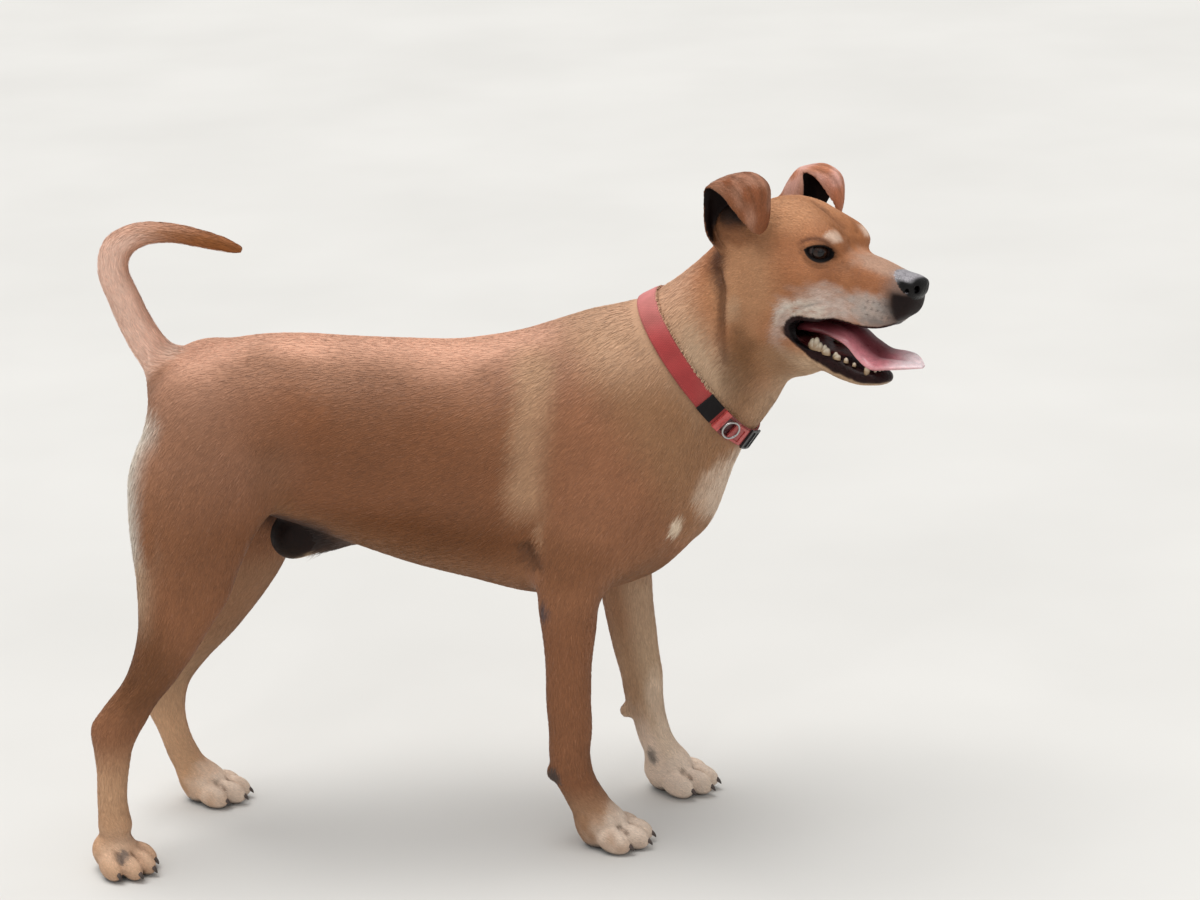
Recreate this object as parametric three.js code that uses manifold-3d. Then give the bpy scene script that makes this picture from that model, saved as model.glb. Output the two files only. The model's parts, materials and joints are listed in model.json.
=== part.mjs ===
// A standing short-coated dog, life size, as a still model: three.js solids in millimetres, +X to the chest, +Y to the dog's left, +Z up.
// The body is one smooth field: sections swept along straight axes and ellipsoids, blended into each other.
// Each named part of the body is a facetted piece of that field, trimmed by planes with a thin gap to its neighbours.
import * as THREE from "three";
import Module from "manifold-3d";

const wasm = await Module();
wasm.setup();

// ------------------------------------------------------------------ driving sizes
const GAP = 0.36; // between touching pieces
const HEAD_AT = [489, -80, 665]; // midpoint between the eyes
const HEAD_TURN = [-42, 5, -5]; // yaw, pitch, roll in degrees: turned to the dog's right
const EYE_R = 12.4,
  EYE_AT = [-6, 29, 2];
// grid step of each part's surface, and the share of its facets that is kept
const CELL = { head: 8, jaw: 8, neck: 16, trunk: 22, thigh: 15, shank: 11, meta: 9, forearm: 11, pastern: 9, paw: 7.5, tail: 8 };
const KEEP = { head: 0.34, jaw: 0.2, neck: 0.09, trunk: 0.27, thigh: 0.3, shank: 0.22, meta: 0.2, forearm: 0.2, pastern: 0.22, paw: 0.32, tail: 0.22 };
const COLLAR = { at: [345, -4, 525], n: [0.808, -0.167, 0.564], width: 22, thick: 2.8, sunk: 1.2, steps: 30 };
const PAWS = {
  fore_right: { at: [226, -69], heading: -12, size: 1.0 },
  fore_left: { at: [304, 78], heading: -20, size: 1.0 },
  hind_right: { at: [-305, -91], heading: -42, size: 0.94 },
  hind_left: { at: [-225, 92], heading: -12, size: 0.94 },
};
const TOES = [[14, -25, -9], [31, -9.5, -3], [31, 9.5, 3], [14, 25, 9]]; // forward, sideways, splay

// ------------------------------------------------------------------ small vector tools
const rad = (d) => (d * Math.PI) / 180;
const dot = (a, b) => a[0] * b[0] + a[1] * b[1] + a[2] * b[2];
const sub = (a, b) => [a[0] - b[0], a[1] - b[1], a[2] - b[2]];
const add = (a, b) => [a[0] + b[0], a[1] + b[1], a[2] + b[2]];
const mul = (a, s) => [a[0] * s, a[1] * s, a[2] * s];
const unit = (a) => mul(a, 1 / Math.hypot(...a));
const cross = (a, b) => [a[1] * b[2] - a[2] * b[1], a[2] * b[0] - a[0] * b[2], a[0] * b[1] - a[1] * b[0]];
// rows of Rz(yaw) Ry(pitch) Rx(roll)
function turn([yaw, pitch, roll]) {
  const m = new THREE.Matrix4().makeRotationFromEuler(new THREE.Euler(rad(roll), rad(pitch), rad(yaw), "ZYX")).elements;
  return [[m[0], m[4], m[8]], [m[1], m[5], m[9]], [m[2], m[6], m[10]]];
}
const mv = (M, v) => [dot(M[0], v), dot(M[1], v), dot(M[2], v)];
const mtv = (M, v) => [0, 1, 2].map((j) => M[0][j] * v[0] + M[1][j] * v[1] + M[2][j] * v[2]);
const mm = (A, B) => [0, 1, 2].map((i) => [0, 1, 2].map((j) => A[i][0] * B[0][j] + A[i][1] * B[1][j] + A[i][2] * B[2][j]));
const I3 = [[1, 0, 0], [0, 1, 0], [0, 0, 1]];
const HM = turn(HEAD_TURN);
const headPoint = (p) => add(mv(HM, p), HEAD_AT);
const headDir = (p) => mv(HM, p);

// ------------------------------------------------------------------ the field's shapes
const SHAPES = [];
const X = [1, 0, 0],
  DOWN = [0, 0, -1],
  NECK = [0.82, 0, 0.572];

function ell(name, c, r, { rot = [0, 0, 0], k = 15, op = "add", fr = "w" } = {}) {
  let M = turn(rot),
    C = c;
  if (fr === "h") {
    C = headPoint(c);
    M = mm(HM, M);
  }
  const ext = [0, 1, 2].map((i) => Math.abs(M[i][0]) * r[0] + Math.abs(M[i][1]) * r[1] + Math.abs(M[i][2]) * r[2]);
  SHAPES.push({
    name, k, op, lo: sub(C, ext), hi: add(C, ext),
    d(P) {
      const L = mtv(M, sub(P, C));
      const q = [L[0] / r[0], L[1] / r[1], L[2] / r[2]];
      const k0 = Math.hypot(...q),
        k1 = Math.hypot(q[0] / r[0], q[1] / r[1], q[2] / r[2]) + 1e-9;
      return k0 < 1e-6 ? -Math.min(...r) : (k0 * (k0 - 1)) / k1;
    },
  });
}

// sections [x, y, z, half width, height above, height below] across a fixed axis
function sweep(name, axis, st, { k = 20, e = 2, cap = [1, 1], op = "add", fr = "w" } = {}) {
  const A = unit(axis),
    s0 = [0, 1, 0],
    Sd = unit(sub(s0, mul(A, dot(A, s0)))),
    U = cross(A, Sd),
    n = st.length;
  const kn = st.map((r) => dot(r.slice(0, 3), A));
  const col = st.map((r) => [dot(r.slice(0, 3), Sd), dot(r.slice(0, 3), U), r[3], r[4], r[5]]);
  const slope = (i, j) => col[j].map((v, c) => (v - col[i][c]) / (kn[j] - kn[i]));
  const D = st.map((_, i) => {
    if (i === 0) return slope(0, 1);
    if (i === n - 1) return slope(n - 2, n - 1);
    const h0 = kn[i] - kn[i - 1],
      h1 = kn[i + 1] - kn[i],
      d0 = slope(i - 1, i),
      d1 = slope(i, i + 1);
    return d0.map((v, c) => (v * h1 + d1[c] * h0) / (h0 + h1));
  });
  const M = fr === "h" ? HM : I3,
    O = fr === "h" ? HEAD_AT : [0, 0, 0];
  const lo = [1e9, 1e9, 1e9],
    hi = [-1e9, -1e9, -1e9],
    mc = Math.max(...cap);
  for (const r of st)
    for (const a1 of [-1, 1])
      for (const a2 of [-1, 1])
        for (const c of [-1, 1]) {
          let p = add(r.slice(0, 3), mul(Sd, a1 * r[3]));
          p = add(p, mul(U, a2 > 0 ? r[4] : -r[5]));
          p = add(mv(M, add(p, mul(A, c * mc))), O);
          for (let i = 0; i < 3; i++) {
            lo[i] = Math.min(lo[i], p[i]);
            hi[i] = Math.max(hi[i], p[i]);
          }
        }
  SHAPES.push({
    name, k, op, lo, hi,
    d(P) {
      const L = mtv(M, sub(P, O)),
        s = dot(L, A);
      const sc = Math.min(Math.max(s, kn[0]), kn[n - 1]);
      let i = 0;
      while (i < n - 2 && kn[i + 1] < sc) i++;
      const h = kn[i + 1] - kn[i],
        t = (sc - kn[i]) / h,
        t2 = t * t,
        t3 = t2 * t;
      const wo = Math.min(s - kn[0], 0) + Math.max(s - kn[n - 1], 0),
        ex = Math.exp(-Math.abs(wo) / 12);
      const v = [], dv = [];
      for (let c = 0; c < 5; c++) {
        let a = (2 * t3 - 3 * t2 + 1) * col[i][c] + (t3 - 2 * t2 + t) * h * D[i][c] + (-2 * t3 + 3 * t2) * col[i + 1][c] + (t3 - t2) * h * D[i + 1][c];
        const b = ((6 * t2 - 6 * t) * col[i][c]) / h + (3 * t2 - 4 * t + 1) * D[i][c] + ((-6 * t2 + 6 * t) * col[i + 1][c]) / h + (3 * t2 - 2 * t) * D[i + 1][c];
        a += b * Math.sign(wo) * 12 * (1 - ex);
        v.push(c > 1 ? Math.max(a, 2) : a);
        dv.push(b * ex);
      }
      const ls = dot(L, Sd) - v[0],
        lu = dot(L, U) - v[1],
        a = v[2],
        up = lu > 0,
        hg = up ? v[3] : v[4],
        dh = up ? dv[3] : dv[4];
      const x = Math.abs(ls) / a,
        y = Math.abs(lu) / hg;
      const rho = Math.pow(Math.pow(x, e) + Math.pow(y, e), 1 / e) + 1e-9,
        xs = Math.pow(x, e - 1),
        ys = Math.pow(y, e - 1),
        r1 = Math.pow(rho, 1 - e);
      const gs = (r1 * xs) / a,
        gu = (r1 * ys) / hg,
        ga = r1 * ((xs * (-Math.sign(ls) * dv[0] - x * dv[2])) / a + (ys * (-Math.sign(lu) * dv[1] - y * dh)) / hg);
      const g = Math.hypot(gs, gu, ga) + 1e-9,
        w = Math.abs(wo),
        cp = s < kn[0] ? cap[0] : cap[1];
      const q = Math.hypot(rho, w / cp),
        gq = Math.hypot(rho * g, w / (cp * cp)) / q;
      return (q - 1) / Math.max(gq, 1e-4);
    },
  });
}

function smoothPath(st, m) {
  const n = st.length,
    w = (i) => (i < 0 ? st[0].map((v, c) => 2 * v - st[1][c]) : i >= n ? st[n - 1].map((v, c) => 2 * v - st[n - 2][c]) : st[i]);
  const out = [];
  for (let i = 0; i < n - 1; i++)
    for (let j = 0; j < m; j++) {
      const t = j / m;
      out.push(w(i).map((p1, c) => {
        const p0 = w(i - 1)[c], p2 = w(i + 1)[c], p3 = w(i + 2)[c];
        return 0.5 * (2 * p1 + (-p0 + p2) * t + (2 * p0 - 5 * p1 + 4 * p2 - p3) * t * t + (-p0 + 3 * p1 - 3 * p2 + p3) * t * t * t);
      }));
    }
  out.push(st[n - 1]);
  return out;
}

// a round tube along a bent path in the XZ plane: [x, y, z, half width, above, below]
function tube(name, st, { k = 20, cap = [1, 1] } = {}) {
  const S = smoothPath(st, 4),
    n = S.length,
    C = S.map((r) => r.slice(0, 3));
  const T = C.map((_, i) => unit(sub(C[Math.min(i + 1, n - 1)], C[Math.max(i - 1, 0)])));
  const Sd = T.map((t) => unit(sub([0, 1, 0], mul(t, t[1])))),
    U = T.map((t, i) => cross(t, Sd[i]));
  const m = Math.max(...S.map((r) => Math.max(r[3], r[4], r[5])), ...cap);
  const lo = [0, 1, 2].map((i) => Math.min(...C.map((c) => c[i])) - m),
    hi = [0, 1, 2].map((i) => Math.max(...C.map((c) => c[i])) + m);
  const mix = (a, b, t) => a.map((v, i) => v * (1 - t) + b[i] * t);
  SHAPES.push({
    name, k, op: "add", lo, hi,
    d(P) {
      let best = 1e18, bi = 0, bt = 0;
      for (let i = 0; i < n - 1; i++) {
        const D = sub(C[i + 1], C[i]),
          q = sub(P, C[i]),
          t = Math.min(Math.max(dot(q, D) / dot(D, D), 0), 1),
          r = sub(q, mul(D, t)),
          d2 = dot(r, r);
        if (d2 < best) [best, bi, bt] = [d2, i, t];
      }
      const c = mix(C[bi], C[bi + 1], bt),
        s = unit(mix(Sd[bi], Sd[bi + 1], bt)),
        u = unit(mix(U[bi], U[bi + 1], bt)),
        R = mix(S[bi].slice(3), S[bi + 1].slice(3), bt),
        r = sub(P, c),
        ls = dot(r, s),
        lu = dot(r, u);
      let w = Math.sqrt(Math.max(dot(r, r) - ls * ls - lu * lu, 0));
      const start = bi === 0 && bt <= 0,
        end = bi === n - 2 && bt >= 1,
        cp = start ? cap[0] : end ? cap[1] : 1e9;
      if (!start && !end) w = 0;
      const a = R[0],
        h = lu > 0 ? R[1] : R[2],
        x = Math.abs(ls) / a,
        y = Math.abs(lu) / h,
        rho = Math.hypot(x, y) + 1e-9,
        g = Math.hypot(x / a, y / h) / rho + 1e-9,
        q = Math.hypot(rho, w / cp),
        gq = Math.hypot(rho * g, w / (cp * cp)) / q;
      return (q - 1) / Math.max(gq, 1e-4);
    },
  });
}

// ------------------------------------------------------------------ trunk and neck
sweep("trunk", X, [
  [-228, 0, 506, 44, 42, 60],
  [-205, 0, 494, 58, 62, 74],
  [-175, 0, 482, 69, 83, 85],
  [-130, 0, 470, 73, 103, 95],
  [-80, 0, 466, 76, 107, 110],
  [-30, 0, 455, 82, 113, 120],
  [30, 0, 440, 90, 123, 128],
  [90, 0, 430, 95, 130, 136],
  [150, 0, 424, 96, 142, 148],
  [205, 0, 420, 92, 150, 150],
  [255, 0, 415, 84, 146, 136],
  [300, 0, 410, 72, 120, 112],
  [334, 0, 404, 54, 80, 76],
], { k: 0, e: 2.2, cap: [20, 34] });
sweep("neck", NECK, [
  [215, 0, 440, 80, 112, 100],
  [290, 0, 490, 76, 114, 112],
  [345, -4, 525, 68, 96, 95],
  [385, -14, 575, 63, 78, 88],
  [412, -28, 620, 60, 64, 74],
], { k: 40, e: 2.1, cap: [60, 30] });
for (const s of [-1, 1]) {
  ell("shoulder", [s > 0 ? 252 : 238, s * 56, 420], [80, 42, 124], { rot: [0, 14, 0], k: 30 });
  ell("rump", [-184, s * 38, 496], [50, 40, 60], { k: 30 });
}

// ------------------------------------------------------------------ legs: sections from the body down, half width, front, back
const LEG = (name, st, k) => sweep(name, DOWN, st, { k, cap: [40, 14] });
LEG("fore_right", [
  [228, -64, 400, 36, 58, 52],
  [205, -70, 330, 32, 44, 40],
  [195, -74, 285, 28, 35, 35],
  [194, -74, 250, 25, 31, 31],
  [192, -74, 207, 22.5, 26, 26],
  [191, -74, 170, 21, 25, 25.5],
  [191, -74, 138, 20.5, 25, 24],
  [190, -74, 108, 21.5, 23, 23.5],
  [194, -74, 84, 20.5, 23, 24],
  [206, -73, 58, 21, 24, 24],
  [216, -72, 36, 22, 24, 24],
], 22);
LEG("fore_left", [
  [262, 62, 400, 36, 58, 52],
  [254, 67, 335, 32, 45, 42],
  [251, 70, 290, 28, 38, 36],
  [257, 72, 250, 25.5, 32, 32],
  [262, 74, 207, 23, 28.5, 28.5],
  [267, 75, 171, 21.5, 26, 26.5],
  [272, 76, 141, 21, 24.5, 24.5],
  [274, 77, 113, 21.5, 22.5, 22.5],
  [279, 78, 90, 20.5, 20, 20.5],
  [286, 78, 64, 20, 20, 21],
  [295, 79, 42, 21.5, 22, 22],
], 22);
LEG("hind_right", [
  [-178, -50, 505, 34, 56, 60],
  [-184, -57, 450, 38, 76, 82],
  [-190, -62, 405, 37, 78, 81],
  [-203, -66, 365, 34, 66, 67],
  [-210, -70, 331, 31, 56, 57],
  [-217, -74, 300, 28.5, 50, 50],
  [-228, -78, 270, 26, 40, 41],
  [-243, -80, 240, 23.5, 35, 34],
  [-261, -82, 212, 21, 31, 29],
  [-280, -84, 190, 19.5, 30, 28],
  [-294, -85, 168, 19, 30, 29],
  [-301, -86, 144, 18, 23, 23],
  [-304, -87, 115, 17, 18.5, 18.5],
  [-307, -88, 80, 17, 17, 17],
  [-306, -88, 52, 19, 18.5, 19],
], 24);
LEG("hind_left", [
  [-178, 50, 505, 34, 58, 60],
  [-176, 57, 450, 38, 80, 78],
  [-168, 62, 405, 37, 82, 80],
  [-158, 67, 362, 34, 64, 72],
  [-157, 72, 325, 31, 54, 66],
  [-167, 77, 290, 28, 49, 56],
  [-188, 82, 250, 25, 44, 48],
  [-218, 86, 208, 22, 39, 40],
  [-247, 89, 173, 20, 33, 38],
  [-265, 91, 146, 19, 30, 32],
  [-266, 92, 118, 18, 23, 24],
  [-259, 92, 88, 17, 18, 19],
  [-249, 93, 58, 17.5, 18, 20],
  [-240, 93, 36, 19, 20, 20],
], 24);

// ------------------------------------------------------------------ paws: a body, four toes and a pad
const pawPlace = ({ at, heading, size }) => {
  const c = Math.cos(rad(heading)),
    s = Math.sin(rad(heading));
  return (p) => [at[0] + size * (p[0] * c - p[1] * s), at[1] + size * (p[0] * s + p[1] * c), size * p[2]];
};
for (const [leg, p] of Object.entries(PAWS)) {
  const W = pawPlace(p),
    S = (r) => mul(r, p.size),
    h = p.heading;
  ell(leg + "_pawbody", W([-4, 0, 22]), S([30, 26, 24]), { rot: [h, 10, 0], k: 14 });
  for (const [x, y, sp] of TOES) ell(leg + "_toe", W([x, y, 14]), S([20, 10.5, 14.5]), { rot: [h + sp, 14, 0], k: 5 });
  ell(leg + "_pad", W([-6, 0, 9]), S([20, 18, 12]), { rot: [h, 0, 0], k: 6 });
}
ell("right_wrist_pad", [171, -77, 90], [8, 8, 9], { k: 8 });
ell("left_wrist_pad", [253, 74, 98], [8, 8, 9], { k: 8 });

// ------------------------------------------------------------------ tail, carried up and curled over the back
tube("tail", [
  [-200, 0, 522, 26, 26, 28],
  [-226, 0, 545, 22, 22, 23],
  [-242, 0, 566, 19.5, 21, 21],
  [-255, 0, 592, 18, 19.5, 20],
  [-265, 0, 620, 17.5, 19, 19],
  [-274, 0, 648, 17, 18, 18.5],
  [-268, 0, 674, 16, 17.5, 19],
  [-243, 0, 688, 14.5, 14.5, 15.5],
  [-209, 0, 688, 12.5, 12.5, 12.5],
  [-180, 0, 681, 11, 11.5, 12],
  [-160, 0, 675.5, 10, 10, 10.5],
  [-146, 0, 670, 8, 8, 8.4],
  [-138, 0, 667.5, 6, 6, 6.2],
], { k: 22, cap: [10, 6] });
ell("sheath", [-64, 6, 348], [52, 19, 25], { rot: [0, -12, 0], k: 16 });
ell("scrotum", [-102, 4, 345], [27, 22, 29], { rot: [0, 20, 0], k: 12 });

// ------------------------------------------------------------------ head, in its own frame: x to the nose, y left, z up from between the eyes
const H = { fr: "h" };
ell("cranium", [-52, 0, -1], [66, 48, 46], { k: 26, ...H });
for (const s of [-1, 1]) {
  ell("brow", [-7, s * 22, 8], [26, 18, 18.5], { k: 18, ...H });
  ell("cheek", [-36, s * 38, -24], [44, 21, 24], { k: 16, ...H });
  ell("masseter", [-66, s * 34, -54], [40, 25, 48], { k: 18, ...H });
  ell("buccal", [-14, s * 31, -46], [36, 17, 32], { k: 16, ...H });
  ell("maxilla", [10, s * 22, -22], [34, 16, 20], { k: 12, ...H });
  ell("earbase", [-98, s * 44, 6], [30, 20, 26], { k: 14, ...H });
}
sweep("muzzle", X, [
  [-22, 0, -26, 42, 26, 50],
  [8, 0, -28, 36, 32, 45],
  [32, 0, -30, 31, 34, 43],
  [56, 0, -31, 28, 33, 42],
  [76, 0, -29, 26, 27, 36],
  [90, 0, -26, 23.5, 20, 27],
  [99, 0, -26, 19.5, 14, 20],
], { k: 10, e: 2.6, cap: [20, 7], ...H });
sweep("nosepad", X, [
  [78, 0, -11, 13, 7, 8],
  [90, 0, -12, 17, 9, 10],
  [98, 0, -13, 17.5, 9.5, 11],
  [104, 0, -13.5, 15.5, 9, 11],
], { k: 3, e: 2.5, cap: [8, 7], ...H });
ell("throat", [-60, 0, -100], [54, 38, 50], { k: 20, ...H });
sweep("jaw", X, [
  [-60, 0, -104, 36, 22, 34],
  [-25, 0, -108, 31, 18, 32],
  [5, 0, -112, 27, 17, 17],
  [30, 0, -118, 24, 15, 14],
  [52, 0, -121, 21.5, 12, 11],
  [70, 0, -120, 18, 10, 8],
], { k: 12, e: 2.3, cap: [20, 12], ...H });
// the open mouth: a cavity behind, a cleft through both sides in front, and the hollow under the palate
const CUT = { op: "cut", fr: "h" };
sweep("cavity", X, [
  [-40, 0, -90, 22, 10, 9],
  [-10, 0, -88, 25, 18, 13],
  [10, 0, -88, 24, 18, 12],
], { k: 5, e: 2.3, cap: [12, 12], ...CUT });
sweep("cleft", X, [
  [-18, 0, -87, 60, 12, 14],
  [-7, 0, -88, 60, 18, 16],
  [8, 0, -89, 60, 20, 13],
  [24, 0, -92, 60, 22, 10],
  [60, 0, -92, 60, 21, 14],
  [120, 0, -92, 60, 40, 16],
], { k: 4, e: 2.4, cap: [9, 30], ...CUT });
sweep("palate", X, [
  [-20, 0, -84, 20, 16, 12],
  [40, 0, -82, 19, 19, 14],
  [76, 0, -76, 16, 14, 14],
  [92, 0, -66, 11, 6, 12],
], { k: 5, e: 2.4, cap: [14, 6], ...CUT });
ell("furrow", [-16, 0, 44], [42, 5, 10], { rot: [0, 22, 0], k: 12, ...CUT });
for (const s of [-1, 1]) {
  const [ex, ey, ez] = EYE_AT,
    a = rad(35);
  ell("lids", [ex, s * ey, ez], [15.4, 15.4, 15], { k: 7, ...H });
  ell("slit", [ex + 13 * Math.cos(a), s * (ey + 13 * Math.sin(a)), ez - 0.5], [9, 14.5, 7.8], { rot: [s * 35, 0, -s * 4], k: 1.5, ...CUT });
}

function field(P) {
  let f = 400;
  for (const b of SHAPES) {
    const m = Math.max(b.k, 4) + 30;
    if (P[0] < b.lo[0] - m || P[0] > b.hi[0] + m || P[1] < b.lo[1] - m || P[1] > b.hi[1] + m || P[2] < b.lo[2] - m || P[2] > b.hi[2] + m) continue;
    const s = b.op === "add" ? 1 : -1,
      d = b.d(P),
      h = b.k > 0 ? Math.max(b.k - Math.abs(s * f - d), 0) / b.k : 0;
    f = s * (Math.min(s * f, d) - h * h * b.k * 0.25);
  }
  return f;
}

// ------------------------------------------------------------------ from a field to a closed facetted surface
const gradient = (fn, P, e = 0.6) => [0, 1, 2].map((i) => {
  const a = [...P], b = [...P];
  a[i] += e;
  b[i] -= e;
  return (fn(a) - fn(b)) / (2 * e);
});

// one vertex in each grid cell that the surface crosses, one quad on each crossed grid edge
function surface(fn, lo, hi, h) {
  const n = [0, 1, 2].map((i) => Math.ceil((hi[i] - lo[i]) / h) + 1),
    at = (i, j, k) => (i * n[1] + j) * n[2] + k;
  const F = new Float64Array(n[0] * n[1] * n[2]);
  for (let i = 0; i < n[0]; i++) for (let j = 0; j < n[1]; j++) for (let k = 0; k < n[2]; k++) F[at(i, j, k)] = fn([lo[0] + i * h, lo[1] + j * h, lo[2] + k * h]);
  // where inside and outside meet crosswise on a cell face, the weakest corner gives way, so that no edge carries four facets
  for (let again = true, round = 0; again && round < 30; round++) {
    again = false;
    for (let ax = 0; ax < 3; ax++) {
      const u = [0, 0, 0], w = [0, 0, 0];
      u[(ax + 1) % 3] = 1;
      w[(ax + 2) % 3] = 1;
      const du = at(...u), dw = at(...w);
      for (let i = 0; i < n[0] - u[0] - w[0]; i++)
        for (let j = 0; j < n[1] - u[1] - w[1]; j++)
          for (let k = 0; k < n[2] - u[2] - w[2]; k++) {
            const o = at(i, j, k), c = [o, o + du, o + du + dw, o + dw],
              s = c.map((q) => F[q] < 0);
            if (s[0] !== s[2] || s[1] !== s[3] || s[0] === s[1]) continue;
            const q = c.reduce((a, b) => (Math.abs(F[b]) < Math.abs(F[a]) ? b : a));
            F[q] = F[q] < 0 ? 1e-3 * h : -1e-3 * h;
            again = true;
          }
    }
  }
  const verts = [], cell = new Map(), corner = [];
  for (let c = 0; c < 8; c++) corner.push([c & 1, (c >> 1) & 1, c >> 2]);
  for (let i = 0; i < n[0] - 1; i++)
    for (let j = 0; j < n[1] - 1; j++)
      for (let k = 0; k < n[2] - 1; k++) {
        const f = corner.map(([a, b, c]) => F[at(i + a, j + b, k + c)]),
          inside = f.filter((v) => v < 0).length;
        if (inside === 0 || inside === 8) continue;
        let s = [0, 0, 0], m = 0;
        for (let a = 0; a < 8; a++)
          for (let b = a + 1; b < 8; b++) {
            const d = sub(corner[b], corner[a]);
            if (Math.abs(d[0]) + Math.abs(d[1]) + Math.abs(d[2]) !== 1 || f[a] < 0 === f[b] < 0) continue;
            s = add(s, add(corner[a], mul(d, f[a] / (f[a] - f[b]))));
            m++;
          }
        let P = add(lo, mul(add([i, j, k], mul(s, 1 / m)), h));
        for (let it = 0; it < 3; it++) {
          const g = gradient(fn, P),
            G = Math.max(Math.hypot(...g), 0.3),
            step = Math.max(-0.35 * h, Math.min(0.35 * h, fn(P) / G));
          P = sub(P, mul(g, step / Math.max(Math.hypot(...g), 1e-6)));
        }
        cell.set(at(i, j, k), verts.length);
        verts.push(P);
      }
  const tris = [];
  const quad = (a, b, c, d) => {
    const D = (p, q) => Math.hypot(...sub(verts[p], verts[q]));
    if (D(a, c) <= D(b, d)) tris.push([a, b, c], [a, c, d]);
    else tris.push([a, b, d], [b, c, d]);
  };
  for (let i = 0; i < n[0]; i++)
    for (let j = 0; j < n[1]; j++)
      for (let k = 0; k < n[2]; k++)
        for (let ax = 0; ax < 3; ax++) {
          const p = [i, j, k], q = [i, j, k];
          q[ax]++;
          if (q[ax] >= n[ax]) continue;
          const f0 = F[at(...p)] < 0,
            f1 = F[at(...q)] < 0;
          if (f0 === f1) continue;
          const o1 = (ax + 1) % 3,
            o2 = (ax + 2) % 3;
          const c = (d1, d2) => {
            const r = [...p];
            r[o1] -= d1;
            r[o2] -= d2;
            return cell.get(at(...r));
          };
          const v = [c(1, 1), c(0, 1), c(0, 0), c(1, 0)];
          if (f0) quad(v[0], v[1], v[2], v[3]);
          else quad(v[3], v[2], v[1], v[0]);
        }
  return { verts, tris };
}

// fewer facets where the surface is flat: the edges whose loss moves the surface least go first
function thinned({ verts, tris }, target) {
  let V = verts.map((v) => [...v]),
    T = tris.map((t) => [...t]);
  while (T.length > target) {
    const Q = V.map(() => new Float64Array(10)),
      ring = V.map(() => []);
    T.forEach((t, f) => {
      const m = cross(sub(V[t[1]], V[t[0]]), sub(V[t[2]], V[t[0]])),
        A = Math.hypot(...m) + 1e-12,
        n = mul(m, 1 / A),
        d = -dot(n, V[t[0]]),
        p = [...n, d];
      let c = 0;
      const q = [];
      for (let i = 0; i < 4; i++) for (let j = i; j < 4; j++) q[c++] = p[i] * p[j] * A;
      for (const v of t) {
        ring[v].push(f);
        for (let i = 0; i < 10; i++) Q[v][i] += q[i];
      }
    });
    const err = (q, [x, y, z]) => q[0] * x * x + 2 * q[1] * x * y + 2 * q[2] * x * z + 2 * q[3] * x + q[4] * y * y + 2 * q[5] * y * z + 2 * q[6] * y + q[7] * z * z + 2 * q[8] * z + q[9];
    const edges = [];
    for (const t of T)
      for (let i = 0; i < 3; i++) {
        const a = t[i], b = t[(i + 1) % 3];
        if (a > b) continue;
        const q = Q[a].map((v, k) => v + Q[b][k]);
        let best = null;
        for (const w of [0, 0.25, 0.5, 0.75, 1]) {
          const P = add(mul(V[a], 1 - w), mul(V[b], w)),
            e = err(q, P);
          if (!best || e < best.e) best = { e, P };
        }
        const L = dot(sub(V[a], V[b]), sub(V[a], V[b]));
        edges.push([best.e + 2e-4 * L * L, a, b, best.P]);
      }
    edges.sort((p, q) => p[0] - q[0] || p[1] - q[1] || p[2] - q[2]);
    const busy = new Set(), to = new Map();
    let left = Math.max(1, Math.min(Math.ceil((T.length - target) / 2), Math.ceil(T.length * 0.04)));
    for (const [, a, b, P] of edges) {
      if (left === 0) break;
      const fa = ring[a], fb = ring[b],
        near = new Set([...fa, ...fb].flatMap((f) => T[f]));
      if ([...near].some((v) => busy.has(v))) continue;
      const na = new Set(fa.flatMap((f) => T[f])), nb = new Set(fb.flatMap((f) => T[f]));
      if ([...na].filter((v) => nb.has(v)).length !== 4) continue;
      let ok = true;
      for (const f of [...fa, ...fb]) {
        const t = T[f];
        if (t.includes(a) && t.includes(b)) continue;
        const o = t.map((v) => V[v]),
          w = t.map((v) => (v === a || v === b ? P : V[v]));
        const n0 = cross(sub(o[1], o[0]), sub(o[2], o[0])),
          n1 = cross(sub(w[1], w[0]), sub(w[2], w[0]));
        if (dot(n0, n1) < 0.5 * Math.hypot(...n0) * Math.hypot(...n1)) ok = false;
        const l = [0, 1, 2].map((i) => Math.hypot(...sub(w[i], w[(i + 1) % 3])));
        if (Math.hypot(...n1) < 0.08 * Math.max(...l) ** 2) ok = false;
      }
      if (!ok) continue;
      for (const v of near) busy.add(v);
      to.set(b, a);
      V[a] = P;
      left--;
    }
    if (!to.size) break;
    T = T.map((t) => t.map((v) => to.get(v) ?? v)).filter((t) => t[0] !== t[1] && t[1] !== t[2] && t[0] !== t[2]);
  }
  const used = new Map(), out = [];
  T = T.map((t) => t.map((v) => {
    if (!used.has(v)) {
      used.set(v, out.length);
      out.push(V[v]);
    }
    return used.get(v);
  }));
  return { verts: out, tris: T };
}

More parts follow.
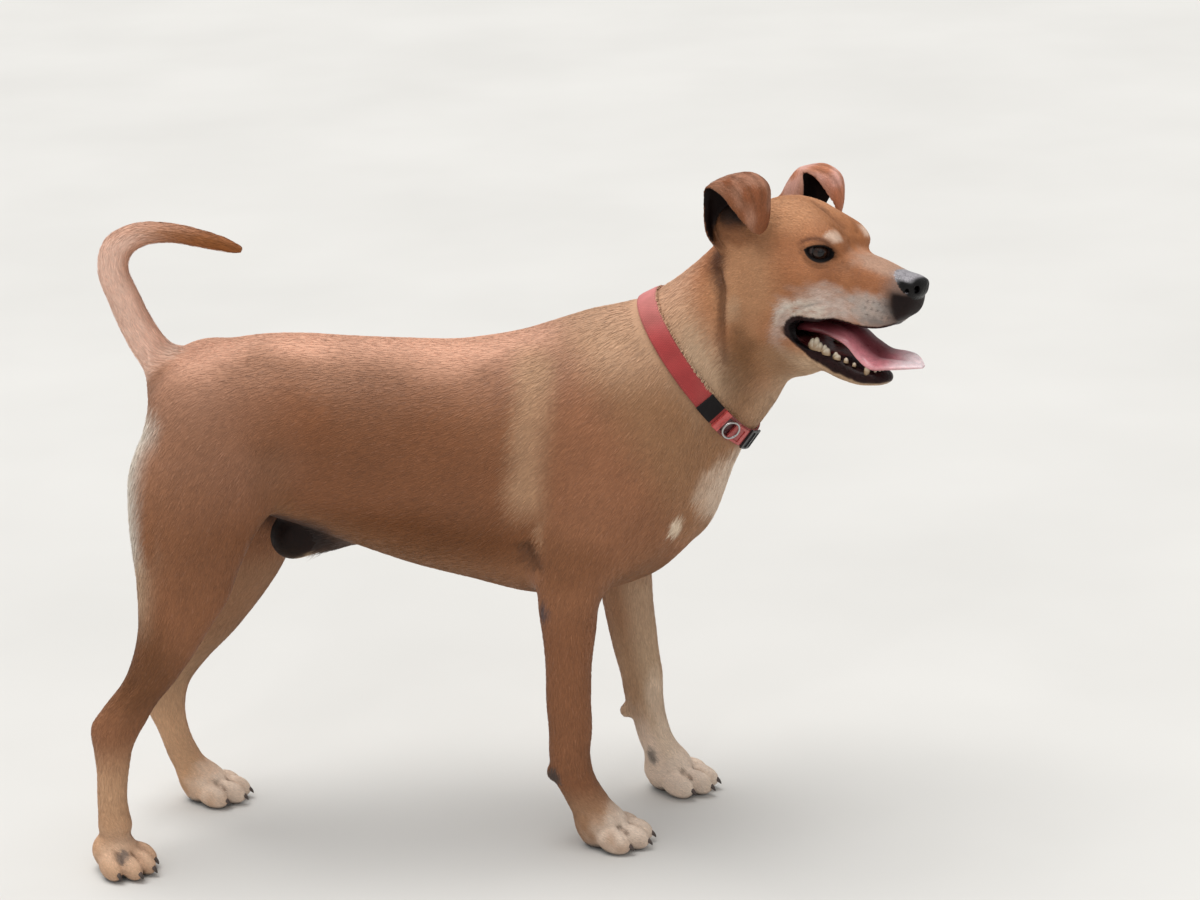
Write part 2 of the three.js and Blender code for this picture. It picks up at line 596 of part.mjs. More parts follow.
// edges shorter than a step are closed up, where that keeps the surface one closed sheet
function closedUp({ verts, tris }, step) {
  let T = tris;
  for (let round = 0; round < 40; round++) {
    const ring = new Map();
    T.forEach((t, f) => t.forEach((v) => ring.has(v) ? ring.get(v).push(f) : ring.set(v, [f])));
    const busy = new Set(), to = new Map();
    for (const t of T)
      for (let i = 0; i < 3; i++) {
        const a = t[i], b = t[(i + 1) % 3];
        if (a > b || Math.hypot(...sub(verts[a], verts[b])) > step) continue;
        const fa = ring.get(a), fb = ring.get(b),
          na = new Set(fa.flatMap((f) => T[f])), nb = new Set(fb.flatMap((f) => T[f]));
        if ([...na, ...nb].some((v) => busy.has(v)) || [...na].filter((v) => nb.has(v)).length !== 4) continue;
        for (const v of [...na, ...nb]) busy.add(v);
        to.set(b, a);
      }
    if (!to.size) break;
    T = T.map((t) => t.map((v) => to.get(v) ?? v)).filter((t) => t[0] !== t[1] && t[1] !== t[2] && t[0] !== t[2]);
  }
  return { verts, tris: T };
}

const solidOf = ({ verts, tris }) => new wasm.Manifold(new wasm.Mesh({ numProp: 3, vertProperties: new Float32Array(verts.flat()), triVerts: new Uint32Array(tris.flat()) }));
// the same surface with every vertex moved out along its normal
function grown({ verts, tris }, by) {
  const N = verts.map(() => [0, 0, 0]);
  for (const [a, b, c] of tris) {
    const m = cross(sub(verts[b], verts[a]), sub(verts[c], verts[a]));
    for (const v of [a, b, c]) N[v] = add(N[v], m);
  }
  return { verts: verts.map((p, i) => add(p, mul(unit(N[i]), by))), tris };
}
function geometryMesh(geometry) {
  const p = geometry.getAttribute("position"),
    seen = new Map(), verts = [], at = [];
  for (let i = 0; i < p.count; i++) {
    const v = [p.getX(i), p.getY(i), p.getZ(i)],
      key = v.map((c) => Math.round(c * 1e4)).join();
    if (!seen.has(key)) {
      seen.set(key, verts.length);
      verts.push(v);
    }
    at.push(seen.get(key));
  }
  const idx = geometry.index ? geometry.index.array : at.map((_, i) => i),
    tris = [];
  for (let i = 0; i < idx.length; i += 3) {
    const t = [at[idx[i]], at[idx[i + 1]], at[idx[i + 2]]];
    if (t[0] !== t[1] && t[1] !== t[2] && t[0] !== t[2]) tris.push(t);
  }
  return { verts, tris };
}
const largest = (m) => m.decompose().reduce((a, b) => (b.volume() > a.volume() ? b : a));

// ------------------------------------------------------------------ where the body is parted: [normal, point], each part on the positive side of its planes
const PL = {
  head: [headDir([0.942, 0, 0.335]), headPoint([-120, 0, -30])],
  nose: [headDir([0.827, 0, 0.562]), headPoint([86, 0, -5])],
  jaw: [headDir([0.496, 0, -0.868]), headPoint([-20, 0, -87])],
  lips: [headDir([0, 0, -1]), headPoint([0, 0, -87])],
  neck: [NECK, [300, 0, 480]],
  tail1: [[-0.55, 0, 0.835], [-236, 0, 560]],
  tail2: [[-0.33, 0, 0.94], [-268, 0, 630]],
  tail3: [[1, 0, 0], [-214, 0, 688]],
};
const flip = ([n, p]) => [mul(n, -1), p];
const level = (z, up) => [[0, 0, up], [0, 0, z]];
const side = (y, s) => [[0, s, 0], [0, y, 0]];
const fore = (x, s) => [[s, 0, 0], [x, 0, 0]];
const trimmed = (m, planes, gap = GAP) => planes.reduce((a, [n, p]) => a.trimByPlane(unit(n), dot(unit(n), p) + gap / 2), m);
// facetted piece of the body inside a box, kept on the positive side of the planes
function piece(lo, hi, cell, planes, share) {
  const U = planes.map(([n, p]) => [unit(n), dot(unit(n), p) - 1.4 * cell]);
  const lo2 = lo.map((v) => v + cell * 1.2),
    hi2 = hi.map((v) => v - cell * 1.2);
  const m = surface((P) => {
    let f = field(P);
    for (const [n, o] of U) f = Math.max(f, o - dot(n, P));
    for (let i = 0; i < 3; i++) f = Math.max(f, lo2[i] - P[i], P[i] - hi2[i]);
    return f;
  }, lo, hi, cell);
  return thinned(m, Math.round(m.tris.length * share));
}
const box = (lo, hi) => {
  const g = new THREE.BoxGeometry(...sub(hi, lo));
  g.translate(...mul(add(lo, hi), 0.5));
  return solidOf(geometryMesh(g));
};

const model = new THREE.Group();
const paint = {
  coat: ["#b07a52", 0.85], pale: ["#c9a57e", 0.85], muzzle: ["#b9a08a", 0.8], nose: ["#17140f", 0.45], tongue: ["#c9757c", 0.4],
  eye: ["#2a1a10", 0.1], claw: ["#2b2420", 0.5], red: ["#a32a30", 0.8], black: ["#1b1a1a", 0.7], buckle: ["#a3282c", 0.35], steel: ["#b9bcc0", 0.3],
};
function node(name, solid, finish) {
  const body = largest(solid),
    m = body.getMesh(),
    g = new THREE.BufferGeometry(),
    [color, roughness] = paint[finish];
  const at = Array.from({ length: m.numVert }, (_, i) => [0, 1, 2].map((c) => m.vertProperties[i * m.numProp + c])),
    facets = Array.from({ length: m.numTri }, (_, i) => [0, 1, 2].map((c) => m.triVerts[3 * i + c]));
  const neat = closedUp({ verts: at, tris: facets }, 0.3);
  g.setAttribute("position", new THREE.BufferAttribute(new Float32Array(neat.verts.flat()), 3));
  g.setIndex(new THREE.BufferAttribute(new Uint32Array(neat.tris.flat()), 1));
  g.computeVertexNormals();
  const mesh = new THREE.Mesh(g, new THREE.MeshStandardMaterial({ color, roughness, metalness: finish === "steel" ? 1 : 0 }));
  mesh.name = name;
  model.add(mesh);
  return body;
}

// rings of points joined into a closed solid, ends capped
function lofted(rings) {
  const n = rings[0].length,
    verts = rings.flat(),
    tris = [];
  for (let r = 0; r + 1 < rings.length; r++)
    for (let i = 0; i < n; i++) {
      const a = r * n + i, b = r * n + ((i + 1) % n), c = a + n, d = b + n;
      tris.push([a, b, d], [a, d, c]);
    }
  for (const [r, s] of [[0, 1], [rings.length - 1, 0]]) {
    const o = verts.length;
    verts.push(mul(rings[r].reduce(add), 1 / n));
    for (let i = 0; i < n; i++) {
      const a = r * n + i, b = r * n + ((i + 1) % n);
      tris.push(s ? [o, b, a] : [o, a, b]);
    }
  }
  return { verts, tris };
}
// a ring of an oval: centre, two half axes as vectors
const oval = (c, u, v, n) => Array.from({ length: n }, (_, i) => {
  const t = (2 * Math.PI * i) / n;
  return add(c, add(mul(u, Math.cos(t)), mul(v, Math.sin(t))));
});
const outward = (m) => {
  const s = solidOf(m);
  return s.volume() > 0 ? s : solidOf({ verts: m.verts, tris: m.tris.map(([a, b, c]) => [a, c, b]) });
};

// ------------------------------------------------------------------ tongue: out over the lower front teeth, its right edge low
const TONGUE = [[-34, -88, 14, 5, 6], [-20, -84.5, 17, 6.5, 7], [8, -82, 18.5, 6, 7], [32, -84.5, 19, 5.5, 6.5], [50, -94, 19.5, 5, 5.5], [68, -100, 19.5, 4.5, 5], [90, -97, 17.5, 4, 4.5], [108, -93.5, 12.5, 3.2, 3.6], [118, -93, 7, 2.2, 2.4], [121.5, -93.5, 3.5, 1.5, 1.6]];
const tongueMesh = (by) => lofted(TONGUE.map(([x, z, w, up, dn]) => {
  const tilt = rad(x < 0 ? 5 : Math.min(16, 5 + x * 0.22));
  return oval([x + (x > 100 ? by : x < -30 ? -by : 0), 0, z], [0, (w + by) * Math.cos(tilt), (w + by) * Math.sin(tilt)], [0, -Math.sin(tilt) * ((up + dn) / 2 + by), Math.cos(tilt) * ((up + dn) / 2 + by)], 12).map(headPoint);
}));
const tongue = outward(tongueMesh(0)),
  tongueRoom = outward(tongueMesh(0.5));

// ------------------------------------------------------------------ lower teeth: [forward, sideways, root height, crown height, half length, half width]
const TEETH = [[-1, 22, -101, -89, 7, 4.2], [12, 21, -103, -94, 5, 3.4], [25, 19.5, -106, -98.5, 4.2, 3], [38, 18, -108, -101.5, 3.6, 2.6], [62, 14, -115, -101, 3.8, 3.2], [70, 8, -117, -109, 2, 2.2], [72, 3, -117, -109, 2, 2]];
const tooth = ([x, y, z0, z1, l, w], s) => outward(lofted([
  oval([x, s * y, z0], [l, 0, 0], [0, w, 0], 6),
  oval([x, s * y, z0 + 0.6 * (z1 - z0)], [l * 0.85, 0, 0], [0, w * 0.8, 0], 6),
  oval([x - 0.5, s * y, z1], [l * 0.25, 0, 0], [0, w * 0.25, 0], 6),
].map((r) => r.map(headPoint))));

// ------------------------------------------------------------------ head, jaw, nose, eyes, ears
const around = (c, r) => [c.map((v, i) => v - r[i]), c.map((v, i) => v + r[i])];
const headBox = around(headPoint([-18, 0, -52]), [150, 150, 135]);
const headMesh = piece(...headBox, CELL.head, [PL.head], KEEP.head);
const headSolid = solidOf(headMesh),
  headRoom = solidOf(grown(headMesh, 0.45));
const jawMesh = piece(...around(headPoint([15, 0, -115]), [95, 90, 70]), CELL.jaw, [PL.jaw, PL.lips, PL.head], KEEP.jaw);
const jawRegion = trimmed(box(...around(headPoint([60, 0, -160]), [260, 260, 260])), [PL.jaw, PL.lips], -GAP);
const eyeBall = (s, by) => {
  const g = new THREE.SphereGeometry(EYE_R + by, 14, 9);
  g.translate(...headPoint([EYE_AT[0], s * EYE_AT[1], EYE_AT[2]]));
  return solidOf(geometryMesh(g));
};
let head = trimmed(headSolid, [PL.head, flip(PL.nose)]).subtract(jawRegion).subtract(tongueRoom);
for (const s of [-1, 1]) head = head.subtract(eyeBall(s, GAP));
node("head", head, "coat");
node("nose", trimmed(headSolid, [PL.nose]), "nose");
let jaw = trimmed(solidOf(jawMesh), [PL.jaw, PL.lips, PL.head]);
for (const t of TEETH) for (const s of [-1, 1]) jaw = jaw.add(tooth(t, s));
node("lower_jaw", jaw.subtract(tongueRoom), "muzzle");
node("tongue", tongue, "tongue");
node("eye_right", eyeBall(-1, 0), "eye");
node("eye_left", eyeBall(1, 0), "eye");

// rows from the root to the folded tip, columns from the inner margin over the back to the outer margin, left ear
const EAR = [
  [[-84, 38, 22], [-101, 35, 20], [-115, 42, 8], [-120, 53, -10], [-107, 60, -20]],
  [[-87, 41, 43], [-103, 42, 41], [-117, 50, 30], [-126, 62, 14], [-121, 70, 0]],
  [[-91, 45, 56], [-102, 49, 60], [-111, 56, 56], [-119, 64, 50], [-126, 74, 40]],
  [[-86, 47, 62], [-89, 53, 67], [-96, 61, 66], [-105, 69, 61], [-117, 79, 50]],
  [[-75, 50, 57], [-72, 56, 68], [-74, 64, 71], [-84, 73, 64], [-100, 79, 46]],
  [[-64, 53, 43], [-56, 58, 59], [-56, 66, 62], [-66, 74, 52], [-84, 79, 35]],
  [[-54, 57, 29], [-51, 61, 35], [-52, 67, 36], [-59, 73, 31], [-72, 77, 25]],
  [[-52, 60, 21], [-53, 63, 17], [-55, 68, 14], [-59, 73, 16], [-65, 76, 20]],
];
// the left ear is turned further forward, so that its cup is closed behind the opening
const EAR_FORWARD = [
  [[-84, 38, 22], [-101, 35, 20], [-114, 42, 8], [-110, 60, -8], [-90, 66, -12]],
  [[-87, 41, 43], [-102, 42, 40], [-115, 49, 30], [-112, 68, 16], [-90, 78, 8]],
  [[-92, 45, 54], [-101, 49, 56], [-109, 58, 50], [-108, 74, 42], [-86, 86, 24]],
  [[-88, 47, 58], [-90, 53, 62], [-95, 62, 61], [-99, 76, 54], [-84, 88, 34]],
  [[-77, 50, 54], [-74, 56, 63], [-76, 64, 66], [-84, 77, 56], [-82, 86, 40]],
  [[-64, 53, 42], [-57, 58, 56], [-57, 66, 58], [-66, 74, 49], [-76, 82, 33]],
  [[-54, 57, 29], [-51, 61, 35], [-52, 67, 36], [-59, 73, 31], [-69, 79, 25]],
  [[-52, 60, 21], [-53, 63, 17], [-55, 68, 14], [-59, 73, 16], [-65, 76, 20]],
];
const EAR_THICK = [8, 5.5, 4.6, 4.4, 4.2, 4.0, 3.8, 3.4];
for (const [name, s, rows] of [["ear_right", -1, EAR], ["ear_left", 1, EAR_FORWARD]]) {
  const G = rows.map((row) => row.map(([x, y, z]) => headPoint([x, s * y, z]))),
    nu = G.length,
    nv = G[0].length;
  const normal = (i, j) => unit(cross(sub(G[Math.min(i + 1, nu - 1)][j], G[Math.max(i - 1, 0)][j]), sub(G[i][Math.min(j + 1, nv - 1)], G[i][Math.max(j - 1, 0)])));
  // each row becomes a flat loop: over the outside, back along the inside, a little thinner at the margins
  const rings = G.map((row, i) => {
    const half = (j) => (EAR_THICK[i] / 2) * (j === 0 || j === nv - 1 ? 0.55 : 1),
      over = row.map((p, j) => add(p, mul(normal(i, j), half(j)))),
      under = row.map((p, j) => add(p, mul(normal(i, j), -half(j))));
    return [...over, ...under.reverse()];
  });
  node(name, outward(lofted(rings)).subtract(headRoom), "coat");
}

// ------------------------------------------------------------------ collar: a band that follows the neck in one slanting plane
const cn = unit(COLLAR.n),
  c1 = unit(sub([0, -1, 0], mul(cn, dot([0, -1, 0], cn)))),
  c2 = cross(cn, c1); // right side, then down to the throat
const neckSurface = new Map();
// point of the coat at an angle round the collar and a distance along the neck
function onNeck(deg, along) {
  const key = deg.toFixed(3) + " " + along.toFixed(3);
  if (neckSurface.has(key)) return neckSurface.get(key);
  const d = add(mul(c1, Math.cos(rad(deg))), mul(c2, Math.sin(rad(deg)))),
    o = add(COLLAR.at, mul(cn, along));
  let a = 30, b = 140;
  for (let i = 0; i < 40; i++) {
    const m = (a + b) / 2;
    if (field(add(o, mul(d, m))) < 0) a = m;
    else b = m;
  }
  const p = add(o, mul(d, a));
  neckSurface.set(key, p);
  return p;
}
const W2 = COLLAR.width / 2;
function frameAt(deg) {
  const p = onNeck(deg, 0),
    along = unit(sub(onNeck(deg, W2), onNeck(deg, -W2))),
    round = unit(sub(onNeck(deg + 4, 0), onNeck(deg - 4, 0)));
  return { p, along, round, out: unit(cross(round, along)) };
}
const outSign = Math.sign(dot(frameAt(0).out, c1));
// section of the band between two heights above the coat
const section = (deg, half, low, high) => {
  const { p, along, out } = frameAt(deg),
    at = (s, h) => add(p, add(mul(along, s), mul(out, outSign * h)));
  return [at(-half, low), at(half, low), at(half, high), at(-half, high)];
};
const arc = (from, to, steps, half, low, high) => lofted(Array.from({ length: steps + 1 }, (_, i) => section(from + ((to - from) * i) / steps, half, low, high)));
function hoop(steps, half, low, high) {
  const verts = [], tris = [];
  for (let i = 0; i < steps; i++) verts.push(...section((360 * i) / steps, half, low, high));
  for (let i = 0; i < steps; i++)
    for (let k = 0; k < 4; k++) {
      const a = 4 * i + k, b = 4 * i + ((k + 1) % 4), c = 4 * ((i + 1) % steps) + k, d = 4 * ((i + 1) % steps) + ((k + 1) % 4);
      tris.push([a, b, d], [a, d, c]);
    }
  return { verts, tris };
}
const TOP = COLLAR.thick - COLLAR.sunk;
const strap = outward(hoop(COLLAR.steps, W2, -COLLAR.sunk, TOP));
const strapRoom = outward(hoop(COLLAR.steps, W2 + GAP, -COLLAR.sunk - GAP, TOP + 30)).add(outward(hoop(COLLAR.steps, W2 + 2.4, 0.9, TOP + 30)));
node("collar_strap", strap, "red");
node("collar_label", outward(arc(13.5, 30, 4, W2 + 0.6, TOP + GAP, TOP + GAP + 1.2)), "black");
node("collar_buckle", outward(arc(33, 50, 4, W2 + 1.5, TOP + GAP, TOP + 5.5)), "buckle");
node("collar_buckle_catch", outward(arc(50.5, 61, 3, W2 - 1, TOP + GAP, TOP + 4.5)), "buckle");
node("collar_slider", outward(arc(66, 80, 3, W2 + 1.2, TOP + GAP, TOP + 3.2)), "black");
{
  const f = frameAt(44),
    g = new THREE.TorusGeometry(9.6, 1.5, 5, 16),
    out = mul(f.out, outSign);
  const y = unit(f.along),
    x = unit(cross(y, out));
  g.applyMatrix4(new THREE.Matrix4().makeBasis(new THREE.Vector3(...x), new THREE.Vector3(...y), new THREE.Vector3(...out)).setPosition(...add(f.p, mul(out, TOP + 8.9))));
  node("collar_ring", solidOf(geometryMesh(g)), "steel");
}

// ------------------------------------------------------------------ neck, trunk, tail
node("neck", trimmed(solidOf(piece([215, -130, 380], [470, 110, 720], CELL.neck, [flip(PL.head), PL.neck], KEEP.neck)), [flip(PL.head), PL.neck]).subtract(strapRoom), "pale");

// hind legs: below a slanting plane from the flank to the rump, and beside the middle of the body
const HIP = { right: [[-0.734, 0, -0.679], [-112, 0, 345]], left: [[-0.734, 0, -0.679], [-92, 0, 345]] };
// forelegs: a block at the elbow under a plane that rises to the side, and all below it
const ELBOW = {
  right: { s: -1, x: [150, 262], plane: [[0, -0.6, -0.8], [0, -34, 288]] },
  left: { s: 1, x: [200, 308], plane: [[0, 0.6, -0.8], [0, 34, 288]] },
};
const MID = 18; // half width of the strip between the thighs that stays on the trunk
const hindRegion = (w, gap) => {
  const s = w === "right" ? -1 : 1;
  return trimmed(box([-420, s < 0 ? -220 : 0, -40], [-40, s < 0 ? 0 : 220, 560]), [HIP[w], side(s * MID, s)], gap);
};
const foreRegion = (w, gap) => {
  const { s, x, plane } = ELBOW[w],
    y = (a, b) => (s < 0 ? [-b, -a] : [a, b]),
    [y0, y1] = y(28 + gap / 2, 220),
    [v0, v1] = y(2, 220);
  const upper = trimmed(box([x[0] + gap / 2, y0, 240], [x[1] - gap / 2, y1, 420]), [plane], gap);
  return upper.add(box([60, v0, -40], [420, v1, 264 - gap / 2]));
};
let trunk = trimmed(solidOf(piece([-300, -150, 220], [440, 150, 640], CELL.trunk, [flip(PL.neck), flip(PL.tail1)], KEEP.trunk)), [flip(PL.neck), flip(PL.tail1)]);
for (const w of ["right", "left"]) trunk = trunk.subtract(hindRegion(w, -GAP)).subtract(foreRegion(w, -GAP));
node("trunk", trunk, "coat");

const TAIL_BOX = [[-330, -50, 480], [-110, 50, 730]];
const tailMesh = piece(...TAIL_BOX, CELL.tail, [PL.tail1], KEEP.tail);
const tail = solidOf(tailMesh);
node("tail_root", trimmed(tail, [PL.tail1, flip(PL.tail2)]), "coat");
node("tail_middle", trimmed(tail, [PL.tail2, flip(PL.tail3)]), "coat");
node("tail_tip", trimmed(tail, [PL.tail2, PL.tail3]), "coat");

// ------------------------------------------------------------------ legs: [name, box, cell, region or null, planes]
const FLOOR = [[0, 0, 1], [0, 0, 0]];
function limb(name, lo, hi, kind, planes, region, finish = "coat") {
  let s = trimmed(solidOf(piece(lo, hi, CELL[kind], planes, KEEP[kind])), planes);
  if (region) s = s.intersect(region);
  return node(name, s, finish);
}
const soles = {};
for (const [w, s] of [["right", -1], ["left", 1]]) {
  const y = (a, b) => (s < 0 ? [-b, -a] : [a, b]);
  const hx = w === "right" ? 0 : 1;
  const cuts = { thigh: [300, 296][hx], hock: [176, 160][hx], paw: [50, 50][hx], wrist: [126, 130][hx], forepaw: 50 };
  const L = (z0, z1, x0, x1, y0, y1) => {
    const [a, b] = y(y0, y1);
    return [[x0, a, z0], [x1, b, z1]];
  };
  const hp = "hind_" + w,
    fp = "fore_" + w;
  limb(hp + "_thigh", ...L(240, 590, -330, -30, -12, 150), "thigh", [HIP[w], side(s * MID, s), level(cuts.thigh, 1)], null);
  limb(hp + "_shank", ...L(120, 330, -350, -70, 20, 150), "shank", [level(cuts.thigh, -1), level(cuts.hock, 1)], null);
  limb(hp + "_pastern", ...L(20, 210, -360, -190, 40, 150), "meta", [level(cuts.hock, -1), level(cuts.paw, 1)], null);
  limb(fp + "_forearm", ...L(90, 440, 120, 360, 0, 160), "forearm", [level(cuts.wrist, 1)], foreRegion(w, GAP));
  limb(fp + "_pastern", ...L(22, 160, 140, 350, 36, 130), "pastern", [level(cuts.wrist, -1), level(cuts.forepaw, 1)], null);
  for (const leg of [fp, hp]) {
    const [px, py] = PAWS[leg].at,
      z = leg === fp ? cuts.forepaw : cuts.paw;
    const m = piece([px - 62, py - 58, -16], [px + 68, py + 58, z + 20], CELL.paw, [level(z, -1)], KEEP.paw);
    let paw = trimmed(solidOf(m), [level(z, -1)]).trimByPlane([0, 0, 1], 0);
    soles[leg] = node(leg + "_paw", paw, "coat");
    const room = solidOf(grown(m, 0.4)),
      W = pawPlace(PAWS[leg]);
    TOES.forEach(([x, ty, sp], i) => {
      const c = Math.cos(rad(sp)), n = Math.sin(rad(sp));
      const T = (a, b, h) => W([x + a * c - b * n, ty + a * n + b * c, h]);
      const ring = (a, h, rw, rh) => Array.from({ length: 5 }, (_, k) => {
        const t = (k * Math.PI) / 2.5;
        return T(a, rw * Math.cos(t), h + rh * Math.sin(t));
      });
      node(leg + "_claw_" + (i + 1), outward(lofted([ring(11, 13, 3.2, 3.9), ring(18.5, 11.2, 3, 3.5), ring(23, 6.2, 1.3, 1.5)])).subtract(room), "claw");
    });
  }
}

// ------------------------------------------------------------------ the part's frame: middle of its box, on the floor
const bounds = new THREE.Box3().setFromObject(model);
const parts = new THREE.Group();
parts.add(model);
model.position.set(-(bounds.min.x + bounds.max.x) / 2, -(bounds.min.y + bounds.max.y) / 2, -bounds.min.z);
export default parts;
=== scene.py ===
import json
import math

import bpy
import numpy as np
from mathutils import Matrix, Vector
from mathutils.bvhtree import BVHTree

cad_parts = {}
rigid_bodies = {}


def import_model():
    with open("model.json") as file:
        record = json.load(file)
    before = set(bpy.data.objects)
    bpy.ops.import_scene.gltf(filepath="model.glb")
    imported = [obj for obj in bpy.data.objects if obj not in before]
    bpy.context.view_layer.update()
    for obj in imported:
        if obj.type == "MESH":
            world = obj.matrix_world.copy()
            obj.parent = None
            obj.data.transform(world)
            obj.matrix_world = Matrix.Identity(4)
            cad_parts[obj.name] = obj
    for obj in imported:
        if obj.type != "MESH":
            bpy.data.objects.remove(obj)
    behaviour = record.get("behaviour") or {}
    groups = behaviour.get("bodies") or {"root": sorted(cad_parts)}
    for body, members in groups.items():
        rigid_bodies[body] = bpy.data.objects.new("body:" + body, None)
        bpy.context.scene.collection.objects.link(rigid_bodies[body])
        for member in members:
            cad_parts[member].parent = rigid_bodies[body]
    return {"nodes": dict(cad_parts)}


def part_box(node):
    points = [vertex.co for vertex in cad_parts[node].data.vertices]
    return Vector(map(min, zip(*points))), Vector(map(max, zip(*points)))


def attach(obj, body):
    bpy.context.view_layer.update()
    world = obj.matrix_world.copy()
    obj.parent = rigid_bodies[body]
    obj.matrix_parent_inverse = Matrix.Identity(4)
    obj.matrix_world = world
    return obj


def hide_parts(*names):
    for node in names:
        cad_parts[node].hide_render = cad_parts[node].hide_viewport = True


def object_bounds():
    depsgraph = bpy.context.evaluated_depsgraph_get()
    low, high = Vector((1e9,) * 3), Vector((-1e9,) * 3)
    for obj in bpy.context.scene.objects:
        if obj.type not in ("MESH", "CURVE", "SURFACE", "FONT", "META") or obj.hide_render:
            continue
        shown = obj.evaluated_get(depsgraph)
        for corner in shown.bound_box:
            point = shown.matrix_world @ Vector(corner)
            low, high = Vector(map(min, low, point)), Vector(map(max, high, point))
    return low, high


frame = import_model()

CAD_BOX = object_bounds()
RNG = np.random.default_rng(20261)

# =====================================================================================================
# The form. Millimetres, X forward, Y to the dog's left, Z up, the same named shapes as the solids.
# =====================================================================================================


def rotm(yaw, pitch, roll):
    y, p, r = (math.radians(v) for v in (yaw, pitch, roll))
    cy, sy, cp, sp, cr, sr = math.cos(y), math.sin(y), math.cos(p), math.sin(p), math.cos(r), math.sin(r)
    rz = np.array([[cy, -sy, 0], [sy, cy, 0], [0, 0, 1.0]])
    ry = np.array([[cp, 0, sp], [0, 1, 0], [-sp, 0, cp]])
    rx = np.array([[1, 0, 0], [0, cr, -sr], [0, sr, cr]])
    return rz @ ry @ rx


HM = rotm(-42.0, 5.0, -5.0)                 # the head's own axes: x to the nose, z to the crown
HO = np.array([489.0, -80.0, 665.0])
EYE = np.array([-6.0, 29.0, 2.0])           # left eye's centre in the head's axes
EYE_R = 12.4


def from_head(p):
    return np.asarray(p, float) @ HM.T + HO


def to_head(P):
    return (P - HO) @ HM


low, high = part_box("eye_left")
OFF = np.array((low + high) / 2) * 1000 - from_head(EYE)


def metres(P):
    return (np.asarray(P, float) + OFF) / 1000


def unit(v):
    v = np.asarray(v, float)
    return v / np.maximum(np.linalg.norm(v, axis=-1, keepdims=True), 1e-12)


def lerp(a, b, t):
    return a + (b - a) * t


def smooth(a, b, x):
    t = np.clip((x - a) / (b - a), 0, 1)
    return t * t * (3 - 2 * t)


FORMS = []
X, DOWN, NECK_AXIS = (1, 0, 0), (0, 0, -1), (0.82, 0, 0.572)


def sweep(name, ax, st, k=20, e=2.0, s0=(0, 1, 0), cap=(1, 1), op="add", fr="w"):
    FORMS.append(dict(t="sweep", name=name, ax=ax, st=st, k=k, e=e, s0=s0, cap=cap, op=op, fr=fr))


def loft(name, st, k=20, e=2.0, s0=(0, 1, 0), cap=(1, 1)):
    FORMS.append(dict(t="loft", name=name, st=st, k=k, e=e, s0=s0, cap=cap, op="add", fr="w"))


def ell(name, c, r, rot=(0, 0, 0), k=15, op="add", fr="w"):
    FORMS.append(dict(t="ell", name=name, c=c, r=r, rot=rot, k=k, op=op, fr=fr))


def sheet(name, rows, th, mir, k=5):
    FORMS.append(dict(t="sheet", name=name, rows=rows, th=th, mir=mir, k=k, fr="h", op="add"))


# trunk and neck: x, y, z of the section's centre, half width, height above, height below
sweep("trunk", X, [
    [-228, 0, 506, 44, 42, 60], [-205, 0, 494, 58, 62, 74], [-175, 0, 482, 69, 83, 85], [-130, 0, 470, 73, 103, 95],
    [-80, 0, 466, 76, 107, 110], [-30, 0, 455, 82, 113, 120], [30, 0, 440, 90, 123, 128], [90, 0, 430, 95, 130, 136],
    [150, 0, 424, 96, 142, 148], [205, 0, 420, 92, 150, 150], [255, 0, 415, 84, 146, 136], [300, 0, 410, 72, 120, 112],
    [334, 0, 404, 54, 80, 76]], k=0, e=2.2, cap=(20, 34))
sweep("neck", NECK_AXIS, [
    [215, 0, 440, 80, 112, 100], [290, 0, 490, 76, 114, 112], [345, -4, 525, 68, 96, 95], [385, -14, 575, 63, 78, 88],
    [412, -28, 620, 60, 64, 74]], k=40, e=2.1, cap=(60, 30))
for s in (-1, 1):
    ell("shoulder", (238 + (14 if s > 0 else 0), s * 56, 420), (80, 42, 124), rot=(0, 14, 0), k=30)
    ell("rump", (-184, s * 38, 496), (50, 40, 60), k=30)
# legs, from the body down
sweep("fore_right", DOWN, [
    [228, -64, 400, 36, 58, 52], [205, -70, 330, 32, 44, 40], [195, -74, 285, 28, 35, 35], [194, -74, 250, 25, 31, 31],
    [192, -74, 207, 22.5, 26, 26], [191, -74, 170, 21, 25, 25.5], [191, -74, 138, 20.5, 25, 24],
    [190, -74, 108, 21.5, 23, 23.5], [194, -74, 84, 20.5, 23, 24], [206, -73, 58, 21, 24, 24], [216, -72, 36, 22, 24, 24]],
    k=22, cap=(40, 14))
sweep("fore_left", DOWN, [
    [262, 62, 400, 36, 58, 52], [254, 67, 335, 32, 45, 42], [251, 70, 290, 28, 38, 36], [257, 72, 250, 25.5, 32, 32],
    [262, 74, 207, 23, 28.5, 28.5], [267, 75, 171, 21.5, 26, 26.5], [272, 76, 141, 21, 24.5, 24.5],
    [274, 77, 113, 21.5, 22.5, 22.5], [279, 78, 90, 20.5, 20, 20.5], [286, 78, 64, 20, 20, 21], [295, 79, 42, 21.5, 22, 22]],
    k=22, cap=(40, 14))
sweep("hind_right", DOWN, [
    [-178, -50, 505, 34, 56, 60], [-184, -57, 450, 38, 76, 82], [-190, -62, 405, 37, 78, 81], [-203, -66, 365, 34, 66, 67],
    [-210, -70, 331, 31, 56, 57], [-217, -74, 300, 28.5, 50, 50], [-228, -78, 270, 26, 40, 41], [-243, -80, 240, 23.5, 35, 34],
    [-261, -82, 212, 21, 31, 29], [-280, -84, 190, 19.5, 30, 28], [-294, -85, 168, 19, 30, 29], [-301, -86, 144, 18, 23, 23],
    [-304, -87, 115, 17, 18.5, 18.5], [-307, -88, 80, 17, 17, 17], [-306, -88, 52, 19, 18.5, 19]], k=24, cap=(40, 14))
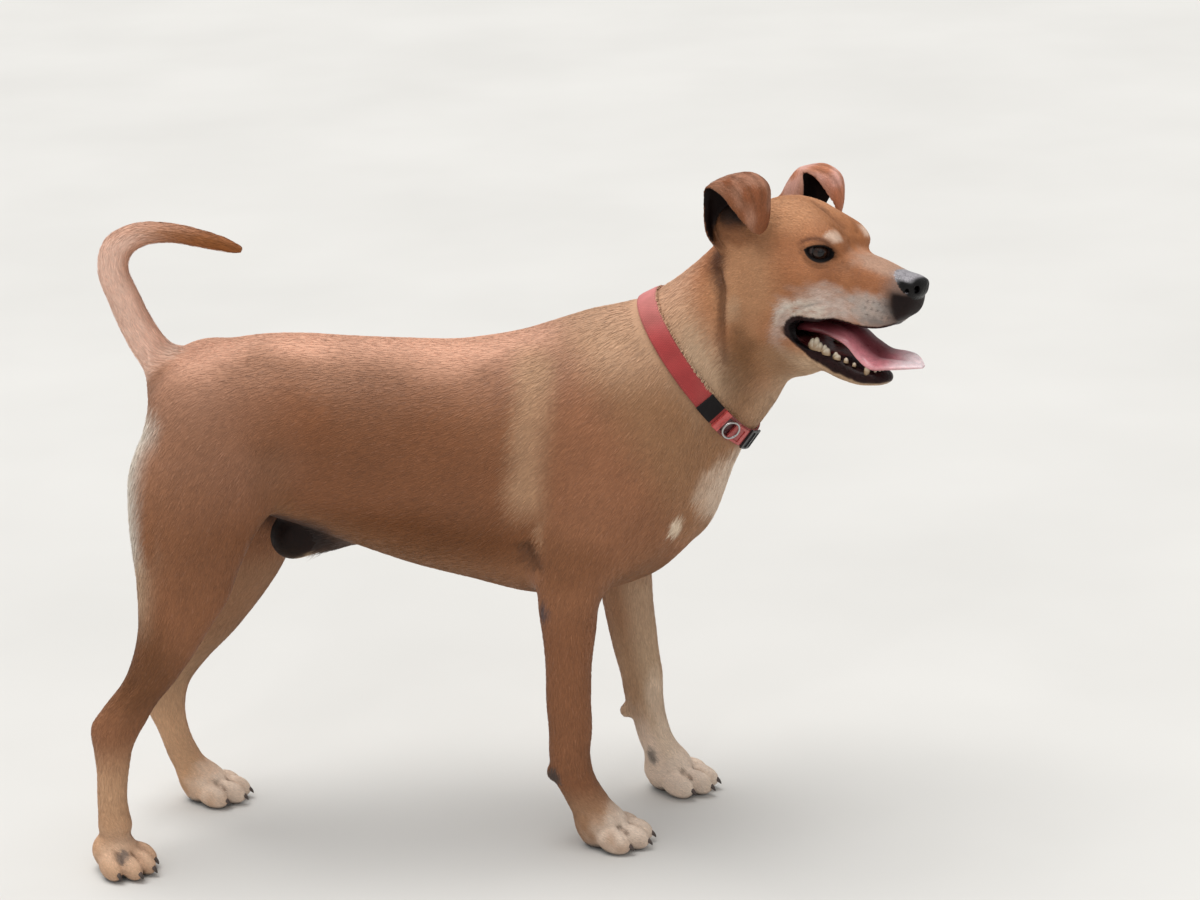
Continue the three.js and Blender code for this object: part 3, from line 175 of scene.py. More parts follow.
sweep("hind_left", DOWN, [
    [-178, 50, 505, 34, 58, 60], [-176, 57, 450, 38, 80, 78], [-168, 62, 405, 37, 82, 80], [-158, 67, 362, 34, 64, 72],
    [-157, 72, 325, 31, 54, 66], [-167, 77, 290, 28, 49, 56], [-188, 82, 250, 25, 44, 48], [-218, 86, 208, 22, 39, 40],
    [-247, 89, 173, 20, 33, 38], [-265, 91, 146, 19, 30, 32], [-266, 92, 118, 18, 23, 24], [-259, 92, 88, 17, 18, 19],
    [-249, 93, 58, 17.5, 18, 20], [-240, 93, 36, 19, 20, 20]], k=24, cap=(40, 14))
PAWS = {"fore_right": ((226, -69), -12, 1.0), "fore_left": ((304, 78), -20, 1.0),
        "hind_right": ((-305, -91), -42, 0.94), "hind_left": ((-225, 92), -12, 0.94)}
TOES = ((14, -25, -9), (31, -9.5, -3), (31, 9.5, 3), (14, 25, 9))


def paw_place(leg, p):
    (ox, oy), hd, sc = PAWS[leg]
    a = math.radians(hd)
    p = np.asarray(p, float)
    return np.stack([ox + sc * (p[..., 0] * math.cos(a) - p[..., 1] * math.sin(a)),
                     oy + sc * (p[..., 0] * math.sin(a) + p[..., 1] * math.cos(a)), sc * p[..., 2]], -1)


for leg, (_, hd, sc) in PAWS.items():
    ell(leg + "_pawbody", paw_place(leg, (-4, 0, 22)), (30 * sc, 26 * sc, 24 * sc), rot=(hd, 10, 0), k=14)
    for i, (x, y, sp) in enumerate(TOES):
        ell(leg + "_toe", paw_place(leg, (x, y, 14)), (20 * sc, 10.5 * sc, 14.5 * sc), rot=(hd + sp, 14, 0), k=5)
    ell(leg + "_pad", paw_place(leg, (-6, 0, 9)), (20 * sc, 18 * sc, 12 * sc), rot=(hd, 0, 0), k=6)
ell("pad_of_wrist", (171, -77, 90), (8, 8, 9), k=8)
ell("pad_of_wrist", (253, 74, 98), (8, 8, 9), k=8)
loft("tail", [
    [-200, 0, 522, 26, 26, 28], [-226, 0, 545, 22, 22, 23], [-242, 0, 566, 19.5, 21, 21], [-255, 0, 592, 18, 19.5, 20],
    [-265, 0, 620, 17.5, 19, 19], [-274, 0, 648, 17, 18, 18.5], [-268, 0, 674, 16, 17.5, 19], [-243, 0, 688, 14.5, 14.5, 15.5],
    [-209, 0, 688, 12.5, 12.5, 12.5], [-180, 0, 681, 11, 11.5, 12], [-160, 0, 675.5, 10, 10, 10.5], [-146, 0, 670, 8, 8, 8.4],
    [-138, 0, 667.5, 6, 6, 6.2]], k=22, cap=(10, 6))
ell("sheath", (-64, 6, 348), (52, 19, 25), rot=(0, -12, 0), k=16)
ell("scrotum", (-102, 4, 345), (27, 22, 29), rot=(0, 20, 0), k=12)
# head, in its own axes
ell("cranium", (-52, 0, -1), (66, 48, 46), k=26, fr="h")
for s in (-1, 1):
    ell("brow", (-7, s * 22, 8), (26, 18, 18.5), k=18, fr="h")
    ell("cheek", (-36, s * 38, -24), (44, 21, 24), k=16, fr="h")
    ell("masseter", (-66, s * 34, -54), (40, 25, 48), k=18, fr="h")
    ell("buccal", (-14, s * 31, -46), (36, 17, 32), k=16, fr="h")
    ell("maxilla", (10, s * 22, -22), (34, 16, 20), k=12, fr="h")
    ell("earbase", (-98, s * 44, 6), (30, 20, 26), k=14, fr="h")
sweep("muzzle", X, [
    [-22, 0, -26, 42, 26, 50], [8, 0, -28, 36, 32, 45], [32, 0, -30, 31, 34, 43], [56, 0, -31, 28, 33, 42],
    [76, 0, -29, 26, 27, 36], [90, 0, -26, 23.5, 20, 27], [99, 0, -26, 19.5, 14, 20]], k=10, e=2.6, cap=(20, 7), fr="h")
sweep("nosepad", X, [
    [78, 0, -11, 13, 7, 8], [90, 0, -12, 17, 9, 10], [98, 0, -13, 17.5, 9.5, 11], [104, 0, -13.5, 15.5, 9, 11]],
    k=3, e=2.5, cap=(8, 7), fr="h")
ell("throatfill", (-60, 0, -100), (54, 38, 50), k=20, fr="h")
sweep("jaw", X, [
    [-60, 0, -104, 36, 22, 34], [-25, 0, -108, 31, 18, 32], [5, 0, -112, 27, 17, 17], [30, 0, -118, 24, 15, 14],
    [52, 0, -121, 21.5, 12, 11], [70, 0, -120, 18, 10, 8]], k=12, e=2.3, cap=(20, 12), fr="h")
sweep("cavity", X, [[-40, 0, -90, 22, 10, 9], [-10, 0, -88, 25, 18, 13], [10, 0, -88, 24, 18, 12]],
      k=5, e=2.3, cap=(12, 12), op="cut", fr="h")
sweep("cleft", X, [
    [-18, 0, -87, 60, 12, 14], [-7, 0, -88, 60, 18, 16], [8, 0, -89, 60, 20, 13], [24, 0, -92, 60, 22, 10],
    [60, 0, -92, 60, 21, 14], [120, 0, -92, 60, 40, 16]], k=4, e=2.4, cap=(9, 30), op="cut", fr="h")
sweep("palate", X, [[-20, 0, -84, 20, 16, 12], [40, 0, -82, 19, 19, 14], [76, 0, -76, 16, 14, 14], [92, 0, -66, 11, 6, 12]],
      k=5, e=2.4, cap=(14, 6), op="cut", fr="h")
ell("furrow", (-16, 0, 46), (36, 4, 8), rot=(0, 22, 0), k=12, op="cut", fr="h")
for s in (-1, 1):
    ell("lids", (-6, s * 29, 2), (15.4, 15.4, 15), k=7, fr="h")
EAR = [
    [(-84, 38, 22), (-101, 35, 20), (-115, 42, 8), (-120, 53, -10), (-107, 60, -20)],
    [(-87, 41, 43), (-103, 42, 41), (-117, 50, 30), (-126, 62, 14), (-121, 70, 0)],
    [(-91, 45, 56), (-102, 49, 60), (-111, 56, 56), (-119, 64, 50), (-126, 74, 40)],
    [(-86, 47, 62), (-89, 53, 67), (-96, 61, 66), (-105, 69, 61), (-117, 79, 50)],
    [(-75, 50, 57), (-72, 56, 68), (-74, 64, 71), (-84, 73, 64), (-100, 79, 46)],
    [(-64, 53, 43), (-56, 58, 59), (-56, 66, 62), (-66, 74, 52), (-84, 79, 35)],
    [(-54, 57, 29), (-51, 61, 35), (-52, 67, 36), (-59, 73, 31), (-72, 77, 25)],
    [(-52, 60, 21), (-53, 63, 17), (-55, 68, 14), (-59, 73, 16), (-65, 76, 20)]]
EAR_FORWARD = [      # the left ear is turned further forward
    [(-84, 38, 22), (-101, 35, 20), (-114, 42, 8), (-110, 60, -8), (-90, 66, -12)],
    [(-87, 41, 43), (-102, 42, 40), (-115, 49, 30), (-112, 68, 16), (-90, 78, 8)],
    [(-92, 45, 54), (-101, 49, 56), (-109, 58, 50), (-108, 74, 42), (-86, 86, 24)],
    [(-88, 47, 58), (-90, 53, 62), (-95, 62, 61), (-99, 76, 54), (-84, 88, 34)],
    [(-77, 50, 54), (-74, 56, 63), (-76, 64, 66), (-84, 77, 56), (-82, 86, 40)],
    [(-64, 53, 42), (-57, 58, 56), (-57, 66, 58), (-66, 74, 49), (-76, 82, 33)],
    [(-54, 57, 29), (-51, 61, 35), (-52, 67, 36), (-59, 73, 31), (-69, 79, 25)],
    [(-52, 60, 21), (-53, 63, 17), (-55, 68, 14), (-59, 73, 16), (-65, 76, 20)]]
EAR_THICK = [8, 5.5, 4.6, 4.4, 4.2, 4.0, 3.8, 3.4]
sheet("ear_right", EAR, EAR_THICK, -1)
sheet("ear_left", EAR_FORWARD, EAR_THICK, 1)
# nostrils and the groove under the nose
for s in (-1, 1):
    ell("nostril", (104, s * 7.6, -14.5), (8.5, 3.5, 4.3), rot=(s * 26, 0, 0), k=2.2, op="cut", fr="h")
    ell("nostril_slit", (99.5, s * 14.6, -17.5), (6.5, 1.7, 2.2), rot=(s * 52, -12, 0), k=2.0, op="cut", fr="h")


def curve(st, m):
    """Points on a smooth curve through the given ones, m to a step."""
    st = np.array(st, float)
    ext = np.vstack([2 * st[0] - st[1], st, 2 * st[-1] - st[-2]])
    out = []
    for i in range(len(st) - 1):
        a, b, c, d = ext[i:i + 4]
        for j in range(m):
            t = j / m
            out.append(0.5 * ((2 * b) + (-a + c) * t + (2 * a - 5 * b + 4 * c - d) * t * t + (-a + 3 * b - 3 * c + d) * t ** 3))
    out.append(st[-1])
    return np.array(out)


def prepared(b):
    b = dict(b)
    if b["t"] == "ell":
        M, c = rotm(*b["rot"]), np.array(b["c"], float)
        if b["fr"] == "h":
            c, M = HM @ c + HO, HM @ M
        b.update(C=c, M=M, R=np.array(b["r"], float))
        ext = np.abs(M) @ b["R"]
        b["lo"], b["hi"] = c - ext, c + ext
    elif b["t"] == "sheet":
        rows = np.array(b["rows"], float)
        rows[:, :, 1] *= b["mir"]
        g = np.array([curve(rows[:, j, :], 7) for j in range(rows.shape[1])]).transpose(1, 0, 2)
        g = np.array([curve(r, 8) for r in g])
        nu, nv = g.shape[:2]
        t = curve(np.array(b["th"], float)[:, None], 7)[:, 0]
        edge = np.abs(np.linspace(-1, 1, nv))
        half = (t[:, None] / 2) * (1 - 0.35 * smooth(0.85, 1.0, edge))[None]
        pts = from_head(g)
        quads = [(i * nv + j, i * nv + j + 1, (i + 1) * nv + j + 1, (i + 1) * nv + j) for i in range(nu - 1) for j in range(nv - 1)]
        flat = pts.reshape(-1, 3)
        b["tree"] = BVHTree.FromPolygons([tuple(p) for p in flat], quads)
        along = np.gradient(pts, axis=0)
        q = np.array(quads)
        b["half"] = half.reshape(-1)[q].mean(1)
        b["along"] = unit(along.reshape(-1, 3)[q].mean(1))
        b["row"] = (np.repeat(np.linspace(0, 1, nu), nv))[q].mean(1)
        b["col"] = (np.tile(np.linspace(-1, 1, nv), nu))[q].mean(1)
        b["lo"], b["hi"] = flat.min(0) - 4, flat.max(0) + 4
    elif b["t"] == "sweep":
        A, s0 = unit(b["ax"]), np.array(b["s0"], float)
        st = np.array(b["st"], float)
        C = st[:, :3]
        Sd = unit(s0 - (A @ s0) * A)
        U = np.cross(A, Sd)
        kn = C @ A
        col = np.column_stack([C @ Sd, C @ U, st[:, 3:6]])
        n = len(kn)
        D = np.zeros_like(col)
        for i in range(n):
            if i == 0:
                D[i] = (col[1] - col[0]) / (kn[1] - kn[0])
            elif i == n - 1:
                D[i] = (col[-1] - col[-2]) / (kn[-1] - kn[-2])
            else:
                h0, h1 = kn[i] - kn[i - 1], kn[i + 1] - kn[i]
                D[i] = ((col[i] - col[i - 1]) / h0 * h1 + (col[i + 1] - col[i]) / h1 * h0) / (h0 + h1)
        M, O = (HM, HO) if b["fr"] == "h" else (np.eye(3), np.zeros(3))
        b.update(A=A, Sd=Sd, U=U, kn=kn, col=col, D=D, M=M, O=O)
        pts = []
        for r in st:
            for a1 in (-1, 1):
                for a2 in (-1, 1):
                    for cp in (-1, 1):
                        pts.append(r[:3] + a1 * r[3] * Sd + (U * r[4] if a2 > 0 else -U * r[5]) + cp * A * max(b["cap"]))
        pts = np.array(pts) @ M.T + O
        b["lo"], b["hi"] = pts.min(0), pts.max(0)
    else:
        S = curve(b["st"], 4)
        C = S[:, :3]
        T = unit(np.gradient(C, axis=0))
        s0 = np.array(b["s0"], float)
        Sd = unit(s0 - (T @ s0)[:, None] * T)
        b.update(C=C, T=T, S=Sd, U=np.cross(T, Sd), rad=S[:, 3:6])
        m = max(S[:, 3:6].max(), max(b["cap"]))
        b["lo"], b["hi"] = C.min(0) - m, C.max(0) + m
    return b


FORMS = [prepared(b) for b in FORMS]
NAMED = {}
for b in FORMS:
    NAMED.setdefault(b["name"], []).append(b)


def d_ell(b, P):
    q = ((P - b["C"]) @ b["M"]) / b["R"]
    k0 = np.sqrt((q * q).sum(1))
    k1 = np.sqrt(((q / b["R"]) ** 2).sum(1)) + 1e-9
    return np.where(k0 < 1e-6, -b["R"].min(), k0 * (k0 - 1) / k1)


def along_tail(b, P):
    C = b["C"]
    n = len(C)
    best, bi, bt = np.full(len(P), 1e18), np.zeros(len(P), int), np.zeros(len(P))
    for i in range(n - 1):
        D = C[i + 1] - C[i]
        t = np.clip(((P - C[i]) @ D) / (D @ D), 0, 1)
        r = P - C[i] - t[:, None] * D
        d2 = (r * r).sum(1)
        m = d2 < best
        best[m], bi[m], bt[m] = d2[m], i, t[m]
    return bi, bt


def d_loft(b, P):
    C, S, U, rad = b["C"], b["S"], b["U"], b["rad"]
    n = len(C)
    i, bt = along_tail(b, P)
    t = bt[:, None]
    c = lerp(C[i], C[i + 1], t)
    s, u = unit(lerp(S[i], S[i + 1], t)), unit(lerp(U[i], U[i + 1], t))
    R = lerp(rad[i], rad[i + 1], t)
    r = P - c
    ls, lu = (r * s).sum(1), (r * u).sum(1)
    w = np.sqrt(np.maximum((r * r).sum(1) - ls * ls - lu * lu, 0))
    start, end = (i == 0) & (bt <= 0), (i == n - 2) & (bt >= 1)
    cap = np.where(start, b["cap"][0], np.where(end, b["cap"][1], 1e9))
    w = np.where(start | end, w, 0)
    return shell(ls, lu, R[:, 0], np.where(lu > 0, R[:, 1], R[:, 2]), b["e"], w, cap)


def shell(ls, lu, a, h, e, w, cap, da=None):
    x, y = np.abs(ls) / a, np.abs(lu) / h
    rho = (x ** e + y ** e) ** (1 / e) + 1e-9
    xs, ys, r1 = x ** (e - 1), y ** (e - 1), rho ** (1 - e)
    g2 = (r1 * xs / a) ** 2 + (r1 * ys / h) ** 2
    if da is not None:
        dc, dd, dw, dh = da
        g2 = g2 + (r1 * (xs * (-np.sign(ls) * dc - x * dw) / a + ys * (-np.sign(lu) * dd - y * dh) / h)) ** 2
    g = np.sqrt(g2) + 1e-9
    q = np.sqrt(rho ** 2 + (w / cap) ** 2)
    gq = np.sqrt((rho * g) ** 2 + (w / cap ** 2) ** 2) / q
    return (q - 1) / np.maximum(gq, 1e-4)


def stations(b, L):
    """The section's values and their slopes at points given in the shape's own axes."""
    kn, col, D = b["kn"], b["col"], b["D"]
    s = L @ b["A"]
    sc = np.clip(s, kn[0], kn[-1])
    i = np.clip(np.searchsorted(kn, sc) - 1, 0, len(kn) - 2)
    h = kn[i + 1] - kn[i]
    t = ((sc - kn[i]) / h)[:, None]
    hh = h[:, None]
    v = (2 * t ** 3 - 3 * t ** 2 + 1) * col[i] + (t ** 3 - 2 * t ** 2 + t) * hh * D[i] + (-2 * t ** 3 + 3 * t ** 2) * col[i + 1] + (t ** 3 - t ** 2) * hh * D[i + 1]
    dv = (6 * t ** 2 - 6 * t) * col[i] / hh + (3 * t ** 2 - 4 * t + 1) * D[i] + (-6 * t ** 2 + 6 * t) * col[i + 1] / hh + (3 * t ** 2 - 2 * t) * D[i + 1]
    wo = np.minimum(s - kn[0], 0) + np.maximum(s - kn[-1], 0)
    ex = np.exp(-np.abs(wo) / 12.0)[:, None]
    v = v + dv * (np.sign(wo)[:, None] * 12.0 * (1 - ex))
    v[:, 2:] = np.maximum(v[:, 2:], 2.0)
    return s, v, dv * ex


def d_sweep(b, P):
    L = (P - b["O"]) @ b["M"]
    s, v, dv = stations(b, L)
    kn = b["kn"]
    ls, lu = L @ b["Sd"] - v[:, 0], L @ b["U"] - v[:, 1]
    pos = lu > 0
    h, dh = np.where(pos, v[:, 3], v[:, 4]), np.where(pos, dv[:, 3], dv[:, 4])
    w = np.where(s < kn[0], kn[0] - s, np.where(s > kn[-1], s - kn[-1], 0))
    cap = np.where(s < kn[0], b["cap"][0], b["cap"][1])
    return shell(ls, lu, v[:, 2], h, b["e"], w, cap, (dv[:, 0], dv[:, 1], dv[:, 2], dh))


def on_sheet(b, P):
    """Nearest place on an ear: its distance, face and side."""
    d, i, side = np.empty(len(P)), np.empty(len(P), int), np.empty(len(P))
    find = b["tree"].find_nearest
    for n, p in enumerate(P):
        co, no, k, dist = find(p)
        d[n], i[n] = dist, k
        side[n] = (p[0] - co[0]) * no[0] + (p[1] - co[1]) * no[1] + (p[2] - co[2]) * no[2]
    return d, i, side


def d_sheet(b, P):
    d, i, _ = on_sheet(b, P)
    return d - b["half"][i]


DIST = {"ell": d_ell, "loft": d_loft, "sweep": d_sweep, "sheet": d_sheet}
FAR = 400.0


def smin(a, b, k):
    if k <= 0:
        return np.minimum(a, b)
    h = np.maximum(k - np.abs(a - b), 0) / k
    return np.minimum(a, b) - h * h * k * 0.25


def near(b, P, mg):
    return np.nonzero(((P > b["lo"] - mg) & (P < b["hi"] + mg)).all(1))[0]


def form(P, forms=None):
    """Distance to the tips of the coat, negative inside."""
    F = np.full(len(P), FAR)
    for b in (FORMS if forms is None else forms):
        idx = near(b, P, max(b["k"], 4) + 30)
        if not len(idx):
            continue
        d = DIST[b["t"]](b, P[idx])
        F[idx] = smin(F[idx], d, b["k"]) if b["op"] == "add" else -smin(-F[idx], d, b["k"])
    return F


def distance(names, P, far=60.0):
    """Distance to the nearest of the shapes with these names, capped."""
    D = np.full(len(P), far)
    for n in names:
        for b in NAMED[n]:
            idx = near(b, P, far)
            if len(idx):
                D[idx] = np.minimum(D[idx], DIST[b["t"]](b, P[idx]))
    return D


HEAD_C = from_head((-10, 0, -20))
MOUTH = ("cavity", "cleft", "palate")


def eye_frame(s):
    """The eye's centre and its axes: out through the middle of the lids, towards the ear, up."""
    a = math.radians(47)
    g = np.array([math.cos(a), s * math.sin(a), 0.0])
    side = np.array([-math.sin(a), s * math.cos(a), 0.0])
    up = np.array([0, 0, 1.0])
    t = math.radians(-5)        # the outer corner a little higher
    side, up = side * math.cos(t) - up * math.sin(t), side * math.sin(t) + up * math.cos(t)
    return np.array([EYE[0], s * EYE[1], EYE[2]]), g, side, up


def lids(P, s):
    """Opening between the lids, an almond on the eyeball: negative inside, in mm at the lid."""
    c, g, side, up = eye_frame(s)
    q = to_head(P) - c
    r = np.linalg.norm(q, axis=1) + 1e-9
    x, y, z = q @ g, q @ side, q @ up
    az = np.arctan2(y, x)
    el = np.arctan2(z, np.hypot(x, y))
    a = az / math.radians(60)
    inside = np.clip(1 - a * a, 0, 1)
    top = math.radians(30) * inside ** 0.62 * (1 - 0.16 * a) + math.radians(1)
    bottom = -math.radians(27) * inside ** 0.8 * (1 + 0.10 * a) + math.radians(1)
    d = np.maximum(el - top, bottom - el)
    d = np.where(np.abs(a) > 1, np.hypot(np.maximum(np.abs(a) - 1, 0) * math.radians(60), el - math.radians(1)), d)
    return d * np.minimum(r, 22), r


def coat_depth(P):
    """How far the skin lies inside the tips of the coat."""
    L = to_head(P)
    r = np.linalg.norm(P - HEAD_C, axis=1)
    d = np.full(len(P), 2.4)
    d = lerp(d, 1.3, smooth(240, 190, P[:, 2]))                      # legs
    d = lerp(d, 0.8, smooth(70, 55, P[:, 2]))                        # paws
    h = r < 190
    if h.any():
        Lh = L[h]
        dh = lerp(0.8, d[h], smooth(125, 165, r[h]))
        ear = smooth(-38, -50, Lh[:, 0]) * smooth(20, 32, Lh[:, 2] + 0.6 * np.abs(Lh[:, 1]) - 10) * smooth(32, 44, np.abs(Lh[:, 1]))
        dh = lerp(dh, 0.35, ear)
        m = distance(MOUTH, P[h], 20)
        dh = dh * smooth(0.5, 7, m)
        n = distance(("nosepad",), P[h], 20)
        dh = dh * smooth(0.5, 5, n)
        c = np.array([EYE[0], EYE[1], EYE[2]])
        e = np.linalg.norm(np.column_stack([Lh[:, 0], np.abs(Lh[:, 1]), Lh[:, 2]]) - c, axis=1)
        dh = lerp(0.25, dh, smooth(18, 27, e))
        d[h] = dh
    return d


def skin(P, coat=True):
    """The skin's own surface, under the coat, with the lids open over the eyes."""
    F = form(P)
    if coat:
        F = F + coat_depth(P)
    F = np.maximum(F, 0.25 - P[:, 2])
    for s in (-1, 1):
        c = from_head((EYE[0], s * EYE[1], EYE[2]))
        idx = np.nonzero(np.abs(P - c).max(1) < 34)[0]
        if len(idx):
            d, r = lids(P[idx], s)
            f = F[idx]
            f = -smin(-f, r - (EYE_R + 0.12), 0.4)
            d = np.maximum(d, 6.0 - r)
            f = -smin(-f, d, 1.6)
            F[idx] = f
    return F

# =====================================================================================================
# One closed mesh of the skin: small cells at the head, larger ones away from it.
# =====================================================================================================
CELL, NEAR, FINE = ((5.4, 152.0, 0.36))
GRID_C = from_head((-30, 0, -8))


def out_of_grid(q):
    rho = np.linalg.norm(q, axis=1) + 1e-9
    r = np.where(rho < NEAR / FINE, FINE * rho, rho - (1 - FINE) * NEAR / FINE)
    return GRID_C + q * (r / rho)[:, None]


def into_grid(P):
    v = P - GRID_C
    r = np.linalg.norm(v, axis=1) + 1e-9
    rho = np.where(r < NEAR, r / FINE, r + (1 - FINE) * NEAR / FINE)
    return v * (rho / r)[:, None]


def cell_size(P):
    r = np.linalg.norm(P - GRID_C, axis=1)
    return CELL * np.where(r < NEAR * 1.05, FINE, 1.0)


def grid_of(fn, lo, hi):
    g = [np.linspace(a, b, 9) for a, b in zip(lo, hi)]
    B = np.stack(np.meshgrid(*g, indexing="ij"), -1).reshape(-1, 3)
    Q = into_grid(B)
    qlo, qhi = Q.min(0) - 2 * CELL, Q.max(0) + 2 * CELL
    cb = 4
    nb = np.ceil((qhi - qlo) / CELL / cb).astype(int) + 1
    ax = [qlo[i] + CELL * (cb * np.arange(nb[i]) + (cb - 1) / 2) for i in range(3)]
    G = out_of_grid(np.stack(np.meshgrid(*ax, indexing="ij"), -1).reshape(-1, 3))
    Fc = fn(G)
    close = np.abs(Fc) < cell_size(G) * 5.2
    F = np.where(np.repeat(np.repeat(np.repeat(Fc.reshape(nb), cb, 0), cb, 1), cb, 2) > 0, FAR, -FAR).astype(np.float32)
    bi = np.argwhere(close.reshape(nb))
    off = np.stack(np.meshgrid(*[np.arange(cb)] * 3, indexing="ij"), -1).reshape(-1, 3)
    I = (bi[:, None, :] * cb + off[None]).reshape(-1, 3)
    F[I[:, 0], I[:, 1], I[:, 2]] = fn(out_of_grid(qlo + I * CELL))
    for _ in range(6):      # no two solids may meet at an edge only
        bad = 0
        s = F < 0
        for a in range(3):
            o1, o2 = [i for i in range(3) if i != a]
            def cut(d1, d2):
                sl = [slice(None)] * 3
                sl[o1] = slice(1, None) if d1 else slice(None, -1)
                sl[o2] = slice(1, None) if d2 else slice(None, -1)
                return tuple(sl)
            p00, p10, p01, p11 = (s[cut(*d)] for d in ((0, 0), (1, 0), (0, 1), (1, 1)))
            x1 = p00 & p11 & ~p10 & ~p01
            x2 = p10 & p01 & ~p00 & ~p11
            bad += int(x1.sum() + x2.sum())
            for m, d in ((x1, (1, 0)), (x2, (0, 0))):
                if m.any():
                    v = F[cut(*d)]
                    v[m] = -0.05
        if not bad:
            break
    return qlo, F


def surface_of(qlo, F):
    s = F < 0
    nx, ny, nz = F.shape
    c = np.zeros((nx - 1, ny - 1, nz - 1), np.uint8)
    for dx in (0, 1):
        for dy in (0, 1):
            for dz in (0, 1):
                c += s[dx:nx - 1 + dx, dy:ny - 1 + dy, dz:nz - 1 + dz]
    act = (c > 0) & (c < 8)
    idx = np.full(act.shape, -1, np.int64)
    cells = np.argwhere(act)
    idx[tuple(cells.T)] = np.arange(len(cells))
    acc, cnt = np.zeros((len(cells), 3)), np.zeros(len(cells))
    corners = [(x, y, z) for z in (0, 1) for y in (0, 1) for x in (0, 1)]
    for a in range(8):
        for b in range(a + 1, 8):
            ca, cb = np.array(corners[a]), np.array(corners[b])
            if np.abs(ca - cb).sum() != 1:
                continue
            fa = F[cells[:, 0] + ca[0], cells[:, 1] + ca[1], cells[:, 2] + ca[2]]
            fb = F[cells[:, 0] + cb[0], cells[:, 1] + cb[1], cells[:, 2] + cb[2]]
            m = (fa < 0) != (fb < 0)
            t = np.where(m, fa / np.where(m, fa - fb, 1), 0)
            acc[m] += ca + t[m, None] * (cb - ca)
            cnt[m] += 1
    V = out_of_grid(qlo + CELL * (cells + acc / cnt[:, None]))
    quads = []
    for ax in range(3):
        s0, s1 = [slice(None)] * 3, [slice(None)] * 3
        s0[ax], s1[ax] = slice(0, -1), slice(1, None)
        a, b = s[tuple(s0)], s[tuple(s1)]
        E = np.argwhere(a != b)
        o1, o2 = (ax + 1) % 3, (ax + 2) % 3
        E = E[(E[:, o1] > 0) & (E[:, o2] > 0) & (E[:, o1] < F.shape[o1] - 1) & (E[:, o2] < F.shape[o2] - 1)]
        e1, e2 = np.zeros(3, int), np.zeros(3, int)
        e1[o1] = e2[o2] = 1
        q = np.stack([idx[tuple((E - e1 - e2).T)], idx[tuple((E - e2).T)], idx[tuple(E.T)], idx[tuple((E - e1).T)]], 1)
        inside = a[tuple(E.T)]
        q[~inside] = q[~inside][:, ::-1]
        quads.append(q)
    Q = np.vstack(quads)
    d1 = ((V[Q[:, 0]] - V[Q[:, 2]]) ** 2).sum(1) <= ((V[Q[:, 1]] - V[Q[:, 3]]) ** 2).sum(1)
    T = np.vstack([np.where(d1[:, None], Q[:, [0, 1, 2]], Q[:, [0, 1, 3]]), np.where(d1[:, None], Q[:, [0, 2, 3]], Q[:, [1, 2, 3]])])
    return V, T


TETRA = np.array([[1, -1, -1], [-1, -1, 1], [-1, 1, -1], [1, 1, 1]]) * 1.0


def slope(fn, P, e=0.35):
    """Value and gradient of a distance."""
    f = [fn(P + k * e) for k in TETRA]
    g = sum(fi[:, None] * k for fi, k in zip(f, TETRA)) / (4 * e)
    return sum(f) / 4, g


def projected(fn, P, level=0.0, times=2, most=6.0):
    for _ in range(times):
        f, g = slope(fn, P)
        n = np.linalg.norm(g, axis=1) + 1e-9
        P = P - np.clip((f - level) / np.maximum(n, 0.35), -most, most)[:, None] * g / n[:, None]
    return P


def split(V, T, need):
    """Splits each edge that is longer than wanted at its middle, once."""
    E = np.sort(np.vstack([T[:, [0, 1]], T[:, [1, 2]], T[:, [2, 0]]]), 1)
    _, first, inv = np.unique(E[:, 0] * len(V) + E[:, 1], return_index=True, return_inverse=True)
    U = E[first]
    mid = (V[U[:, 0]] + V[U[:, 1]]) / 2
    mark = np.linalg.norm(V[U[:, 0]] - V[U[:, 1]], axis=1) > need(mid)
    new = np.full(len(U), -1)
    new[mark] = len(V) + np.arange(mark.sum())
    e = inv.reshape(3, len(T)).T
    m = new[e]
    k = (m >= 0).sum(1)
    out = [T[k == 0]]
    for a in range(3):
        b, c = (a + 1) % 3, (a + 2) % 3
        r = (k == 1) & (m[:, a] >= 0)
        t, x = T[r], m[r]
        out += [np.column_stack([t[:, a], x[:, a], t[:, c]]), np.column_stack([x[:, a], t[:, b], t[:, c]])]
        r = (k == 2) & (m[:, a] < 0)
        t, x = T[r], m[r]
        out += [np.column_stack([x[:, b], t[:, c], x[:, c]]), np.column_stack([t[:, a], t[:, b], x[:, b]]), np.column_stack([t[:, a], x[:, b], x[:, c]])]
    r = k == 3
    t, x = T[r], m[r]
    out += [np.column_stack([t[:, 0], x[:, 0], x[:, 2]]), np.column_stack([x[:, 0], t[:, 1], x[:, 1]]), np.column_stack([x[:, 2], x[:, 1], t[:, 2]]), x]
    return np.vstack([V, mid[mark]]), np.vstack(out)


def face_normals(V, T):
    return np.cross(V[T[:, 1]] - V[T[:, 0]], V[T[:, 2]] - V[T[:, 0]])


def vertex_normals(V, T):
    n = face_normals(V, T)
    N = np.zeros_like(V)
    for a in range(3):
        for j in range(3):
            N[:, a] += np.bincount(T[:, j], n[:, a], len(V))
    return unit(N)


def relaxed(V, T, share=0.5):
    """Each point moves towards the middle of its neighbours, along the surface."""
    acc, cnt = np.zeros_like(V), np.zeros(len(V))
    for i, j in ((0, 1), (1, 2), (2, 0)):
        for a, b in ((i, j), (j, i)):
            for k in range(3):
                acc[:, k] += np.bincount(T[:, a], V[T[:, b], k], len(V))
            cnt += np.bincount(T[:, a], minlength=len(V))
    d = acc / cnt[:, None] - V
    N = vertex_normals(V, T)
    d -= (d * N).sum(1)[:, None] * N
    return V + share * d


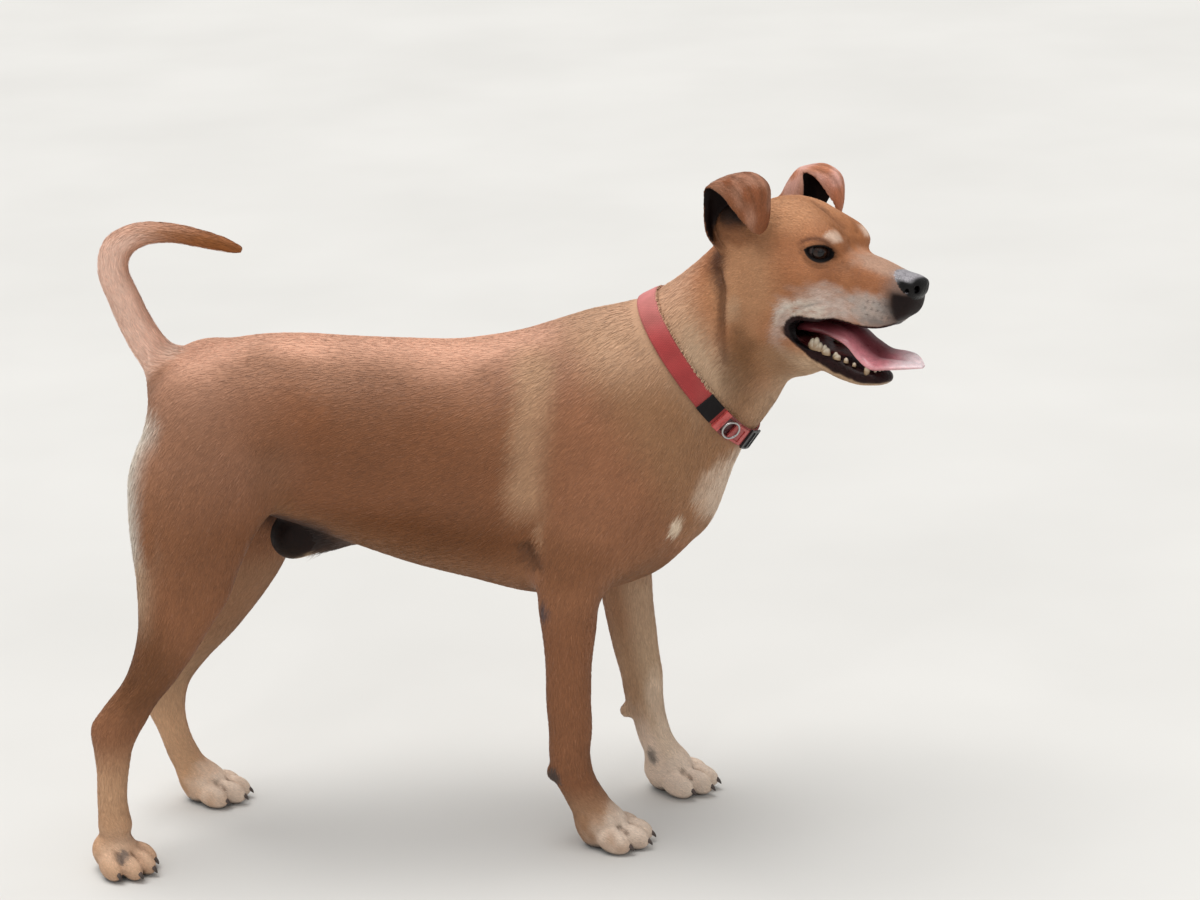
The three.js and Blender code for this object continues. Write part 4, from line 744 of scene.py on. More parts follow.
def wanted_edge(P):
    """Longest edge wanted at a point of the skin."""
    L = to_head(P)
    need = np.full(len(P), 7.5)
    foot = P[:, 2] < 52
    need[foot] = 3.2
    h = np.linalg.norm(P - HEAD_C, axis=1) < 150
    Lh = L[h]
    nh = np.full(h.sum(), 3.4)
    A = np.column_stack([Lh[:, 0], np.abs(Lh[:, 1]), Lh[:, 2]])
    e = np.linalg.norm(A - (2, 35, 2), axis=1)
    nh = np.minimum(nh, np.where(e < 18, 1.15, np.where(e < 24, 1.9, 9)))
    n = np.linalg.norm(A - (100, 7, -15), axis=1)
    nh = np.minimum(nh, np.where(n < 19, 1.5, 9))
    m = (np.linalg.norm(A - (20, 34, -78), axis=1) < 60) & (A[:, 1] > 14)
    nh[m] = np.minimum(nh[m], 2.3)
    need[h] = nh
    return need * 1.0


def log(*a):
    import time
    print("TIME %7.1f" % time.process_time(), *a, flush=True)


log("start skin")
box_lo, box_hi = (np.array(CAD_BOX[k]) * 1000 - OFF for k in (0, 1))
qlo, F = grid_of(skin, box_lo - 10, box_hi + 10)
V, T = surface_of(qlo, F)
log("net", len(V), len(T))
V = projected(skin, V, times=2)
for _ in range(3):
    n0 = len(V)
    V, T = split(V, T, wanted_edge)
    if len(V) == n0:
        break
    V[n0:] = projected(skin, V[n0:], times=2, most=2.0)
V = relaxed(V, T, 0.5)
V = projected(skin, V, times=1, most=2.0)
log("refined", len(V), len(T))
k = slice(None, None, max(1, len(T) // 3000))
if ((face_normals(V, T[k]) * slope(skin, V[T[k]].mean(1))[1]).sum(1) < 0).mean() > 0.5:
    T = T[:, ::-1].copy()
N = vertex_normals(V, T)
log("oriented")

# =====================================================================================================
# Folds, hollows and muscles, raised or sunk along the skin's own direction
# =====================================================================================================


def noise3(P, size, seed=0):
    """Smooth noise from 0 to 1, with lumps of the given size."""
    q = P / size + 37.0
    i = np.floor(q).astype(np.int64)
    f = q - i
    f = f * f * (3 - 2 * f)
    def h(a, b, c):
        n = (a * 73856093) ^ (b * 19349663) ^ (c * 83492791) ^ (seed * 2654435761)
        n = (n ^ (n >> 13)) * 1274126177
        return ((n ^ (n >> 16)) & 0xFFFF) / 65535.0
    x, y, z = i.T
    fx, fy, fz = f.T
    def row(dy, dz):
        return lerp(h(x, y + dy, z + dz), h(x + 1, y + dy, z + dz), fx)
    return lerp(lerp(row(0, 0), row(1, 0), fy), lerp(row(0, 1), row(1, 1), fy), fz)


def line_distance(P, pts, m=6):
    """Distance to a smooth curve, and the share of its length at the nearest point."""
    C = curve(pts, m)
    best, at = np.full(len(P), 1e9), np.zeros(len(P))
    n = len(C) - 1
    for i in range(n):
        D = C[i + 1] - C[i]
        t = np.clip(((P - C[i]) @ D) / (D @ D), 0, 1)
        d = np.linalg.norm(P - C[i] - t[:, None] * D, axis=1)
        w = d < best
        best[w], at[w] = d[w], (i + t[w]) / n
    return best, at


def both(L):
    """A point's place with its side folded to the left."""
    return np.column_stack([L[:, 0], np.abs(L[:, 1]), L[:, 2]])


EAR_SIGN = 1.0      # which face of an ear's sheet is its inside
# folds of the head, in the head's axes, left side: points, half width, height (a negative one is a groove)
FOLDS = [
    ([(20, 38, -39), (-8, 48, -51), (-31, 49, -68), (-39, 45, -90)], 3.0, 1.3),
    ([(18, 39, -45), (-7, 47, -57), (-27, 45, -73), (-34, 38, -95)], 1.5, -1.0),
    ([(14, 39, -50), (-8, 45, -61), (-23, 42, -76), (-29, 36, -93)], 2.4, 1.1),
    ([(10, 38, -56), (-8, 42, -66), (-19, 40, -78)], 1.3, -0.8),
    ([(26, 38, -33), (0, 50, -44), (-26, 53, -60), (-44, 49, -84)], 1.7, -0.9),
    ([(-112, 61, -34), (-103, 66, -42), (-95, 68, -54), (-92, 69, -76), (-89, 69, -98), (-87, 69, -114), (-82, 61, -142)], 4.2, -4.6),
    ([(-104, 64, -38), (-84, 70, -52), (-81, 72, -74), (-80, 70, -98)], 7.5, 2.0),
    ([(-11, 44, 9), (-2, 45, 15), (9, 40, 15), (18, 33, 9), (22, 29, 3)], 1.2, -0.85),
    ([(-12, 47, -3), (-2, 46, -11), (10, 40, -12), (20, 33, -7)], 1.3, -0.5),
    ([(22, 28, -1), (28, 25, -7), (36, 25, -13)], 2.0, -0.9),
    ([(-44, 0, 44), (-24, 0, 37), (-6, 0, 29), (10, 0, 19)], 3.4, -2.0),
    ([(-30, 12, 36), (-14, 13, 30), (0, 14, 23)], 3.0, 0.7),
    ([(-4, 19, 28), (6, 15, 23), (13, 9, 17)], 2.4, -1.1),
    ([(-16, 30, 24), (-4, 30, 23), (8, 26, 18)], 2.2, 0.8),
    ([(106, 0, -14), (104, 0, -24), (97, 0, -38), (93, 0, -52)], 1.2, -1.5),
    ([(82, 21, -11), (86, 19, -19), (92, 16, -24), (100, 8, -24), (104, 0, -25)], 1.1, -0.9),
    ([(60, 24, -8), (74, 20, -6), (80, 18, -3)], 3.0, -0.5),
    ([(-60, 40, 26), (-38, 40, 22), (-16, 34, 20)], 9.0, -1.0),
    ([(-20, 30, -112), (5, 25, -123), (35, 21, -129), (62, 16, -130)], 2.0, -0.8),
]
# muscles and hollows of the body: points, half width, height; "m" on both sides, "r" right, "l" left
FORMS_BODY = [
    ("m", [(172, 92, 500), (176, 98, 452), (170, 98, 400), (163, 92, 350)], 10, -2.4),
    ("m", [(262, 92, 500), (276, 96, 462), (272, 96, 420), (246, 92, 384)], 9, -1.5),
    ("m", [(225, 90, 505), (238, 98, 462), (236, 98, 420), (216, 94, 380)], 16, 1.8),
    ("m", [(149, 90, 362), (156, 88, 342), (163, 88, 318)], 5.5, -6.0),
    ("m", [(140, 88, 352), (146, 88, 334), (150, 86, 318)], 7, 1.6),
    ("m", [(-108, 80, 486), (-108, 80, 445), (-110, 84, 400), (-100, 76, 368)], 15, -4.2),
    ("m", [(-196, 92, 440), (-206, 96, 396), (-214, 97, 352), (-216, 98, 318)], 10, 1.4),
    ("m", [(-150, 84, 445), (-160, 92, 400), (-176, 96, 352)], 9, -1.2),
    ("m", [(-222, 80, 440), (-238, 88, 392), (-242, 92, 342)], 8, -1.4),
    ("m", [(-160, 60, 540), (-176, 66, 520), (-182, 70, 496)], 14, 1.6),
    ("m", [(20, 88, 520), (10, 94, 470), (0, 92, 420)], 6, -0.5),
    ("m", [(50, 88, 520), (40, 95, 470), (30, 94, 415)], 6, -0.6),
    ("m", [(80, 90, 515), (70, 98, 465), (62, 97, 405)], 6, -0.7),
    ("m", [(110, 92, 505), (102, 99, 455), (94, 98, 395)], 6, -0.7),
    ("m", [(136, 92, 490), (130, 99, 440), (124, 97, 385)], 6, -0.6),
    ("m", [(300, 30, 500), (318, 46, 455), (322, 50, 410)], 9, -1.8),
    ("m", [(340, 20, 520), (346, 30, 470), (340, 34, 420)], 10, 1.5),
    ("r", [(205, -92, 262), (206, -94, 225), (203, -94, 190)], 5, 0.9),
    ("r", [(184, -94, 262), (184, -95, 220), (184, -94, 180)], 3.6, -1.0),
    ("l", [(270, 96, 262), (274, 98, 225), (276, 98, 190)], 5, 0.9),
    ("l", [(248, 94, 262), (252, 98, 220), (258, 98, 180)], 3.6, -1.0),
    ("r", [(-262, -100, 232), (-282, -98, 205), (-298, -98, 180), (-308, -98, 160)], 5.5, -2.8),
    ("r", [(-318, -88, 188), (-322, -88, 165), (-318, -88, 140)], 5, 1.4),
    ("l", [(-248, 100, 185), (-262, 104, 162), (-276, 105, 142)], 5, -1.6),
    ("r", [(-240, -100, 290), (-252, -104, 258), (-266, -104, 228)], 7, 1.3),
    ("l", [(-180, 104, 280), (-198, 108, 246), (-222, 110, 212)], 7, 1.3),
    ("r", [(-296, -105, 118), (-298, -106, 90), (-298, -106, 66)], 4, 0.8),
    ("r", [(-318, -88, 118), (-321, -88, 90), (-320, -88, 70)], 3, 0.7),
    ("r", [(212, -70, 300), (210, -52, 280)], 12, 0.8),
]


def ear_lines(row, col):
    """Curved wrinkles that run down the flap from the fold, 0 to 1."""
    out = np.zeros(len(row))
    for c0, bend, r0 in ((-0.62, 0.5, 0.42), (-0.25, 0.35, 0.38), (0.12, 0.2, 0.40), (0.48, -0.1, 0.36), (0.75, -0.3, 0.45)):
        out += np.exp(-((col - c0 - bend * (row - 0.6)) / 0.075) ** 2) * smooth(r0, r0 + 0.12, row) * smooth(0.92, 0.72, row)
    return out


def relief(P):
    out = np.zeros(len(P))
    for name in ("ear_right", "ear_left"):
        b = NAMED[name][0]
        i = near(b, P, 6)
        if len(i):
            d, k, side = on_sheet(b, P[i])
            outer = side * (1 if name == "ear_left" else -1) * EAR_SIGN < 0
            out[i] -= 0.75 * ear_lines(b["row"][k], b["col"][k]) * smooth(3, 1, d - b["half"][k]) * outer
    h = np.linalg.norm(P - HEAD_C, axis=1) < 185
    L = both(to_head(P[h]))
    o = np.zeros(h.sum())
    for pts, half, height in FOLDS:
        lo, hi = np.min(pts, 0) - 3 * half, np.max(pts, 0) + 3 * half
        i = np.nonzero(((L > lo) & (L < hi)).all(1))[0]
        if len(i):
            d, t = line_distance(L[i], pts)
            o[i] += height * np.exp(-(d / half) ** 2) * smooth(0, 0.16, t) * smooth(1, 0.84, t)
    out[h] += o
    for side, pts, half, height in FORMS_BODY:
        Q = both(P) if side == "m" else P
        lo, hi = np.min(pts, 0) - 3 * half, np.max(pts, 0) + 3 * half
        i = np.nonzero(((Q > lo) & (Q < hi)).all(1))[0]
        if len(i):
            d, t = line_distance(Q[i], pts, 4)
            out[i] += height * np.exp(-(d / half) ** 2) * smooth(0, 0.2, t) * smooth(1, 0.8, t)
    # creases between the toes
    foot = np.nonzero(P[:, 2] < 60)[0]
    for leg in PAWS:
        c = paw_place(leg, (8, 0, 10))
        i = foot[np.abs(P[foot] - c).max(1) < 62]
        for x in (-17, 0, 17):
            pts = paw_place(leg, np.array([(34 if x == 0 else 24, x, 20), (12, x * 0.92, 31), (-2, x * 0.8, 37)], float))
            d, t = line_distance(P[i], pts, 4)
            out[i] += -2.3 * np.exp(-(d / 2.3) ** 2) * smooth(1, 0.55, t)
    return out


V = V + relief(V)[:, None] * N
N = vertex_normals(V, T)
log("relief")

# =====================================================================================================
# Which way the coat lies
# =====================================================================================================
LIES = [  # place, radius, direction: where the lie differs from the limb's own
    ((238, 1, 455), 85, (-0.70, 0.0, -0.72)), ((190, 1, 350), 60, (-0.45, 0.0, -0.89)),
    ((-180, 1, 430), 80, (-0.55, 0.0, -0.84)), ((-140, 1, 520), 60, (-0.95, 0.0, -0.25)),
    ((360, 0, 430), 70, (-0.15, 0.0, -1.0)), ((320, 0, 340), 60, (-0.6, 0, -0.8)),
    ((0, 1, 360), 70, (-0.9, 0.0, -0.35)), ((-250, 0, 470), 45, (-0.2, 0, -1.0)),
]


def lie(P, N):
    """The direction in which the coat lies, along the skin."""
    acc = np.zeros_like(P)
    def give(i, w, d):
        acc[i] += w[:, None] * d
    names = ("trunk", "neck", "fore_right", "fore_left", "hind_right", "hind_left")
    for n in names:
        b = NAMED[n][0]
        i = near(b, P, 30)
        if not len(i):
            continue
        d = d_sweep(b, P[i])
        L = (P[i] - b["O"]) @ b["M"]
        _, _, dv = stations(b, L)
        dr = b["A"] + b["Sd"] * dv[:, :1] + b["U"] * dv[:, 1:2]
        dr = unit(dr) * (-1 if n in ("trunk", "neck") else 1)
        if n in ("trunk", "neck"):
            side = np.abs(N[i, 1])
            dr = unit(dr + np.column_stack([0 * side, 0 * side, -0.42 * side]))
        give(i, np.exp(-np.maximum(d, -12) / 7.0), dr)
    b = NAMED["tail"][0]
    i = near(b, P, 20)
    if len(i):
        k, t = along_tail(b, P[i])
        d = d_loft(b, P[i])
        give(i, 2.5 * np.exp(-np.maximum(d, -8) / 6.0), unit(lerp(b["T"][k], b["T"][k + 1], t[:, None])))
    for c, r, dr in LIES:
        q = np.column_stack([P[:, 0], np.abs(P[:, 1]), P[:, 2]])
        cc = np.array(c, float)
        cc[1] = 70 if cc[1] else 0
        w = np.exp(-(((q - cc) / r) ** 2).sum(1)) * 9
        give(slice(None), w, np.array(dr, float))
    for leg in PAWS:
        c = paw_place(leg, (0, 0, 15))
        w = np.exp(-(((P - c) / (46, 46, 30)) ** 2).sum(1)) * 30
        fw = paw_place(leg, (1, 0, 0)) - paw_place(leg, (0, 0, 0))
        give(slice(None), w, unit(fw * np.array([1, 1, 0]) + np.array([0, 0, -0.45])))
    r = np.linalg.norm(P - HEAD_C, axis=1)
    h = np.nonzero(r < 190)[0]
    if len(h):
        L = to_head(P[h])
        A = both(L)
        sy = np.sign(L[:, 1])
        d = np.column_stack([-np.ones(len(h)), sy * (0.30 * smooth(100, 20, L[:, 0])), -0.25 + 0 * sy])
        # over the crown the hair runs back, on the cheeks down and back, on the jaw back
        d[:, 2] += -0.55 * smooth(10, -40, L[:, 2]) * smooth(-10, -60, L[:, 0])
        e = A - EYE
        rad = np.linalg.norm(e, axis=1)
        away = unit(e) * np.column_stack([np.ones(len(h)), sy, np.ones(len(h))])
        d = unit(d) + away * (1.2 * np.exp(-(rad / 22) ** 2))[:, None]
        give(h, 40 * smooth(165, 120, r[h]), unit(d) @ HM.T)
        for name in ("ear_right", "ear_left"):
            b = NAMED[name][0]
            i = near(b, P, 7)
            if len(i):
                dd, k, _ = on_sheet(b, P[i])
                give(i, 400 * smooth(6, 2.5, dd - b["half"][k]), b["along"][k])
    acc = acc - (acc * N).sum(1)[:, None] * N
    return unit(acc)


# =====================================================================================================
# Markings, with painted light and shade: one function for the skin and for the coat
# =====================================================================================================
TAN = np.array([0.315, 0.134, 0.061])
PINK = np.array([0.580, 0.315, 0.212])
RUST = np.array([0.222, 0.080, 0.030])
DEEP = np.array([0.200, 0.076, 0.028])
FAWN = np.array([0.490, 0.292, 0.168])
PALE = np.array([0.620, 0.465, 0.315])
WHITE = np.array([0.760, 0.700, 0.610])
GREY = np.array([0.480, 0.425, 0.385])
SLATE = np.array([0.120, 0.105, 0.100])
BLACK = np.array([0.016, 0.013, 0.013])
LIP = np.array([0.022, 0.016, 0.017])
GUM = np.array([0.300, 0.085, 0.075])


def mix(c, t, w):
    return c + (np.asarray(t) - c) * np.clip(w, 0, 1)[:, None]


def blob(P, c, r, soft=0.35, rough=0.0, size=14.0, seed=3):
    d = np.sqrt((((P - np.array(c, float)) / np.array(r, float)) ** 2).sum(1))
    if rough:
        d = d + rough * (noise3(P, size, seed) - 0.5) * 2
    return smooth(1 + soft, 1 - soft, d)


def markings_and_painted_light(P, N):
    """Colour of the coat or bare skin, painted light and shade included, with how bare it is and which leather it is: 1
    nose, 2 lips and mouth.
    """
    n = len(P)
    y = np.abs(P[:, 1])
    Q = np.column_stack([P[:, 0], y, P[:, 2]])
    big, mid, fine = noise3(P, 90, 1), noise3(P, 30, 2), noise3(P, 9, 4)
    c = np.repeat(TAN[None], n, 0)
    # the back and the top of the rump and tail are painted paler pink where they face up: painted light; the flanks
    # ruddier, the lower legs duller
    top = smooth(0.60, 1.0, N[:, 2] + 0.16 * (mid - 0.5)) * smooth(430, 520, P[:, 2])
    c = mix(c, PINK * 1.22, 0.95 * top)
    c = mix(c, PINK * 0.74, 0.40 * smooth(480, 545, P[:, 2]) * (1 - top))
    c = mix(c, RUST, 0.70 * blob(Q, (0, 86, 425), (175, 60, 85), 0.5, 0.2, 60) * (1 - top))
    # painted shade: darker brown where the lower flank and chest face down
    c = mix(c, DEEP * (0.80, 0.66, 0.34), 0.85 * blob(Q, (30, 84, 362), (170, 60, 34), 0.6, 0.2, 40) * smooth(0.15, -0.35, N[:, 2]))
    # painted shade in the hollow of the flank before the thigh
    c = mix(c, DEEP * (1.0, 1.02, 0.88), 0.6 * blob(Q, (-112, 78, 440), (20, 40, 62), 0.6, 0.2, 24))
    c = mix(c, RUST * (1.3, 1.3, 1.3), 0.5 * blob(Q, (-100, 80, 505), (52, 40, 34), 0.6, 0.2, 30) * (1 - top))
    c = mix(c, PINK * 0.8, 0.30 * blob(Q, (-190, 60, 480), (95, 60, 80), 0.5, 0.2, 40))
    c = mix(c, RUST, 0.40 * blob(Q, (-190, 90, 330), (70, 60, 110), 0.6, 0.2, 40))
    c = mix(c, RUST * (0.66, 0.68, 0.56), 0.85 * blob(P, (-268, -90, 236), (40, 40, 66), 0.6, 0.2, 30))
    # a paler band behind the shoulder, the shoulder itself warm
    band = smooth(34, 6, np.abs(P[:, 0] - 160 - 0.10 * (P[:, 2] - 440) + 8 * (mid - 0.5))) * smooth(370, 420, P[:, 2]) * smooth(575, 540, P[:, 2])
    c = mix(c, FAWN * 1.14, 0.74 * band * smooth(0.1, 0.5, np.abs(N[:, 1])))
    c = mix(c, TAN * (1.16, 1.15, 1.22), 0.7 * blob(Q, (236, 90, 450), (60, 50, 100), 0.4))
    # neck: fawn, paler at the throat and front of the chest
    nkw = smooth(225, 300, P[:, 0] + 0.55 * (P[:, 2] - 480)) * smooth(330, 380, P[:, 2] + 0.3 * P[:, 0])
    r_head = np.linalg.norm(P - HEAD_C, axis=1)
    nkw = nkw * smooth(100, 135, r_head)
    c = mix(c, FAWN * (0.76, 0.66, 0.55), 0.80 * nkw)
    c = mix(c, FAWN * (1.16, 1.18, 1.26), 0.80 * nkw * smooth(500, 565, P[:, 2]))
    # painted light: pinker where the top of the neck faces up
    c = mix(c, PINK * 1.05, 0.45 * nkw * smooth(560, 640, P[:, 2]) * smooth(0.1, 0.7, N[:, 2]))
    c = mix(c, PALE, 0.45 * blob(P, (352, -70, 545), (34, 34, 52), 0.6, 0.2, 20) + 0.35 * blob(P, (368, 30, 500), (50, 60, 60), 0.6))
    throat = smooth(0.2, 0.8, N[:, 0] * 0.8 - N[:, 2] * 0.5) * smooth(300, 350, P[:, 0]) * smooth(440, 520, P[:, 2])
    c = mix(c, PALE, 0.45 * throat)
    # chest: white patch in front, low on the breast, a small pale spot at its side
    c = mix(c, WHITE * (0.96, 0.80, 0.70), 0.92 * blob(P, (374, -16, 396), (44, 58, 44), 0.30, 0.22, 14, 5))
    c = mix(c, WHITE * (1.10, 0.96, 0.86), 0.6 * blob(P, (380, -2, 398), (24, 30, 42), 0.5, 0.3, 12, 5))
    c = mix(c, FAWN * (0.80, 0.70, 0.62), 0.5 * blob(P, (338, -44, 346), (22, 30, 18), 0.4, 0.3, 12, 6))
    c = mix(c, WHITE * (1.12, 0.98, 0.84), 0.95 * blob(P, (315, -66, 361), (9, 14, 15), 0.3, 0.25, 6, 7))
    # painted shade: the belly darker where it faces down
    low = smooth(-0.25, -0.85, N[:, 2])
    belly_painted_shade = low * smooth(-190, -150, P[:, 0]) * smooth(330, 290, P[:, 0]) * smooth(250, 290, P[:, 2])
    c = mix(c, FAWN * (0.48, 0.36, 0.24), 0.8 * belly_painted_shade)
    # insides of the legs are paler, elbows and hocks darker
    inner = smooth(0.15, 0.75, -N[:, 1] * np.sign(P[:, 1])) * smooth(330, 280, P[:, 2])
    c = mix(c, PALE * (0.85, 0.78, 0.70), 0.55 * inner * (0.45 + 0.55 * smooth(230, 150, P[:, 2])))
    hindleg = smooth(-150, -190, P[:, 0])
    c = mix(c, RUST, 0.5 * smooth(330, 250, P[:, 2]) * (1 - hindleg) * (P[:, 1] < 0))
    c = mix(c, FAWN * 1.34, 0.84 * smooth(165, 95, P[:, 2]) * hindleg)
    c = mix(c, FAWN * 1.08, 0.62 * smooth(85, 45, P[:, 2]) * (1 - hindleg))
    c = mix(c, FAWN, 0.55 * smooth(230, 130, P[:, 2]) * (P[:, 1] > 0) * (1 - hindleg))
    rear = smooth(-0.35, -0.9, N[:, 0]) * smooth(-205, -240, P[:, 0]) * smooth(330, 370, P[:, 2]) * smooth(520, 490, P[:, 2])
    c = mix(c, WHITE, 0.9 * rear)
    c = mix(c, PALE, 0.5 * smooth(-0.2, -0.8, N[:, 0]) * smooth(-190, -225, P[:, 0]) * smooth(250, 330, P[:, 2]) * smooth(380, 340, P[:, 2]))
    # far forefoot and the toes white, the others pale at the toes
    lf = smooth(118, 62, P[:, 2] + 26 * (mid - 0.5) + 14 * (fine - 0.5) - 16 * smooth(0.0, 0.8, N[:, 0])) * (P[:, 0] > 240) * (P[:, 1] > 0)
    lfs = blob(P, (288, 62, 120), (12, 14, 34), 0.4, 0.3, 12, 9)
    c = mix(c, WHITE * (1.22, 1.06, 0.98), 0.90 * np.maximum(lf, 0.6 * lfs))
    c = mix(c, PALE, 0.45 * (P[:, 0] > 240) * (P[:, 1] > 0) * smooth(0.2, 0.9, N[:, 0] - 0.6 * N[:, 1]) * smooth(300, 240, P[:, 2]))
    for leg, amount in (("fore_right", 1.18), ("fore_left", 1.2), ("hind_right", 0.30), ("hind_left", 1.05)):
        w = blob(P, paw_place(leg, (22, 0, 16)), (40, 36, 34), 0.5, 0.25, 10, 10)
        c = mix(c, WHITE * (1.12, 1.0, 0.94), amount * 0.8 * w)
    # painted shade along the creases between the toes; the pads beneath are dark
    for leg in PAWS:       # dark between and under the toes
        for x in (-17, 0, 17):
            d, t = line_distance(P, paw_place(leg, np.array([(36 if x == 0 else 26, x, 10), (24, x, 24), (8, x * 0.9, 33)], float)), 3)
            c = mix(c, DEEP * 0.45, 0.8 * np.exp(-(d / 2.4) ** 2) * smooth(1.0, 0.7, t))
        w = blob(P, paw_place(leg, (5, 0, 2)), (42, 34, 9), 0.3) * smooth(-0.2, -0.8, N[:, 2])
        c = mix(c, SLATE * 0.6, w)
    c = mix(c, SLATE * 0.8, 0.75 * blob(P, (-297, -112, 24), (8, 10, 8), 0.4, 0.3, 5, 11))
    c = mix(c, SLATE * 1.1, 0.8 * blob(P, (276, 58, 47), (9, 8, 12), 0.4, 0.3, 6, 12))
    c = mix(c, SLATE * (0.62, 0.52, 0.62), 0.9 * blob(P, (164, -92, 282), (9, 9, 13), 0.4, 0.3, 6, 13))
    c = mix(c, DEEP * 1.05, 0.6 * blob(P, (196, -96, 335), (34, 20, 34), 0.5, 0.2, 20))
    # painted shade along the crease of the armpit
    d, t = line_distance(Q, [(148, 90, 366), (156, 88, 344), (160, 88, 322)], 3)
    c = mix(c, DEEP * (0.30, 0.32, 0.36), 0.97 * np.exp(-(d / 9.5) ** 2) * smooth(0, 0.3, t) * smooth(1.0, 0.8, t))
    d, t = line_distance(Q, [(172, 90, 396), (168, 90, 374), (167, 90, 352)], 3)
    c = mix(c, FAWN * 1.05, 0.55 * np.exp(-(d / 5.0) ** 2) * smooth(0, 0.3, t) * smooth(0.3, 0.6, noise3(P, 7, 44)))
    c = mix(c, SLATE * 1.4, 0.6 * blob(P, (222, 92, 284), (10, 8, 13), 0.4, 0.3, 6, 13))
    for p in ((171, -84, 90), (253, 80, 98)):
        c = mix(c, SLATE * 0.5, 0.85 * blob(P, p, (9, 9, 9), 0.25) * smooth(0.1, -0.5, N[:, 0]))
    bare = np.zeros(n)
    # sheath and scrotum with their dark skin; the wide dark groin around them is partly painted shade
    c = mix(c, (0.050, 0.020, 0.012), 0.9 * blob(Q, (-98, 16, 366), (74, 34, 30), 0.35, 0.15, 12))
    w = blob(P, (-104, 4, 346), (34, 30, 30), 0.25)
    c = mix(c, (0.007, 0.004, 0.003), 0.97 * w)
    bare = np.maximum(bare, 0.7 * w)
    c = mix(c, (0.013, 0.007, 0.006), 0.94 * blob(P, (-80, 6, 348), (56, 28, 28), 0.35, 0.2, 14))
    c = mix(c, (0.15, 0.10, 0.085), 0.8 * blob(P, (-30, 6, 350), (20, 24, 20), 0.5, 0.3, 9))
    c = mix(c, PALE * (1, 0.95, 0.9), 0.9 * blob(P, (-84, 6, 315), (20, 17, 11), 0.4, 0.3, 7))
    # tail: pink above, paler pink where it faces up and back with painted light; ruddy at the tip and beneath
    b = NAMED["tail"][0]
    i = near(b, P, 14)
    if len(i):
        k, t = along_tail(b, P[i])
        s = (k + t) / (len(b["C"]) - 1)
        on = smooth(8, 2, d_loft(b, P[i])) * smooth(0.03, 0.12, s)
        out = (unit(P[i] - lerp(b["C"][k], b["C"][k + 1], t[:, None])) * lerp(b["U"][k], b["U"][k + 1], t[:, None])).sum(1)
        col = mix(np.repeat(TAN[None] * 1.25, len(i), 0), PINK * 1.15, smooth(0.55, -0.3, out) * smooth(0.75, 0.45, s) * 0.9)
        col = mix(col, np.minimum(PINK * (1.66, 2.02, 2.35), 0.96), 0.95 * smooth(-0.5, 0.4, -0.6 * N[i, 0] + 0.6 * N[i, 2] + 0.5 * np.abs(N[i, 1])) * smooth(0.66, 0.50, s) * smooth(0.0, 0.16, s))
        col = mix(col, PINK * 1.1, 0.75 * smooth(0.0, 0.8, N[i, 2]))
        col = mix(col, RUST * (1.28, 1.10, 0.50), 0.88 * smooth(0.56, 0.80, s))
        col = mix(col, WHITE * 0.95, 0.75 * smooth(0.16, 0.02, s) * smooth(-0.2, -0.8, out))
        c[i] = c[i] + (col - c[i]) * on[:, None]
    leather = np.zeros(n)
    # ------------------------------------------------------------------ head
    h = np.nonzero(r_head < 200)[0]
    if len(h):
        Ph, Nh = P[h], N[h]
        L = to_head(Ph)
        A = both(L)
        Nl = Nh @ HM
        ch = np.repeat(TAN[None] * (1.42, 1.34, 1.22), len(h), 0)
        hb, hf = noise3(Ph, 16, 21), noise3(Ph, 5, 22)
        ch = mix(ch, RUST * (1.55, 1.65, 1.5), 0.65 * blob(A, (-2, 6, 30), (40, 20, 26), 0.6, 0.2, 12))     # forehead
        ch = mix(ch, FAWN * (1.36, 1.15, 1.0), 0.74 * blob(A, (-58, 30, 34), (44, 34, 22), 0.6))           # crown
        ch = mix(ch, FAWN * (1.12, 0.98, 0.86), 0.78 * blob(A, (-72, 62, -45), (40, 26, 60), 0.5, 0.15, 20)) # cheek
        ch = mix(ch, PALE, 0.30 * blob(A, (-80, 67, -72), (9, 12, 12), 0.8, 0.4, 6))
        ch = mix(ch, RUST * 1.3, 0.55 * blob(A, (18, 36, -16), (17, 14, 11), 0.5, 0.2, 9))                         # under the eye
        ch = mix(ch, DEEP, 0.55 * blob(A, (30, 28, -6), (13, 9, 6), 0.6, 0.2, 6))
        ch = mix(ch, RUST * 1.5, 0.55 * blob(A, (60, 24, -14), (24, 14, 11), 0.5, 0.2, 9))                   # muzzle side
        ch = mix(ch, GREY * (1.1, 0.92, 0.80), 0.55 * blob(A, (62, 8, 0), (40, 16, 10), 0.5, 0.2, 7))        # bridge
        flat = A * (1, 0, 1)
        d, t = line_distance(flat, [(2, 0, 21.5), (9, 0, 21.0), (14.5, 0, 17.5), (17, 0, 13)])
        ch = mix(ch, WHITE * (1.10, 0.92, 0.84), 0.74 * np.exp(-(d / (2.6 + 1.8 * hf)) ** 2) * smooth(15, 22, A[:, 1]) * smooth(0, 0.15, t) * smooth(1, 0.7, t))    # spot over the eye
